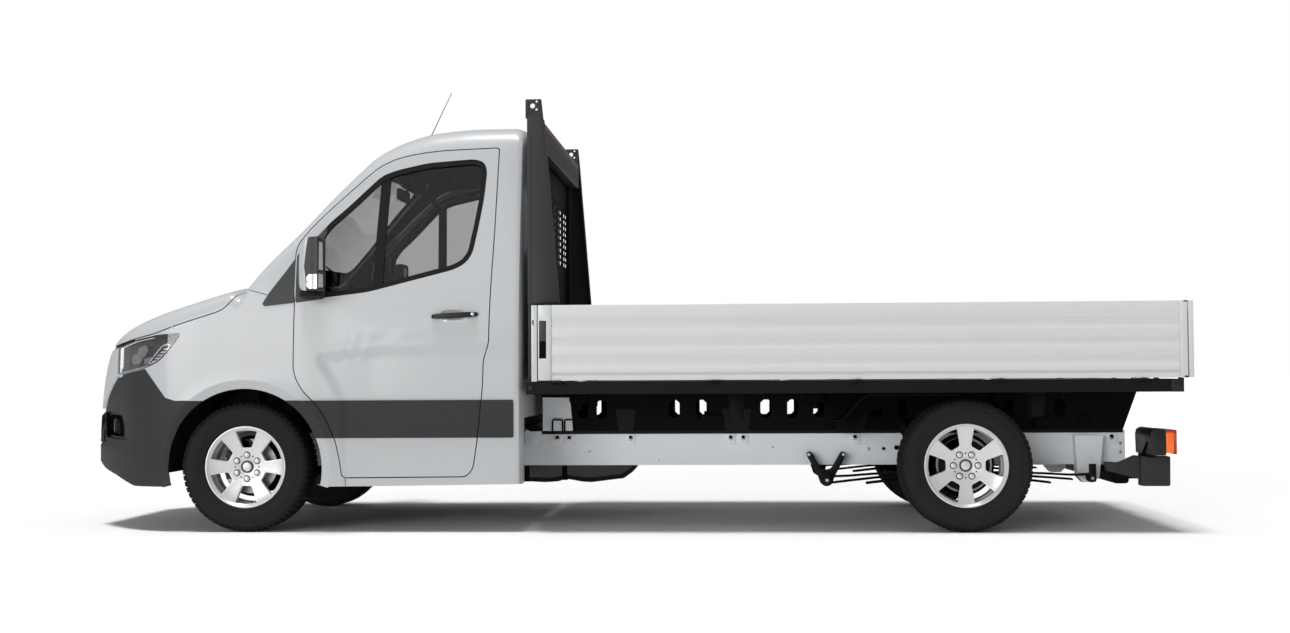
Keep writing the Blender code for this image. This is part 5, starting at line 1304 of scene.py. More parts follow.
def makeSideBoard(s):
    k, b = sides[s], boards
    body = f"side_board_{s}"
    mesh = bmesh.new()
    addPrism(mesh, [(k * (b["inner"] + d), z) for d, z in boardSection()], "x", b["frontEnd"] + 0.0075, b["rearEnd"])
    finishMesh(f"board_{s}_panel", mesh, "boardAlloy", body, "bed_aluminium", f"side_board_{s}", smooth=50)
    ends = bmesh.new()
    outer = b["inner"] + b["thick"]
    for x in ((b["front"], b["frontEnd"]), (b["frontEnd"] + 0.0012, b["frontEnd"] + 0.0063),
              (b["rearEnd"] + 0.0012, b["rear"])):
        addBox(ends, x, span(k, b["inner"], outer + 0.0003), (b["low"], b["top"]), 0.0012, 2)
    shift(ends)
    ends = newObject(f"board_{s}_ends", ends, "boardEnd")
    hole = b["latch"]
    cutWith(ends, boxTool(hole["x"], span(k, outer - 0.014, outer + 0.05), hole["z"]))
    place(ends, body, "bed_aluminium")
    parts = bmesh.new()
    x, (low, high) = hole["x"], hole["z"]
    addBox(parts, (x[0] + 0.001, x[1] - 0.001), span(k, outer - 0.012, outer - 0.0006), (1.036, high - 0.001),
           0.0015, 2)
    finishMesh(f"latch_{s}_grip", parts, "latchGrey", body, "bed_aluminium")
    pit = bmesh.new()
    addBox(pit, (x[0] + 0.0005, x[1] - 0.0005), span(k, outer - 0.0135, outer - 0.0105), (low + 0.0005, 1.035),
           0.0005, 1)
    addBox(pit, (x[0] + 0.004, x[1] - 0.004), span(k, outer - 0.012, outer - 0.004), (1.012, 1.035), 0.002, 2)
    addRod(pit, (x[0] + 0.004, k * (outer - 0.008), 0.962), (x[1] - 0.004, k * (outer - 0.008), 0.962), 0.004, 12)
    finishMesh(f"latch_{s}_pit", pit, "linerBlack", body, "black_steel")
    caps = bmesh.new()
    for z in ((b["low"] - 0.0003, 0.8335), (1.2225, b["top"] + 0.0005)):
        addBox(caps, (b["rear"] - 0.019, b["rear"] + 0.0005), span(k, b["inner"] + 0.002, outer + 0.0009), z, 0.001,
               1)
    finishMesh(f"board_{s}_caps", caps, "smoothPlastic", body, "dark_plastic")
    hinges = bmesh.new()
    for x in b["pins"]:
        addRod(hinges, (x + 0.0006, k * b["axis"], b["hinge"]), (x + 0.0294, k * b["axis"], b["hinge"]), 0.0073, 20,
               bevel=0.001)
        addBox(hinges, (x + 0.001, x + 0.029), span(k, b["axis"] - 0.011, b["axis"] - 0.004),
               (b["hinge"], b["low"] + 0.0004),
               0.001, 1)
    finishMesh(f"board_{s}_hinges", hinges, "satinBlack", body, "bed_aluminium")


def makeTailBoard():
    b = boards
    inner, lift = 5.0785, 0.0245
    mesh = bmesh.new()
    addPrism(mesh, [(inner + d * lift / b["thick"], z) for d, z in boardSection()], "y", -0.995, 0.995)
    finishMesh("tailboard_panel", mesh, "boardAlloy", "tail_board", "bed_aluminium", "tail_board", smooth=50)
    ends, latches, pits = bmesh.new(), bmesh.new(), bmesh.new()
    for k in sides.values():
        addBox(ends, (inner, inner + lift + 0.0003), span(k, 0.9962, 1.0598), (b["low"], b["top"]), 0.0012, 2)
    shift(ends)
    ends = newObject("tailboard_ends", ends, "boardEnd")
    for k in sides.values():
        cutWith(ends, boxTool((inner + lift - 0.014, inner + lift + 0.02), span(k, 1.006, 1.044), (0.942, 1.146)))
        addBox(latches, (inner + lift - 0.012, inner + lift - 0.0006), span(k, 1.007, 1.043), (1.036, 1.145),
               0.0015, 2)
        addBox(pits, (inner + lift - 0.0135, inner + lift - 0.0105), span(k, 1.0065, 1.0435), (0.9425, 1.035),
               0.0005, 1)
        addRod(pits, (inner + lift - 0.008, k * 1.010, 0.962), (inner + lift - 0.008, k * 1.040, 0.962), 0.004, 12)
    place(ends, "tail_board", "bed_aluminium")
    finishMesh("tailboard_grips", latches, "latchGrey", "tail_board", "bed_aluminium")
    finishMesh("tailboard_pits", pits, "linerBlack", "tail_board", "black_steel")
    hinges = bmesh.new()
    for y in (-0.80, -0.27, 0.27, 0.80):
        addRod(hinges, (5.105, y + 0.0006, b["hinge"]), (5.105, y + 0.0294, b["hinge"]), 0.0073, 20, bevel=0.001)
        addBox(hinges, (5.094, 5.101), (y + 0.001, y + 0.029), (b["hinge"], b["low"] + 0.0004), 0.001, 1)
    finishMesh("tailboard_hinges", hinges, "satinBlack", "tail_board", "bed_aluminium")


def makeStake(s):
    k = sides[s]
    mesh = bmesh.new()
    addBox(mesh, (1.5965, 1.6255), span(k, 0.9857, 1.0597), (0.8180, 1.2297), 0.0015, 2)
    shift(mesh)
    stake = newObject(f"stake_{s}_post", mesh, "boardEnd")
    cutWith(stake, boxTool((1.6090, 1.6104), span(k, 1.058, 1.08), (0.7, 1.3)))
    place(stake, "chassis", "bed_aluminium", f"stake_{s}")
    catch = bmesh.new()
    addBox(catch, (1.6020, 1.6080), span(k, 1.058, 1.0640), (1.124, 1.150), 0.001, 1)
    addRod(catch, (1.6050, k * 1.0600, 1.131), (1.6050, k * 1.0660, 1.131), 0.0035, 12)
    addRod(catch, (1.6050, k * 1.0600, 1.143), (1.6050, k * 1.0660, 1.143), 0.0035, 12)
    finishMesh(f"stake_{s}_catch", catch, "satinBlack", "chassis", "bed_aluminium")


def makeBedRail():
    rails = bmesh.new()
    section = rounded([(1.0397, 0.7485), (1.0397, 0.8165), (0.9905, 0.8165), (0.9905, 0.7485)],
                      [0.004, 0.003, 0.001, 0.001], 3)
    for k in sides.values():
        addPrism(rails, [(k * y, z) for y, z in section], "x", 1.5655, 5.0535)
    for x in ((1.5655, 1.6045), (5.0145, 5.0535)):
        addBox(rails, x, (-0.9900, 0.9900), (0.7485, 0.8165), 0.002, 2)
    finishMesh("bedrail_beams", rails, "satinBlack", "chassis", "black_steel", "bed_rail")
    lugs, bolts = bmesh.new(), bmesh.new()
    for k in sides.values():
        for x in boards["pins"]:
            for low, high in ((x - 0.0295, x - 0.0006), (x + 0.0306, x + 0.0400)):
                addRod(lugs, (low, k * boards["axis"], boards["hinge"]),
                       (high, k * boards["axis"], boards["hinge"]), 0.0073, 20,
                       bevel=0.001)
                addBox(lugs, (low, high), span(k, 1.037, boards["axis"]), (0.8005, 0.8135), 0.001, 1)
            addRod(lugs, (x - 0.031, k * boards["axis"], boards["hinge"]),
                   (x + 0.0415, k * boards["axis"], boards["hinge"]), 0.0035,
                   12)
        addBox(bolts, (4.990, 5.0545), span(k, 1.0380, 1.0420), (0.7480, 0.8170), 0.0015, 2)
        for x, size in ((1.592, 0.013), (5.034, 0.015)):
            addRod(bolts, (x, k * 1.038, 0.781), (x, k * 1.0455, 0.781), size, 24, bevel=0.0012)
            addRod(bolts, (x, k * 1.040, 0.781), (x, k * 1.0480, 0.781), size * 0.55, 6, bevel=0.0008)
    for y in (-0.80, -0.27, 0.27, 0.80):
        for low, high in ((y - 0.0295, y - 0.0006), (y + 0.0306, y + 0.0400)):
            addRod(lugs, (5.105, low, boards["hinge"]), (5.105, high, boards["hinge"]), 0.0070, 20, bevel=0.001)
            addBox(lugs, (5.051, 5.105), (low, high), (0.8005, 0.8135), 0.001, 1)
        addRod(lugs, (5.105, y - 0.031, boards["hinge"]), (5.105, y + 0.0415, boards["hinge"]), 0.0035, 12)
    finishMesh("bedrail_lugs", lugs, "satinBlack", "chassis", "black_steel")
    finishMesh("bedrail_bolts", bolts, "smoothPlastic", "chassis", "black_steel")


def makeBedFloor():
    panels = bmesh.new()
    for x in ((1.6055, 2.7395), (2.7415, 3.8745), (3.8765, 5.0135)):
        addBox(panels, x, (-0.9895, 0.9895), (0.7905, 0.8125), 0.001, 1)
    finishMesh("floor_panels", panels, "floorPly", "chassis", "bed_floor", "bed_floor")
    bearers, rings, screws = bmesh.new(), bmesh.new(), bmesh.new()
    for i in range(9):
        x = 1.70 + i * 0.403
        for z in ((0.7482, 0.7530), (0.7850, 0.7900)):
            addBox(bearers, (x - 0.025, x + 0.025), (-0.9890, 0.9890), z, 0.001, 1)
        addBox(bearers, (x - 0.004, x + 0.004), (-0.9890, 0.9890), (0.7530, 0.7850))
        for j in range(12):
            addRod(screws, (x, -0.94 + j * 0.171, 0.8120), (x, -0.94 + j * 0.171, 0.8129), 0.006, 12)
    finishMesh("floor_bearers", bearers, "satinBlack", "chassis", "black_steel")
    finishMesh("floor_screws", screws, "zincSteel", "chassis", "bed_floor")
    for k in sides.values():
        for x in (1.85, 2.95, 4.05, 4.85):
            addBox(rings, (x - 0.045, x + 0.045), span(k, 0.905, 0.965), (0.8115, 0.8140), 0.001, 2)
            arc = [(x + 0.030 * math.cos(a), k * 0.935 + 0.018 * math.sin(a)) for a in np.linspace(0, math.tau, 17)]
            for a, b in zip(arc, arc[1:]):
                addRod(rings, (*a, 0.8175), (*b, 0.8175), 0.0035, 10)
    finishMesh("floor_rings", rings, "zincSteel", "chassis", "bed_floor")


head = dict(
    post=[(1.5675, 0.8178), (1.5995, 0.8178), (1.5995, 1.2355), (1.7345, 1.2455), (1.7350, 1.262), (1.6560, 2.2540),
          (1.5655, 2.2540), (1.5655, 1.2355), (1.5675, 1.2340)],
    plate=[(1.5675, 1.2400), (1.7345, 1.2500), (1.7345, 1.2620), (1.6560, 2.2550), (1.6450, 2.3615), (1.5575, 2.3615),
           (1.5575, 2.2560), (1.5655, 2.2560)],
    holes=[(1.5965, 2.325, 0.0135), (1.6190, 2.3490, 0.0060), (1.6180, 2.3050, 0.0060)],
    slots=dict(z=(1.545, 1.905), rows=9, columns=17, wide=0.060, tall=0.022))


def makeHeadboard():
    posts, plates = bmesh.new(), bmesh.new()
    for k in sides.values():
        addPrism(posts, rounded(head["post"], 0.004, 2), "y", *span(k, 0.9302, 0.9785))
        addPrism(plates, rounded(head["plate"], 0.005, 2), "y", *span(k, 0.9790, 0.9850))
    shift(posts)
    shift(plates)
    posts = newObject("headboard_posts", posts, "postPaint")
    hollows, grooves, holes = bmesh.new(), bmesh.new(), bmesh.new()
    for k in sides.values():
        addPrism(hollows, [(1.5720, 1.260), (1.7280, 1.270), (1.6500, 2.248), (1.5720, 2.248)], "y",
                 *span(k, 0.90, 0.9745))
        addBox(grooves, (1.5890, 1.5904), span(k, 0.9835, 1.0), (1.25, 2.165))
        for x, z, size in head["holes"]:
            addRod(holes, (x, k * 0.95, z), (x, k * 1.05, z), size, 32)
    for mesh in (hollows, grooves, holes):
        shift(mesh)
    cutWith(posts, newObject("tool", hollows))
    softenEdges(posts, 0.0015)
    place(posts, "chassis", "black_steel", "headboard")
    plates = newObject("headboard_plates", plates, "postPaint")
    cutWith(plates, newObject("tool", holes), newObject("tool", grooves))
    softenEdges(plates, 0.001)
    place(plates, "chassis", "black_steel")
    bars = bmesh.new()
    addBox(bars, (1.5960, 1.6550), (-0.9780, 0.9780), (2.0850, 2.2120), 0.006, 3)
    addBox(bars, (1.5760, 1.6230), (-0.9780, 0.9780), (1.2120, 1.2580), 0.005, 3)
    shift(bars)
    bars = newObject("headboard_bars", bars, "postPaint")
    slots = bmesh.new()
    for i in range(10):
        for dx in (-0.028, 0.028):
            y = -0.84 + i * 0.187 + dx
            addBox(slots, (1.6490, 1.70), (y - 0.004, y + 0.004), (2.130, 2.170), 0.002, 2)
    shift(slots)
    cutWith(bars, newObject("tool", slots))
    place(bars, "chassis", "black_steel")
    sheet = bmesh.new()
    addBox(sheet, (1.5770, 1.5800), (-0.9740, 0.9740), (0.8290, 2.2100))
    shift(sheet)
    sheet = newObject("headboard_sheet", sheet, "sheetPaint")
    cells, grid = bmesh.new(), head["slots"]
    pitchY, pitchZ = 1.66 / grid["columns"], (grid["z"][1] - grid["z"][0]) / grid["rows"]
    for i in range(grid["columns"]):
        for j in range(grid["rows"]):
            y, z = -0.83 + (i + 0.5) * pitchY, grid["z"][0] + (j + 0.5) * pitchZ
            addBox(cells, (1.55, 1.62), (y - grid["wide"] / 2, y + grid["wide"] / 2),
                   (z - grid["tall"] / 2, z + grid["tall"] / 2))
    shift(cells)
    cutWith(sheet, newObject("tool", cells))
    place(sheet, "chassis", "black_steel")
    folds = bmesh.new()
    for z in (1.430, 1.930):
        addBox(folds, (1.5795, 1.5860), (-0.9780, 0.9780), (z, z + 0.012), 0.003, 2)
    for i in range(5):
        y = -0.62 + i * 0.31
        addBox(folds, (1.5690, 1.5772), (y - 0.02, y + 0.02), (0.83, 2.084), 0.003, 2)
    finishMesh("headboard_folds", folds, "sheetPaint", "chassis", "black_steel")
    rest = bmesh.new()
    addBox(rest, (1.5850, 1.6520), (-0.9250, 0.9250), (2.2130, 2.2440), 0.004, 3)
    finishMesh("headboard_rest", rest, "loadRest", "chassis", "black_steel")
    print("headboard: built")


for s in sides:
    makeSideBoard(s)
    makeStake(s)
makeTailBoard()
makeBedRail()
makeBedFloor()
makeHeadboard()
print("load bed: built")


# Chassis: bands, brackets and bolts on the frame, plates on the subframe, springs, tank, lamps and underrun guard
chassis = dict(
    rail=0.4503, band=(0.450, 0.5130), bandX=(1.555, 4.600), flange=(0.5135, 0.5310),
    brackets=[(1.634, 1.700), (1.705, 1.765), (2.057, 2.117), (2.631, 2.690), (2.702, 2.762), (3.335, 3.397),
              (4.765, 4.838)],
    bolts=[(1.849, 0.412, 0.008), (3.440, 0.424, 0.009), (4.850, 0.455, 0.009), (4.850, 0.405, 0.009),
           (2.90, 0.435, 0.006),
           (1.560, 0.448, 0.006), (2.25, 0.362, 0.004), (4.30, 0.424, 0.009)],
    # holes: dark discs that paint the shade inside the rail's holes
    holes=[(3.528, 0.426, 0.009), (3.600, 0.432, 0.013)],
    channels=[(2.662, 2.726), (4.357, 4.423)], gussets=[(2.000, 2.120), (2.610, 2.780), (3.320, 3.440)],
    mounts=[1.792, 3.146, 4.18], boxes=[(2.487, 2.617, 0.575, 0.622), (4.365, 4.460, 0.545, 0.600),
                                        (4.62, 4.68, 0.56, 0.61)])


def makeFrameDetails():
    c = chassis
    bands, plates, nuts, washers, dark, pads, panels, hoops = (bmesh.new() for _ in range(8))
    for k in sides.values():
        y = c["rail"]
        addBox(bands, c["bandX"], span(k, y, y + 0.0032), c["band"], 0.001, 1)
        addBox(bands, (4.600, 4.8775), span(k, y, y + 0.0032), (0.340, 0.5130), 0.0012, 1)
        # A dark strip over the top 16 mm of the rail's face, along the length of the subframe
        addBox(dark, (1.5760, 4.868), span(k, y, y + 0.0026), c["flange"], 0.0005, 1)
        addPrism(bands, [(1.449, 0.556), (1.537, 0.520), (1.575, 0.450), (1.530, 0.450), (1.5000, 0.500),
                         (1.449, 0.528)],
                 "y", *span(k, y + 0.0035, y + 0.012))
        for low, high in c["brackets"]:
            addBox(plates, (low, high), span(k, y + 0.0034, y + 0.0080), (0.450, 0.5130), 0.0015, 2)
            middle = (low + high) / 2
            addRod(washers, (middle, k * (y + 0.0070), 0.489), (middle, k * (y + 0.0100), 0.489), 0.0155, 24,
                   bevel=0.0008)
            addRod(nuts, (middle, k * (y + 0.0090), 0.494), (middle, k * (y + 0.0190), 0.494), 0.0105, 6, bevel=0.001)
            addRod(nuts, (middle, k * (y + 0.0090), 0.494), (middle, k * (y + 0.0250), 0.494), 0.0058, 16,
                   bevel=0.001)
        for x, z, size in c["bolts"]:
            addRod(washers, (x, k * y, z), (x, k * (y + 0.0070), z), size, 20, bevel=0.001)
        # Dark discs where the rail has holes: painted shade of the rail's inside, seen through them
        for x, z, size in c["holes"]:
            addRod(nuts, (x, k * y, z), (x, k * (y + 0.0100), z), size, 20, bevel=0.001)
        for low, high in c["channels"]:
            addBox(dark, (low, high), span(k, y, y + 0.0180), (0.592, 0.745), 0.003, 2)
            addBox(dark, (low - 0.012, high + 0.012), span(k, y, y + 0.0020), (0.585, 0.745), 0.001, 1)
        for low, high in c["gussets"]:
            addPrism(dark, [(low, 0.655), (high, 0.655), (high - 0.02, 0.5305), (low + 0.02, 0.5305)], "y",
                     *span(k, y, y + 0.0024))
        for x in c["mounts"]:
            addBox(pads, (x - 0.052, x + 0.052), span(k, y, y + 0.060), (0.690, 0.7465), 0.016, 4)
            addRod(pads, (x, k * (y + 0.025), 0.655), (x, k * (y + 0.025), 0.700), 0.022, 20, bevel=0.004)
        for x0, x1, z0, z1 in c["boxes"]:
            addBox(pads, (x0, x1), span(k, y, y + 0.035), (z0, z1), 0.004, 2)
        addPrism(panels, [(1.5815, 0.5320), (1.7570, 0.5320), (1.7385, 0.7235), (1.5815, 0.7240)], "y",
                 *span(k, y, y + 0.0022))
        for low, high in c["brackets"][:2]:
            line = [(low + 0.004, 0.530), (low + 0.004, 0.588), (low + 0.010, 0.596), (high - 0.010, 0.596),
                    (high - 0.004, 0.588), (high - 0.004, 0.530)]
            for a, b in zip(line, line[1:]):
                addRod(hoops, (a[0], k * (y + 0.010), a[1]), (b[0], k * (y + 0.010), b[1]), 0.0045, 12)
    finishMesh("frame_bands", bands, "framePaint", "chassis", "frame_paint")
    finishMesh("frame_brackets", plates, "framePaint", "chassis", "frame_paint")
    finishMesh("frame_nuts", nuts, "chassisBlack", "chassis", "black_steel")
    finishMesh("frame_washers", washers, "zincSteel", "chassis", "frame_paint")
    finishMesh("subframe_plates", dark, "satinBlack", "chassis", "black_steel")
    finishMesh("subframe_mounts", pads, "linerBlack", "chassis", "black_steel")
    finishMesh("subframe_front_plates", panels, "framePaint", "chassis", "frame_paint")
    finishMesh("subframe_hoops", hoops, "chassisBlack", "chassis", "black_steel")


spring = dict(
    leaves=[dict(line=[(3.201, 0.2800), (3.300, 0.2830), (3.490, 0.2960), (3.720, 0.3020), (4.120, 0.3020),
                       (4.400, 0.2960),
                       (4.570, 0.2880), (4.665, 0.2920)], thick=0.0095),
            dict(line=[(3.215, 0.2440), (3.350, 0.2600), (3.560, 0.2810), (3.740, 0.2905), (4.110, 0.2905),
                       (4.330, 0.2800),
                       (4.560, 0.2640)], thick=0.0095),
            dict(line=[(3.420, 0.2440), (3.560, 0.2600), (3.760, 0.2790), (4.090, 0.2790), (4.300, 0.2620),
                       (4.440, 0.2460)], thick=0.0110),
            dict(line=[(3.620, 0.2480), (3.780, 0.2660), (4.070, 0.2660), (4.230, 0.2480)], thick=0.0120)],
    y=(0.5200, 0.5900), eyes=[(3.201, 0.256, 0.034), (4.665, 0.266, 0.030)])


def makeSpring(s):
    k = sides[s]
    leaves, cast, pins = bmesh.new(), bmesh.new(), bmesh.new()
    for leaf in spring["leaves"]:
        xs = np.linspace(leaf["line"][0][0], leaf["line"][-1][0], 40)
        zs = smoothRows(leaf["line"], xs)
        outline = list(zip(xs, zs)) + [(x, z - leaf["thick"]) for x, z in zip(xs[::-1], zs[::-1])]
        addPrism(leaves, outline, "y", *span(k, *spring["y"]))
    for x, z, size in spring["eyes"]:
        addRod(leaves, (x, k * spring["y"][0], z), (x, k * spring["y"][1], z), size * 0.78, 28, bevel=0.002)
    x, z, size = spring["eyes"][0]
    arms = [(3.0900, 0.4020), (3.1020, 0.4120), (3.1190, 0.4080), (3.1700, 0.3180), (3.2010, 0.3040),
            (3.2320, 0.3180),
            (3.2830, 0.4080), (3.3000, 0.4120), (3.3120, 0.4020), (3.3080, 0.3850), (3.2460, 0.2700),
            (3.2340, 0.2330),
            (3.2010, 0.2180), (3.1680, 0.2330), (3.1560, 0.2700), (3.0940, 0.3850)]
    addPrism(cast, rounded(arms, 0.008, 3), "y", *span(k, 0.4505, 0.5180))
    addRod(cast, (x, k * 0.4600, z), (x, k * 0.5350, z), 0.0375, 36, bevel=0.004)
    addRod(cast, (x, k * 0.5900, z), (x, k * 0.5990, z), 0.0260, 28, bevel=0.002)
    for px in (3.104, 3.298):
        addRod(pins, (px, k * 0.5180, 0.396), (px, k * 0.5250, 0.396), 0.0090, 20, bevel=0.001)
    addRod(pins, (x, k * 0.5985, z), (x, k * 0.6040, z), 0.0095, 20, bevel=0.001)
    x, z, size = spring["eyes"][1]
    for y in (0.5050, 0.5945):
        addBox(cast, (x - 0.020, x + 0.020), span(k, y, y + 0.0070), (z - 0.020, z + 0.080), 0.003, 2)
    addRod(pins, (x, k * 0.5000, z), (x, k * 0.6060, z), 0.0085, 16, bevel=0.001)
    addBox(cast, (wheelbase - 0.075, wheelbase + 0.075), span(k, 0.5100, 0.6000), (0.2380, 0.2530), 0.004, 2)
    addBox(cast, (wheelbase - 0.070, wheelbase + 0.070), span(k, 0.5120, 0.5980), (0.3025, 0.3160), 0.004, 2)
    for dx in (-0.058, 0.058):
        for y in (0.5140, 0.5960):
            addRod(pins, (wheelbase + dx, k * y, 0.2280), (wheelbase + dx, k * y, 0.4130), 0.0065, 14, bevel=0.001)
            addRod(pins, (wheelbase + dx, k * y, 0.2250), (wheelbase + dx, k * y, 0.2385), 0.0115, 6, bevel=0.001)
        addRod(pins, (wheelbase + dx, k * 0.5140, 0.4100), (wheelbase + dx, k * 0.5960, 0.4100), 0.0065, 14)
    finishMesh(f"spring_{s}_leaves", leaves, "chassisBlack", "chassis", "black_steel", f"leaf_spring_{s}",
               bevel=0.001)
    finishMesh(f"spring_{s}_mounts", cast, "satinBlack", "chassis", "black_steel", bevel=0.002)
    finishMesh(f"spring_{s}_pins", pins, "zincSteel", "chassis", "black_steel")
    damper, rod = bmesh.new(), bmesh.new()
    addRod(damper, (3.800, k * 0.490, 0.285), (3.660, k * 0.480, 0.520), 0.030, 28, bevel=0.004)
    addRod(damper, (3.705, k * 0.4835, 0.445), (3.625, k * 0.478, 0.580), 0.035, 28, bevel=0.004)
    addRod(rod, (3.815, k * 0.491, 0.258), (3.800, k * 0.490, 0.290), 0.010, 16)
    addRod(rod, (3.818, k * 0.455, 0.256), (3.818, k * 0.520, 0.256), 0.016, 20, bevel=0.002)
    finishMesh(f"damper_{s}_tube", damper, "chassisBlack", "chassis", "black_steel")
    finishMesh(f"damper_{s}_rod", rod, "zincSteel", "chassis", "black_steel")


def makeTank():
    tank, straps, pipe = bmesh.new(), bmesh.new(), bmesh.new()
    addPrism(tank, [(1.4420, 0.2700), (1.4560, 0.2480), (1.4900, 0.2360), (1.5800, 0.2310), (1.6600, 0.2360),
                    (1.7050, 0.2500),
                    (1.7400, 0.2450), (1.8000, 0.2340), (1.8530, 0.2310), (1.9990, 0.2490), (2.0390, 0.2530),
                    (2.0880, 0.2870),
                    (2.1180, 0.3210), (2.1180, 0.4800), (2.0900, 0.4980), (1.4700, 0.4980), (1.4420, 0.4800)], "y",
                    -0.388, -0.093)
    shift(tank)
    tank = newObject("tank_shell", tank, "tankGloss")
    step = tank.modifiers.new("round", "BEVEL")
    step.width, step.segments, step.limit_method, step.angle_limit = 0.034, 6, "ANGLE", math.radians(60)
    settle(tank)
    place(tank, "chassis", "dark_plastic", "fuel_tank")
    for x, low in ((1.700, 0.249), (1.480, 0.240)):
        addBox(straps, (x - 0.015, x + 0.015), (-0.3905, -0.0905), (low - 0.0030, low + 0.004), 0.001, 1)
        for y in (-0.3905, -0.0925):
            addBox(straps, (x - 0.015, x + 0.015), (y, y + 0.0020), (low - 0.0020, 0.500), 0.0005, 1)
    finishMesh("tank_straps", straps, "chassisBlack", "chassis", "black_steel")
    line = [(2.02, 0.22, 0.43), (2.30, 0.24, 0.43), (2.55, 0.24, 0.43), (3.10, 0.26, 0.43), (3.55, 0.28, 0.45),
            (4.10, 0.28, 0.47),
            (4.50, 0.27, 0.42), (4.70, 0.24, 0.39)]
    for a, b in zip(line, line[1:]):
        addRod(pipe, a, b, 0.030, 24)
    for spot in line[1:-1]:
        ball = bmesh.ops.create_uvsphere(pipe, u_segments=24, v_segments=12, radius=0.030)
        bmesh.ops.translate(pipe, vec=spot, verts=ball["verts"])
    addRod(pipe, (0.62, 0.20, 0.36), (2.02, 0.22, 0.43), 0.030, 24)
    addRod(pipe, (0.95, 0.205, 0.377), (1.42, 0.213, 0.400), 0.060, 32, bevel=0.012)
    addRod(pipe, (2.40, 0.24, 0.430), (2.95, 0.255, 0.430), 0.075, 32, bevel=0.015)
    finishMesh("exhaust_line", pipe, "discSteel", "chassis", "black_steel")


def makeTailLamp(s):
    k = sides[s]
    case, frameRed, amber, bracket = (bmesh.new() for _ in range(4))
    shell = [(4.9150, 0.4060), (4.9120, 0.5100), (4.9180, 0.5370), (4.9420, 0.5500), (4.9850, 0.5450),
             (4.9925, 0.5420),
             (4.9925, 0.4060)]
    addPrism(case, rounded(shell, 0.006, 3), "y", *span(k, 0.5450, 0.8980))
    finishMesh(f"tail_{s}_case", case, "smoothPlastic", "chassis", "dark_plastic", f"tail_lamp_{s}", bevel=0.003)
    addBox(amber, (4.9930, 5.0360), span(k, 0.7600, 0.8980), (0.4190, 0.5300), 0.006, 3)
    finishMesh(f"tail_{s}_amber", amber, "amberLens", "chassis", "red_lens")
    addBox(frameRed, (5.0365, 5.0500), span(k, 0.6050, 0.8975), (0.4120, 0.5420), 0.005, 3)
    addBox(frameRed, (4.9930, 5.0365), span(k, 0.7600, 0.8975), (0.5305, 0.5440), 0.003, 2)
    addBox(frameRed, (4.9930, 5.0365), span(k, 0.5500, 0.7590), (0.4120, 0.5420), 0.006, 3)
    finishMesh(f"tail_{s}_red", frameRed, "redLens", "chassis", "red_lens")
    addBox(bracket, (4.9250, 4.9500), span(k, 0.5500, 0.7400), (0.3150, 0.4055), 0.003, 2)
    addBox(bracket, (4.9150, 4.9700), span(k, 0.7000, 0.7800), (0.3900, 0.4055), 0.003, 2)
    addRod(bracket, (4.9120, k * 0.82, 0.4700), (4.9050, k * 0.72, 0.3950), 0.008, 12)
    finishMesh(f"tail_{s}_bracket", bracket, "chassisBlack", "chassis", "black_steel")


def makeUnderrun():
    bar, sidesMesh, arms = bmesh.new(), bmesh.new(), bmesh.new()
    addBox(bar, (4.7560, 4.8440), (-0.7000, 0.7000), (0.2420, 0.3300), 0.020, 4)
    for k in sides.values():
        addPrism(sidesMesh, rounded([(4.8900, 0.3960), (5.0480, 0.3955), (5.0460, 0.2330), (4.8880, 0.2335)], 0.012,
                                    3), "y",
                 *span(k, 0.7000, 0.7645))
        addPrism(sidesMesh, rounded([(4.7000, 0.3650), (4.7780, 0.3600), (4.8640, 0.3990), (4.8885, 0.3960),
                                     (4.8870, 0.2700),
                                     (4.7800, 0.2980), (4.7100, 0.3150)], 0.006, 3), "y", *span(k, 0.7000, 0.7580))
        addBox(arms, (4.7650, 4.8350), span(k, 0.3550, 0.3895), (0.3000, 0.5000), 0.003, 2)
        addBox(arms, (4.7800, 4.9250), span(k, 0.6950, 0.7050), (0.2700, 0.3200), 0.003, 2)
        addPrism(arms, [(4.7300, 0.4000), (4.8000, 0.4000), (4.8700, 0.3500), (4.8700, 0.2650), (4.8000, 0.2500),
                        (4.7500, 0.3000)], "y", *span(k, 0.4000, 0.4100))
    finishMesh("underrun_beam", bar, "chassisBlack", "chassis", "black_steel", "underrun_bar")
    finishMesh("underrun_ends", sidesMesh, "darkPlastic", "chassis", "black_steel", bevel=0.006, segments=3)
    finishMesh("underrun_arms", arms, "chassisBlack", "chassis", "black_steel")


# Mirrors, antenna, cowl, wipers and the liners of the front arches
mirror = dict(
    plan=[(0.4600, 1.0250), (0.4600, 1.1600), (0.4400, 1.1710), (0.3900, 1.1700), (0.3520, 1.1520), (0.3380, 1.1150),
          (0.3360, 1.0600), (0.3500, 1.0250), (0.3900, 1.0080), (0.4400, 1.0100)],
    height=(1.2870, 1.6060),
    outline=[(0.4250, 1.6055), (0.4000, 1.6000), (0.3811, 1.5831), (0.3568, 1.5443), (0.3418, 1.4784),
             (0.3358, 1.4304),
             (0.3390, 1.3823), (0.3543, 1.3282), (0.3700, 1.3150), (0.4560, 1.3150), (0.4600, 1.6055)],
    cap=[(0.4060, 1.62), (0.4023, 1.5949), (0.3903, 1.5200), (0.3814, 1.4450), (0.3876, 1.3999), (0.3907, 1.3699),
         (0.3938, 1.3338), (0.3940, 1.30), (0.30, 1.30), (0.30, 1.62)],
    light=[(0.3945, 1.3900), (0.4100, 1.4030), (0.4545, 1.4030), (0.4545, 1.3230), (0.4100, 1.3230),
           (0.3955, 1.3350)])


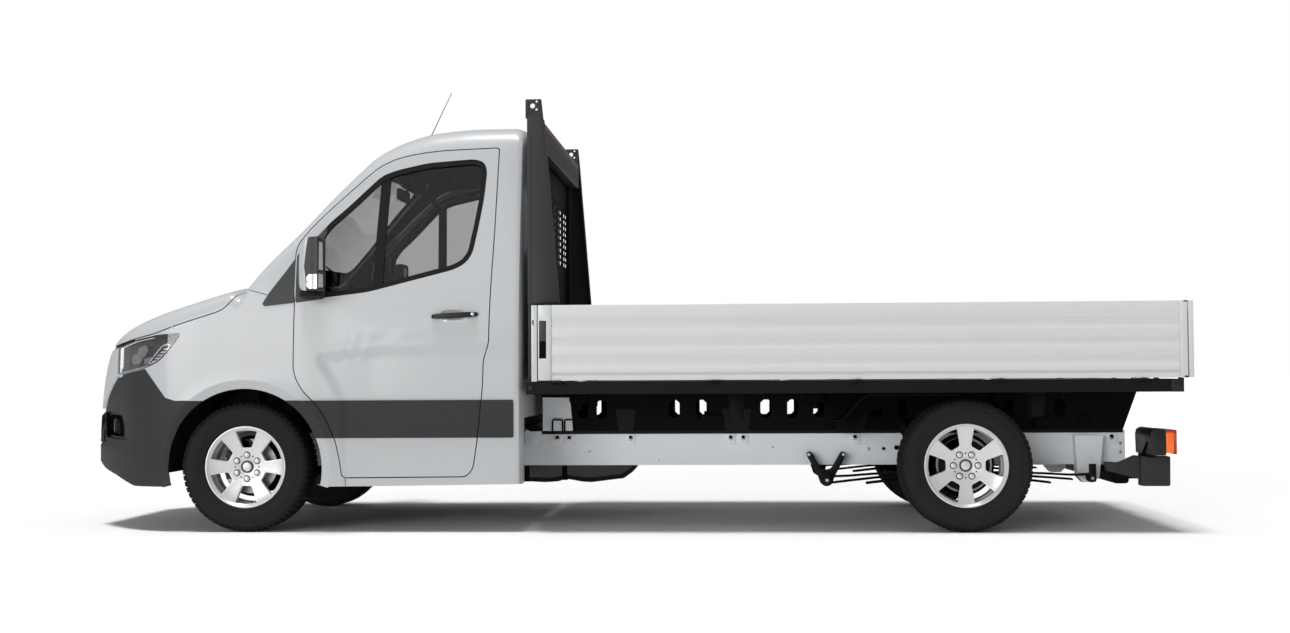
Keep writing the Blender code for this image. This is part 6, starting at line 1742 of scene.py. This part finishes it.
def makeMirror(s):
    k = sides[s]
    body = f"door_{s}"
    low, high = mirror["height"]
    shell = bmesh.new()
    plan = [(x, k * y) for x, y in curved(mirror["plan"], 4)]
    addPrism(shell, plan, "z", low, high)
    shift(shell)
    shell = newObject(f"mirror_{s}_case", shell, "latchGrey")
    cutWith(shell, bothTool(rounded(mirror["outline"], 0.012, 3)), operation="INTERSECT")
    step = shell.modifiers.new("round", "BEVEL")
    step.width, step.segments, step.limit_method, step.angle_limit = 0.018, 5, "ANGLE", math.radians(50)
    settle(shell)
    cap = newObject(f"mirror_{s}_cap", meshOf(shell), "cabPaint")
    light = newObject(f"mirror_{s}_indicator", meshOf(shell), "lampSilver")
    cutWith(cap, bothTool(offset(mirror["cap"], -0.0010)), operation="INTERSECT")
    cutWith(shell, bothTool(mirror["cap"]))
    outer = span(k, 1.120, 1.30)
    cutWith(light, prismTool(offset(mirror["light"], -0.0012), "y", *outer), operation="INTERSECT")
    cutWith(shell, prismTool(mirror["light"], "y", *outer))
    cutWith(shell, boxTool((0.4500, 0.50), span(k, 1.0350, 1.1580), (1.4250, 1.5850), 0.01))
    cutWith(shell, boxTool((0.4500, 0.50), span(k, 1.0350, 1.1580), (1.3300, 1.4120), 0.01))
    place(shell, body, "dark_plastic", f"mirror_{s}")
    place(cap, body, "dark_plastic")
    place(light, body, "lamp_lens")
    panes, ribs, arm = bmesh.new(), bmesh.new(), bmesh.new()
    for z in ((1.4290, 1.5810), (1.3340, 1.4080)):
        addBox(panes, (0.4500, 0.4530), span(k, 1.0390, 1.1540), z, 0.001, 1)
    finishMesh(f"mirror_{s}_panes", panes, "mirrorGlass", body, "glass")
    for x in (0.412, 0.424, 0.436):
        addBox(ribs, (x, x + 0.003), span(k, 1.1660, 1.1722), (1.3300, 1.3960), 0.0006, 1)
    addRod(ribs, (0.4020, k * 1.1640, 1.3620), (0.4020, k * 1.1718, 1.3620), 0.0045, 16)
    finishMesh(f"mirror_{s}_ribs", ribs, "latchGrey", body, "lamp_lens")
    addPrism(arm, [(0.3050, k * 0.955), (0.4200, k * 0.955), (0.4500, k * 1.060), (0.4300, k * 1.130),
                   (0.3600, k * 1.130),
                   (0.3200, k * 1.040)], "z", 1.2870, 1.3180)
    addBox(arm, (0.2950, 0.3750), span(k, 0.9470, 0.9640), (1.2920, 1.3950), 0.006, 3)
    finishMesh(f"mirror_{s}_arm", arm, "rubberSeal", body, "dark_plastic", bevel=0.005, segments=3)


def meshOf(obj):
    mesh = bmesh.new()
    mesh.from_mesh(obj.data)
    return mesh


def roofTop(x, y):
    return float(smoothRows(cab["roof"], np.array([x]))[0] - smoothRows(cab["crown"], np.array([x]))[0]
                 * (abs(y) / 0.8) ** 2.5)


def makeAntenna():
    base, rod = bmesh.new(), bmesh.new()
    foot = roofTop(0.88, -0.30)
    addRod(base, (0.880, -0.30, foot - 0.003), (0.884, -0.30, foot + 0.010), 0.022, 28, 0.016, bevel=0.002)
    addRod(base, (0.884, -0.30, foot + 0.008), (0.906, -0.30, foot + 0.050), 0.0085, 20, 0.0035)
    addRod(rod, (0.905, -0.30, foot + 0.045), (1.0265, -0.30, 2.5265), 0.0026, 12, 0.0018)
    finishMesh("antenna_base", base, "smoothPlastic", "chassis", "dark_plastic", "antenna")
    finishMesh("antenna_rod", rod, "smoothPlastic", "chassis", "dark_plastic")


def makeCowl():
    cowl = skin("cowlCover", (-0.0355, 0.0445), (1.0, 5.0), (24, 160), "darkPlastic", inset=0.004, wall=0.016)
    cutWith(cowl, boxTool((-0.1, 0.2), (-0.795, 0.795), (1.2, 1.7)), operation="INTERSECT")
    slots = bmesh.new()
    for i in range(30):
        y = -0.72 + i * 0.0496
        if abs(y) > 0.06:
            addBox(slots, (-0.012, 0.012), (y - 0.017, y + 0.017), (1.2, 1.7))
    shift(slots)
    cutWith(cowl, newObject("tool", slots))
    place(cowl, "chassis", "dark_plastic", "cowl_panel")
    under = skin("cowlTray", (-0.033, 0.042), (1.0, 5.0), (8, 80), "linerBlack", inset=0.024, wall=0.004)
    cutWith(under, boxTool((-0.1, 0.2), (-0.79, 0.79), (1.2, 1.7)), operation="INTERSECT")
    place(under, "chassis", "dark_plastic")
    arms, blades = bmesh.new(), bmesh.new()
    for start, tip in ((-0.62, 0.02), (-0.02, 0.66)):
        lift = lambda x, y, up: (x - 0.6 * up, y, roofTop(x, y) + 0.8 * up)
        pivot = lift(0.030, start, 0.010)
        addRod(arms, lift(0.030, start, -0.004), lift(0.030, start, 0.020), 0.014, 20, bevel=0.002)
        knee, end = lift(0.060, start * 0.7 + tip * 0.3, 0.022), lift(0.085, start * 0.4 + tip * 0.6, 0.020)
        addRod(arms, pivot, knee, 0.0075, 10)
        addRod(arms, knee, end, 0.0050, 10)
        ys = np.linspace(start + 0.10, tip + 0.12, 15)
        spots = [lift(0.072 + 0.010 * t, y, 0.010) for t, y in zip(np.linspace(0, 1, 15), ys)]
        for a, b in zip(spots, spots[1:]):
            addRod(blades, a, b, 0.0052, 8)
    finishMesh("wiper_arms", arms, "smoothPlastic", "chassis", "dark_plastic")
    finishMesh("wiper_blades", blades, "rubberSeal", "chassis", "dark_plastic")


def makeArchLiner(s):
    k = sides[s]
    mesh = bmesh.new()
    ring = []
    profile = [(0.560, 0.4305), (0.966, 0.4305), (0.966, 0.4335), (0.560, 0.4335)]
    low, high = math.radians(-24), math.radians(184)
    for a in np.linspace(low, high, 61):
        ring.append([mesh.verts.new((r * math.cos(a), k * y, axleZ + r * math.sin(a))) for y, r in profile])
    for one, two in zip(ring, ring[1:]):
        for i in range(4):
            j = (i + 1) % 4
            mesh.faces.new((one[i], one[j], two[j], two[i]))
    mesh.faces.new(ring[0])
    mesh.faces.new(ring[-1][::-1])
    finishMesh(f"arch_{s}_liner", mesh, "linerBlack", "chassis", "dark_plastic")


makeFrameDetails()
for s in sides:
    makeSpring(s)
    makeTailLamp(s)
    makeMirror(s)
    makeArchLiner(s)
makeTank()
makeUnderrun()
makeAntenna()
makeCowl()
print("chassis: built")


# Inside the cab: liners over the skin, door cards, dashboard, steering wheel and seats
def makeLiners():
    roof = skin("roofLiner", (0.10, 1.465), (1.05, 4.95), (80, 90), "headCloth", inset=0.036, wall=0.006)
    cutWith(roof, boxTool((0.0, 1.60), (-1.2, 1.2), (1.30, 2.4)), operation="INTERSECT")
    cutWith(roof, prismTool(offset(screenShape, -0.012), "x", -0.2, 0.85))
    for k in sides.values():
        cutWith(roof, sideTool(offset(doorShape, 0.010), k, 0.78))
    place(roof, "chassis", "dark_plastic")
    for k, s in ((-1, "left"), (1, "right")):
        v = (0, 1.6) if k < 0 else (4.4, 6)
        pillar = skin(f"pillar_{s}_liner", (1.30, 1.465), v, (20, 60), "headCloth", inset=0.036, wall=0.006)
        cutWith(pillar, boxTool((1.0, 1.60), (-1.2, 1.2), (0.45, 2.2)), operation="INTERSECT")
        place(pillar, "chassis", "dark_plastic")
        screenPost = skin(f"screen_{s}_liner", (0.02, 0.80), (0.85, 1.35) if k < 0 else (4.65, 5.15), (60, 16),
                          "headCloth",
                          inset=0.036, wall=0.006)
        cutWith(screenPost, sideTool(offset(doorShape, 0.004), k, 0.78))
        cutWith(screenPost, prismTool(offset(screenShape, -0.012), "x", -0.2, 0.85))
        place(screenPost, "chassis", "dark_plastic")
    wall = bmesh.new()
    edge = [(float(sideAt(np.array([1.47]), np.array([z]))[0]) - 0.048, z) for z in (0.45, 0.75, 1.25, 1.6, 1.9,
            2.08)]
    addPrism(wall, edge + [(-y, z) for y, z in edge[::-1]], "x", 1.4700, 1.4760)
    shift(wall)
    wall = newObject("rear_liner", wall, "headCloth")
    cutWith(wall, prismTool(offset(rearShape, 0.002), "x", 1.40, 1.60))
    place(wall, "chassis", "dark_plastic")
    mesh = bmesh.new()
    for k in sides.values():
        verts = addBox(mesh, (0.700, 0.716), span(k, 0.10, 0.60), (1.90, 2.05), 0.006, 2)
        bmesh.ops.rotate(mesh, verts=verts, cent=(0.708, 0, 2.05), matrix=Matrix.Rotation(math.radians(-38), 3, "Y"))
        addRod(mesh, (0.86, k * 0.55, 2.13), (0.86, k * 0.70, 2.115), 0.010, 12, bevel=0.003)
        addRod(mesh, (1.12, k * 0.55, 2.14), (1.12, k * 0.70, 2.125), 0.010, 12, bevel=0.003)
    addBox(mesh, (0.655, 0.690), (-0.125, 0.125), (1.915, 1.985), 0.012, 3)
    addRod(mesh, (0.690, 0, 1.960), (0.735, 0, 2.085), 0.010, 12)
    finishMesh("cab_visors", mesh, "interiorGrey", "chassis", "dark_plastic")


def makeDoorCard(s):
    k = sides[s]
    card = sideSheet(f"door_{s}_card", offset(doorShape, -0.030), k, "interiorDark", out=-0.036, wall=0.010,
                     cells=(60, 80))
    cutWith(card, sideTool(offset(windowShape, 0.006), k))
    place(card, f"door_{s}", "dark_plastic")
    mesh = bmesh.new()
    y = onSide(0.9, 0.9) - 0.100
    addBox(mesh, (0.50, 1.20), span(k, y, y + 0.066), (0.980, 1.030), 0.014, 3)
    addBox(mesh, (0.48, 1.10), span(k, y + 0.010, y + 0.066), (0.460, 0.580), 0.016, 3)
    addBox(mesh, (0.60, 0.78), span(k, y + 0.034, y + 0.066), (1.100, 1.150), 0.010, 3)
    finishMesh(f"door_{s}_rest", mesh, "interiorGrey", f"door_{s}", "dark_plastic")


dash = dict(profile=[(0.140, 1.250), (0.150, 1.318), (0.300, 1.322), (0.430, 1.305), (0.520, 1.262), (0.548, 1.215),
                     (0.530, 1.150), (0.560, 1.020), (0.560, 0.945), (0.480, 0.880), (0.300, 0.850), (0.150, 0.860)],
            vents=(-0.82, -0.16, 0.16, 0.82))


def makeDashboard():
    mesh = bmesh.new()
    addPrism(mesh, curved(dash["profile"], 3), "y", -0.915, 0.915)
    shift(mesh)
    board = newObject("dashboard_body", mesh, "interiorDark")
    cutWith(board, boxTool((0.47, 0.62), (-0.60, -0.24), (1.075, 1.255), 0.02),
            boxTool((0.47, 0.62), (0.28, 0.78), (1.155, 1.235), 0.015))
    softenEdges(board, 0.008, 3, 60)
    place(board, "chassis", "dark_plastic", "dashboard")
    parts, glowing, vents = bmesh.new(), bmesh.new(), bmesh.new()
    addPrism(parts, [(0.400, 1.285), (0.440, 1.329), (0.520, 1.318), (0.548, 1.270), (0.500, 1.240)], "y", -0.62,
             -0.22)
    addBox(parts, (0.500, 0.570), (-0.135, 0.135), (0.930, 1.070), 0.012, 3)
    addBox(parts, (0.530, 0.556), (-0.130, 0.130), (1.095, 1.125), 0.006, 2)
    addBox(parts, (0.400, 0.640), (-0.110, 0.110), (0.845, 0.945), 0.030, 4)
    addRod(parts, (0.560, 0.05, 0.925), (0.590, 0.05, 1.040), 0.010, 16)
    ball = bmesh.ops.create_uvsphere(parts, u_segments=24, v_segments=16, radius=0.026)
    bmesh.ops.translate(parts, vec=(0.592, 0.05, 1.058), verts=ball["verts"])
    finishMesh("dashboard_parts", parts, "smoothPlastic", "chassis", "dark_plastic", bevel=0.003)
    addBox(glowing, (0.505, 0.512), (-0.56, -0.28), (1.110, 1.225), 0.004, 2)
    addBox(glowing, (0.541, 0.549), (-0.110, 0.110), (1.145, 1.268), 0.006, 3)
    finishMesh("dashboard_screens", glowing, "tankGloss", "chassis", "glass")
    for y in dash["vents"]:
        addRod(vents, (0.495, y, 1.200), (0.552, y, 1.190), 0.042, 32, bevel=0.005)
        for dz in (-0.020, 0.0, 0.020):
            addBox(vents, (0.549, 0.556), (y - 0.034, y + 0.034), (1.188 + dz, 1.194 + dz), 0.001, 1)
    finishMesh("dashboard_vents", vents, "lampGrey", "chassis", "dark_plastic")


wheel = dict(centre=(0.674, -0.42, 1.147), top=(0.802, 1.313), axis=((0.45, 0.98), (0.634, 1.117)), ring=0.186,
             thick=0.0155)


def makeSteeringWheel():
    (x0, z0), (x1, z1) = wheel["axis"]
    lean = math.atan2(z1 - z0, x1 - x0)
    face = Matrix.Rotation(-lean, 4, "Y") @ Matrix.Rotation(math.radians(90), 4, "Y")
    centre = Vector(wheel["centre"])
    mesh = bmesh.new()
    steps, around = 72, 20
    rows = []
    for i in range(steps):
        a = math.tau * i / steps
        row = []
        for j in range(around):
            b = math.tau * j / around
            r = wheel["ring"] + wheel["thick"] * math.cos(b)
            spot = Vector((r * math.cos(a), r * math.sin(a), wheel["thick"] * 1.1 * math.sin(b)))
            row.append(mesh.verts.new(centre + face @ spot))
        rows.append(row)
    for i in range(steps):
        for j in range(around):
            one, two = rows[i], rows[(i + 1) % steps]
            mesh.faces.new((one[j], one[(j + 1) % around], two[(j + 1) % around], two[j]))
    finishMesh("steering_ring", mesh, "seatSide", "steering_wheel", "dark_plastic", "steering_wheel")
    mesh = bmesh.new()
    for angle in (0, 180, 62, 118):
        a = math.radians(angle)
        arm = bmesh.ops.create_cube(mesh, size=1)
        bmesh.ops.scale(mesh, vec=(wheel["ring"] - 0.045, 0.034 if angle in (0, 180) else 0.022, 0.012),
                        verts=arm["verts"])
        bmesh.ops.translate(mesh, vec=((wheel["ring"] + 0.045) / 2, 0, -0.010), verts=arm["verts"])
        bmesh.ops.rotate(mesh, verts=arm["verts"], cent=(0, 0, 0), matrix=Matrix.Rotation(a + math.pi / 2, 3, "Z"))
    hub = bmesh.ops.create_cube(mesh, size=1)
    bmesh.ops.scale(mesh, vec=(0.118, 0.142, 0.044), verts=hub["verts"])
    bmesh.ops.translate(mesh, vec=(0, 0, -0.010), verts=hub["verts"])
    bmesh.ops.transform(mesh, matrix=Matrix.Translation(centre) @ face, verts=mesh.verts)
    finishMesh("steering_hub", mesh, "smoothPlastic", "steering_wheel", "dark_plastic", bevel=0.008, segments=3)
    column = bmesh.new()
    addRod(column, (0.470, -0.42, 0.995), (0.640, -0.42, 1.121), 0.034, 28, bevel=0.004)
    finishMesh("steering_column", column, "interiorDark", "steering_wheel", "dark_plastic")


def softBlock(x, y, z, lean=0.0, pivot=None, radius=0.03):
    mesh = bmesh.new()
    addBox(mesh, x, y, z, radius, 3)
    if lean:
        bmesh.ops.rotate(mesh, verts=mesh.verts, cent=(pivot[0], 0, pivot[1]), matrix=Matrix.Rotation(lean, 3, "Y"))
    return mesh


def makeCushion(name, mesh, finish, replaced=None, puff=0.010):
    shift(mesh)
    obj = newObject(name, mesh, finish)
    remesh = obj.modifiers.new("even", "REMESH")
    remesh.mode, remesh.voxel_size = "VOXEL", 0.0075
    settle(obj, 60)
    data = obj.data
    rest = np.empty(len(data.vertices) * 3)
    data.vertices.foreach_get("co", rest)
    rest = rest.reshape(-1, 3)
    cloth = obj.modifiers.new("fill", "CLOTH")
    settings = cloth.settings
    settings.use_pressure, settings.uniform_pressure_force = True, 4.0
    settings.mass, settings.quality = 0.4, 6
    settings.tension_stiffness = settings.compression_stiffness = 40
    settings.bending_stiffness = 2.0
    settings.effector_weights.gravity = 0
    cloth.collision_settings.use_collision = False
    cloth.collision_settings.use_self_collision = False
    cloth.point_cache.frame_start, cloth.point_cache.frame_end = 1, 14
    for step in range(1, 15):
        bpy.context.scene.frame_set(step)
    graph = bpy.context.evaluated_depsgraph_get()
    moved = obj.evaluated_get(graph).data
    now = np.empty(len(moved.vertices) * 3)
    moved.vertices.foreach_get("co", now)
    push = now.reshape(-1, 3) - rest
    far = np.linalg.norm(push, axis=1, keepdims=True)
    push = push * np.minimum(1.0, puff / np.maximum(far, 1e-9))
    obj.modifiers.clear()
    bpy.context.scene.frame_set(1)
    data.vertices.foreach_set("co", (rest + push).ravel())
    data.update()
    smoothing = obj.modifiers.new("smooth", "SMOOTH")
    smoothing.factor, smoothing.iterations = 0.5, 4
    settle(obj, 70)
    return place(obj, "chassis", "seat_cloth", *([replaced] if replaced else []))


seats = dict(driver_seat=(-0.695, -0.205), passenger_seat=(-0.095, 0.795))


def makeSeat(name):
    low, high = seats[name]
    places = [(low, high)] if high - low < 0.6 else [(low, (low + high) / 2 - 0.004),
                                                     ((low + high) / 2 + 0.004, high)]
    frameMesh = bmesh.new()
    addBox(frameMesh, (0.86, 1.30), (low + 0.04, high - 0.04), (0.570, 0.780), 0.02, 3)
    addBox(frameMesh, (0.83, 1.36), (low + 0.015, high - 0.015), (0.770, 0.815), 0.015, 3)
    verts = addBox(frameMesh, (1.365, 1.410), (low + 0.03, high - 0.03), (0.86, 1.50), 0.02, 3)
    bmesh.ops.rotate(frameMesh, verts=verts, cent=(1.30, 0, 0.85), matrix=Matrix.Rotation(math.radians(5), 3, "Y"))
    for y0, y1 in places:
        middle = (y0 + y1) / 2
        for dy in (-0.055, 0.055):
            addRod(frameMesh, (1.400, middle + dy, 1.50), (1.412, middle + dy, 1.66), 0.006, 12)
    finishMesh(f"{name}_frame", frameMesh, "interiorGrey", "chassis", "dark_plastic", name)
    for i, (y0, y1) in enumerate(places):
        tag = f"{name}_{i}"
        makeCushion(f"{tag}_base", softBlock((0.815, 1.330), (y0 + 0.012, y1 - 0.012), (0.815, 0.935),
                                             radius=0.035), "seatCloth")
        back = softBlock((1.270, 1.370), (y0 + 0.022, y1 - 0.022), (0.900, 1.545), math.radians(5), (1.30, 0.90),
                         0.035)
        makeCushion(f"{tag}_back", back, "seatCloth")
        for side, (a, b) in enumerate(((y0 + 0.006, y0 + 0.070), (y1 - 0.070, y1 - 0.006))):
            makeCushion(f"{tag}_side_{side}", softBlock((1.235, 1.360), (a, b), (0.930, 1.420), math.radians(5),
                                                        (1.30, 0.90),
                                                        0.026), "seatSide", puff=0.004)
        rest = softBlock((1.335, 1.425), ((y0 + y1) / 2 - 0.125, (y0 + y1) / 2 + 0.125), (1.610, 1.800),
                         math.radians(3),
                         (1.38, 1.61), 0.035)
        makeCushion(f"{tag}_rest", rest, "seatCloth")


def makeBrakes(s):
    k = sides[s]
    for name, x, body in ((f"front_{s}", 0.0, f"knuckle_{s}"), (f"rear_{s}", wheelbase, "chassis")):
        disc, shield, block = bmesh.new(), bmesh.new(), bmesh.new()
        centre = (x, 0.0, axleZ)
        addSpin(disc, [(0.8490, 0.085), (0.8490, 0.150), (0.8580, 0.1505), (0.8670, 0.150), (0.8670, 0.085)],
                centre, 72, k)
        addSpin(shield, [(0.8000, 0.050), (0.8000, 0.168), (0.8120, 0.170), (0.8120, 0.166), (0.8040, 0.164),
                         (0.8040, 0.050)],
                centre, 72, k)
        for i in range(7):
            a = math.radians(100 + i * 7)
            spot = (x + 0.118 * math.cos(a), axleZ + 0.118 * math.sin(a))
            addRod(block, (spot[0], k * 0.8200, spot[1]), (spot[0], k * 0.8740, spot[1]), 0.036, 16, bevel=0.004)
        finishMesh(f"brake_{name}_disc", disc, "discSteel", body, "cast_iron")
        finishMesh(f"brake_{name}_shield", shield, "chassisBlack", body, "cast_iron")
        finishMesh(f"brake_{name}_caliper", block, "castIron", body, "cast_iron")


# The pieces kept from the CAD get a finish each
kept = dict(cab_floor="interiorDark", front_cradle="chassisBlack", engine_block="castIron", driveshaft="satinBlack",
            rear_axle="satinBlack", chassis_frame="framePaint", subframe="chassisBlack", knuckle_left="castIron",
            knuckle_right="castIron")


def dressNodes():
    for node, finish in kept.items():
        obj = bpy.data.objects[node]
        for i in range(len(obj.material_slots)):
            obj.material_slots[i].link = "OBJECT"
            obj.material_slots[i].material = made[finish]


makeLiners()
makeDashboard()
makeSteeringWheel()
for s in sides:
    makeDoorCard(s)
    makeBrakes(s)
for name in seats:
    makeSeat(name)
dressNodes()
print("inside: built")


# Floor, light and camera
studio = dict(world=0.26, floor=0.75,
              suns=[("overheadLight", 2.25, 14, (-0.05, -0.10, 1.0)), ("sideLight", 1.45, 36, (-0.50, -0.86, 0.07))])


def makeStudio():
    mesh = bmesh.new()
    bmesh.ops.create_grid(mesh, x_segments=1, y_segments=1, size=60)
    data = bpy.data.meshes.new("studioFloor")
    mesh.to_mesh(data)
    mesh.free()
    floor = bpy.data.objects.new("studioFloor", data)
    bpy.context.scene.collection.objects.link(floor)
    material, tree, shader = newMaterial("studioFloor")
    path = addNode(tree, "ShaderNodeLightPath")
    tone = addNode(tree, "ShaderNodeMix", {0: path.outputs["Is Camera Ray"]}, data_type="RGBA")
    tone.inputs[6].default_value = (studio["floor"],) * 3 + (1,)
    tone.inputs[7].default_value = (1.0, 1.0, 1.0, 1)
    tree.links.new(tone.outputs[2], shader.inputs["Base Color"])
    shader.inputs["Roughness"].default_value = 1.0
    shader.inputs["Specular IOR Level"].default_value = 0.0
    data.materials.append(material)
    world = bpy.data.worlds.new("studio")
    bpy.context.scene.world = world
    world.use_nodes = True
    tree = world.node_tree
    sky = tree.nodes["Background"]
    path = addNode(tree, "ShaderNodeLightPath")
    seen = addNode(tree, "ShaderNodeMath", {0: path.outputs["Is Camera Ray"], 1: path.outputs["Is Transmission Ray"]},
                   operation="MAXIMUM")
    level = addNode(tree, "ShaderNodeMapRange", {"Value": seen.outputs[0], "To Min": studio["world"], "To Max": 1.0})
    tree.links.new(level.outputs["Result"], sky.inputs["Strength"])
    sky.inputs["Color"].default_value = (1, 1, 1, 1)
    for name, strength, softness, toward in studio["suns"]:
        lamp = bpy.data.lights.new(name, "SUN")
        lamp.energy = strength
        lamp.angle = math.radians(softness)
        obj = bpy.data.objects.new(name, lamp)
        obj.rotation_euler = Vector(toward).to_track_quat("Z", "Y").to_euler()
        bpy.context.scene.collection.objects.link(obj)


# The camera as fitted to the photo: its place, and its turn, tilt and roll in degrees
lens = dict(place=(2.744, -9.711, 0.849), yaw=3.522, pitch=2.086, roll=-0.299, focal=1614.1, wide=1290)


def makeCamera():
    camera = bpy.data.cameras.new("photoCamera")
    camera.sensor_width = 36
    camera.lens = 36 * lens["focal"] / lens["wide"]
    camera.clip_end = 200
    obj = bpy.data.objects.new("photoCamera", camera)
    yaw, pitch, roll = (math.radians(lens[key]) for key in ("yaw", "pitch", "roll"))
    right = Vector((math.cos(yaw), math.sin(yaw), 0))
    ahead = Vector((-math.sin(yaw) * math.cos(pitch), math.cos(yaw) * math.cos(pitch), math.sin(pitch)))
    up = right.cross(ahead)
    axisX = right * math.cos(roll) + up * math.sin(roll)
    axisY = up * math.cos(roll) - right * math.sin(roll)
    turn = Matrix((axisX, axisY, -ahead)).transposed()
    obj.matrix_world = Matrix.Translation((lens["place"][0] + frontX, *lens["place"][1:])) @ turn.to_4x4()
    bpy.context.scene.collection.objects.link(obj)
    bpy.context.scene.camera = obj


makeStudio()
makeCamera()
bpy.context.scene.view_settings.view_transform = "Standard"
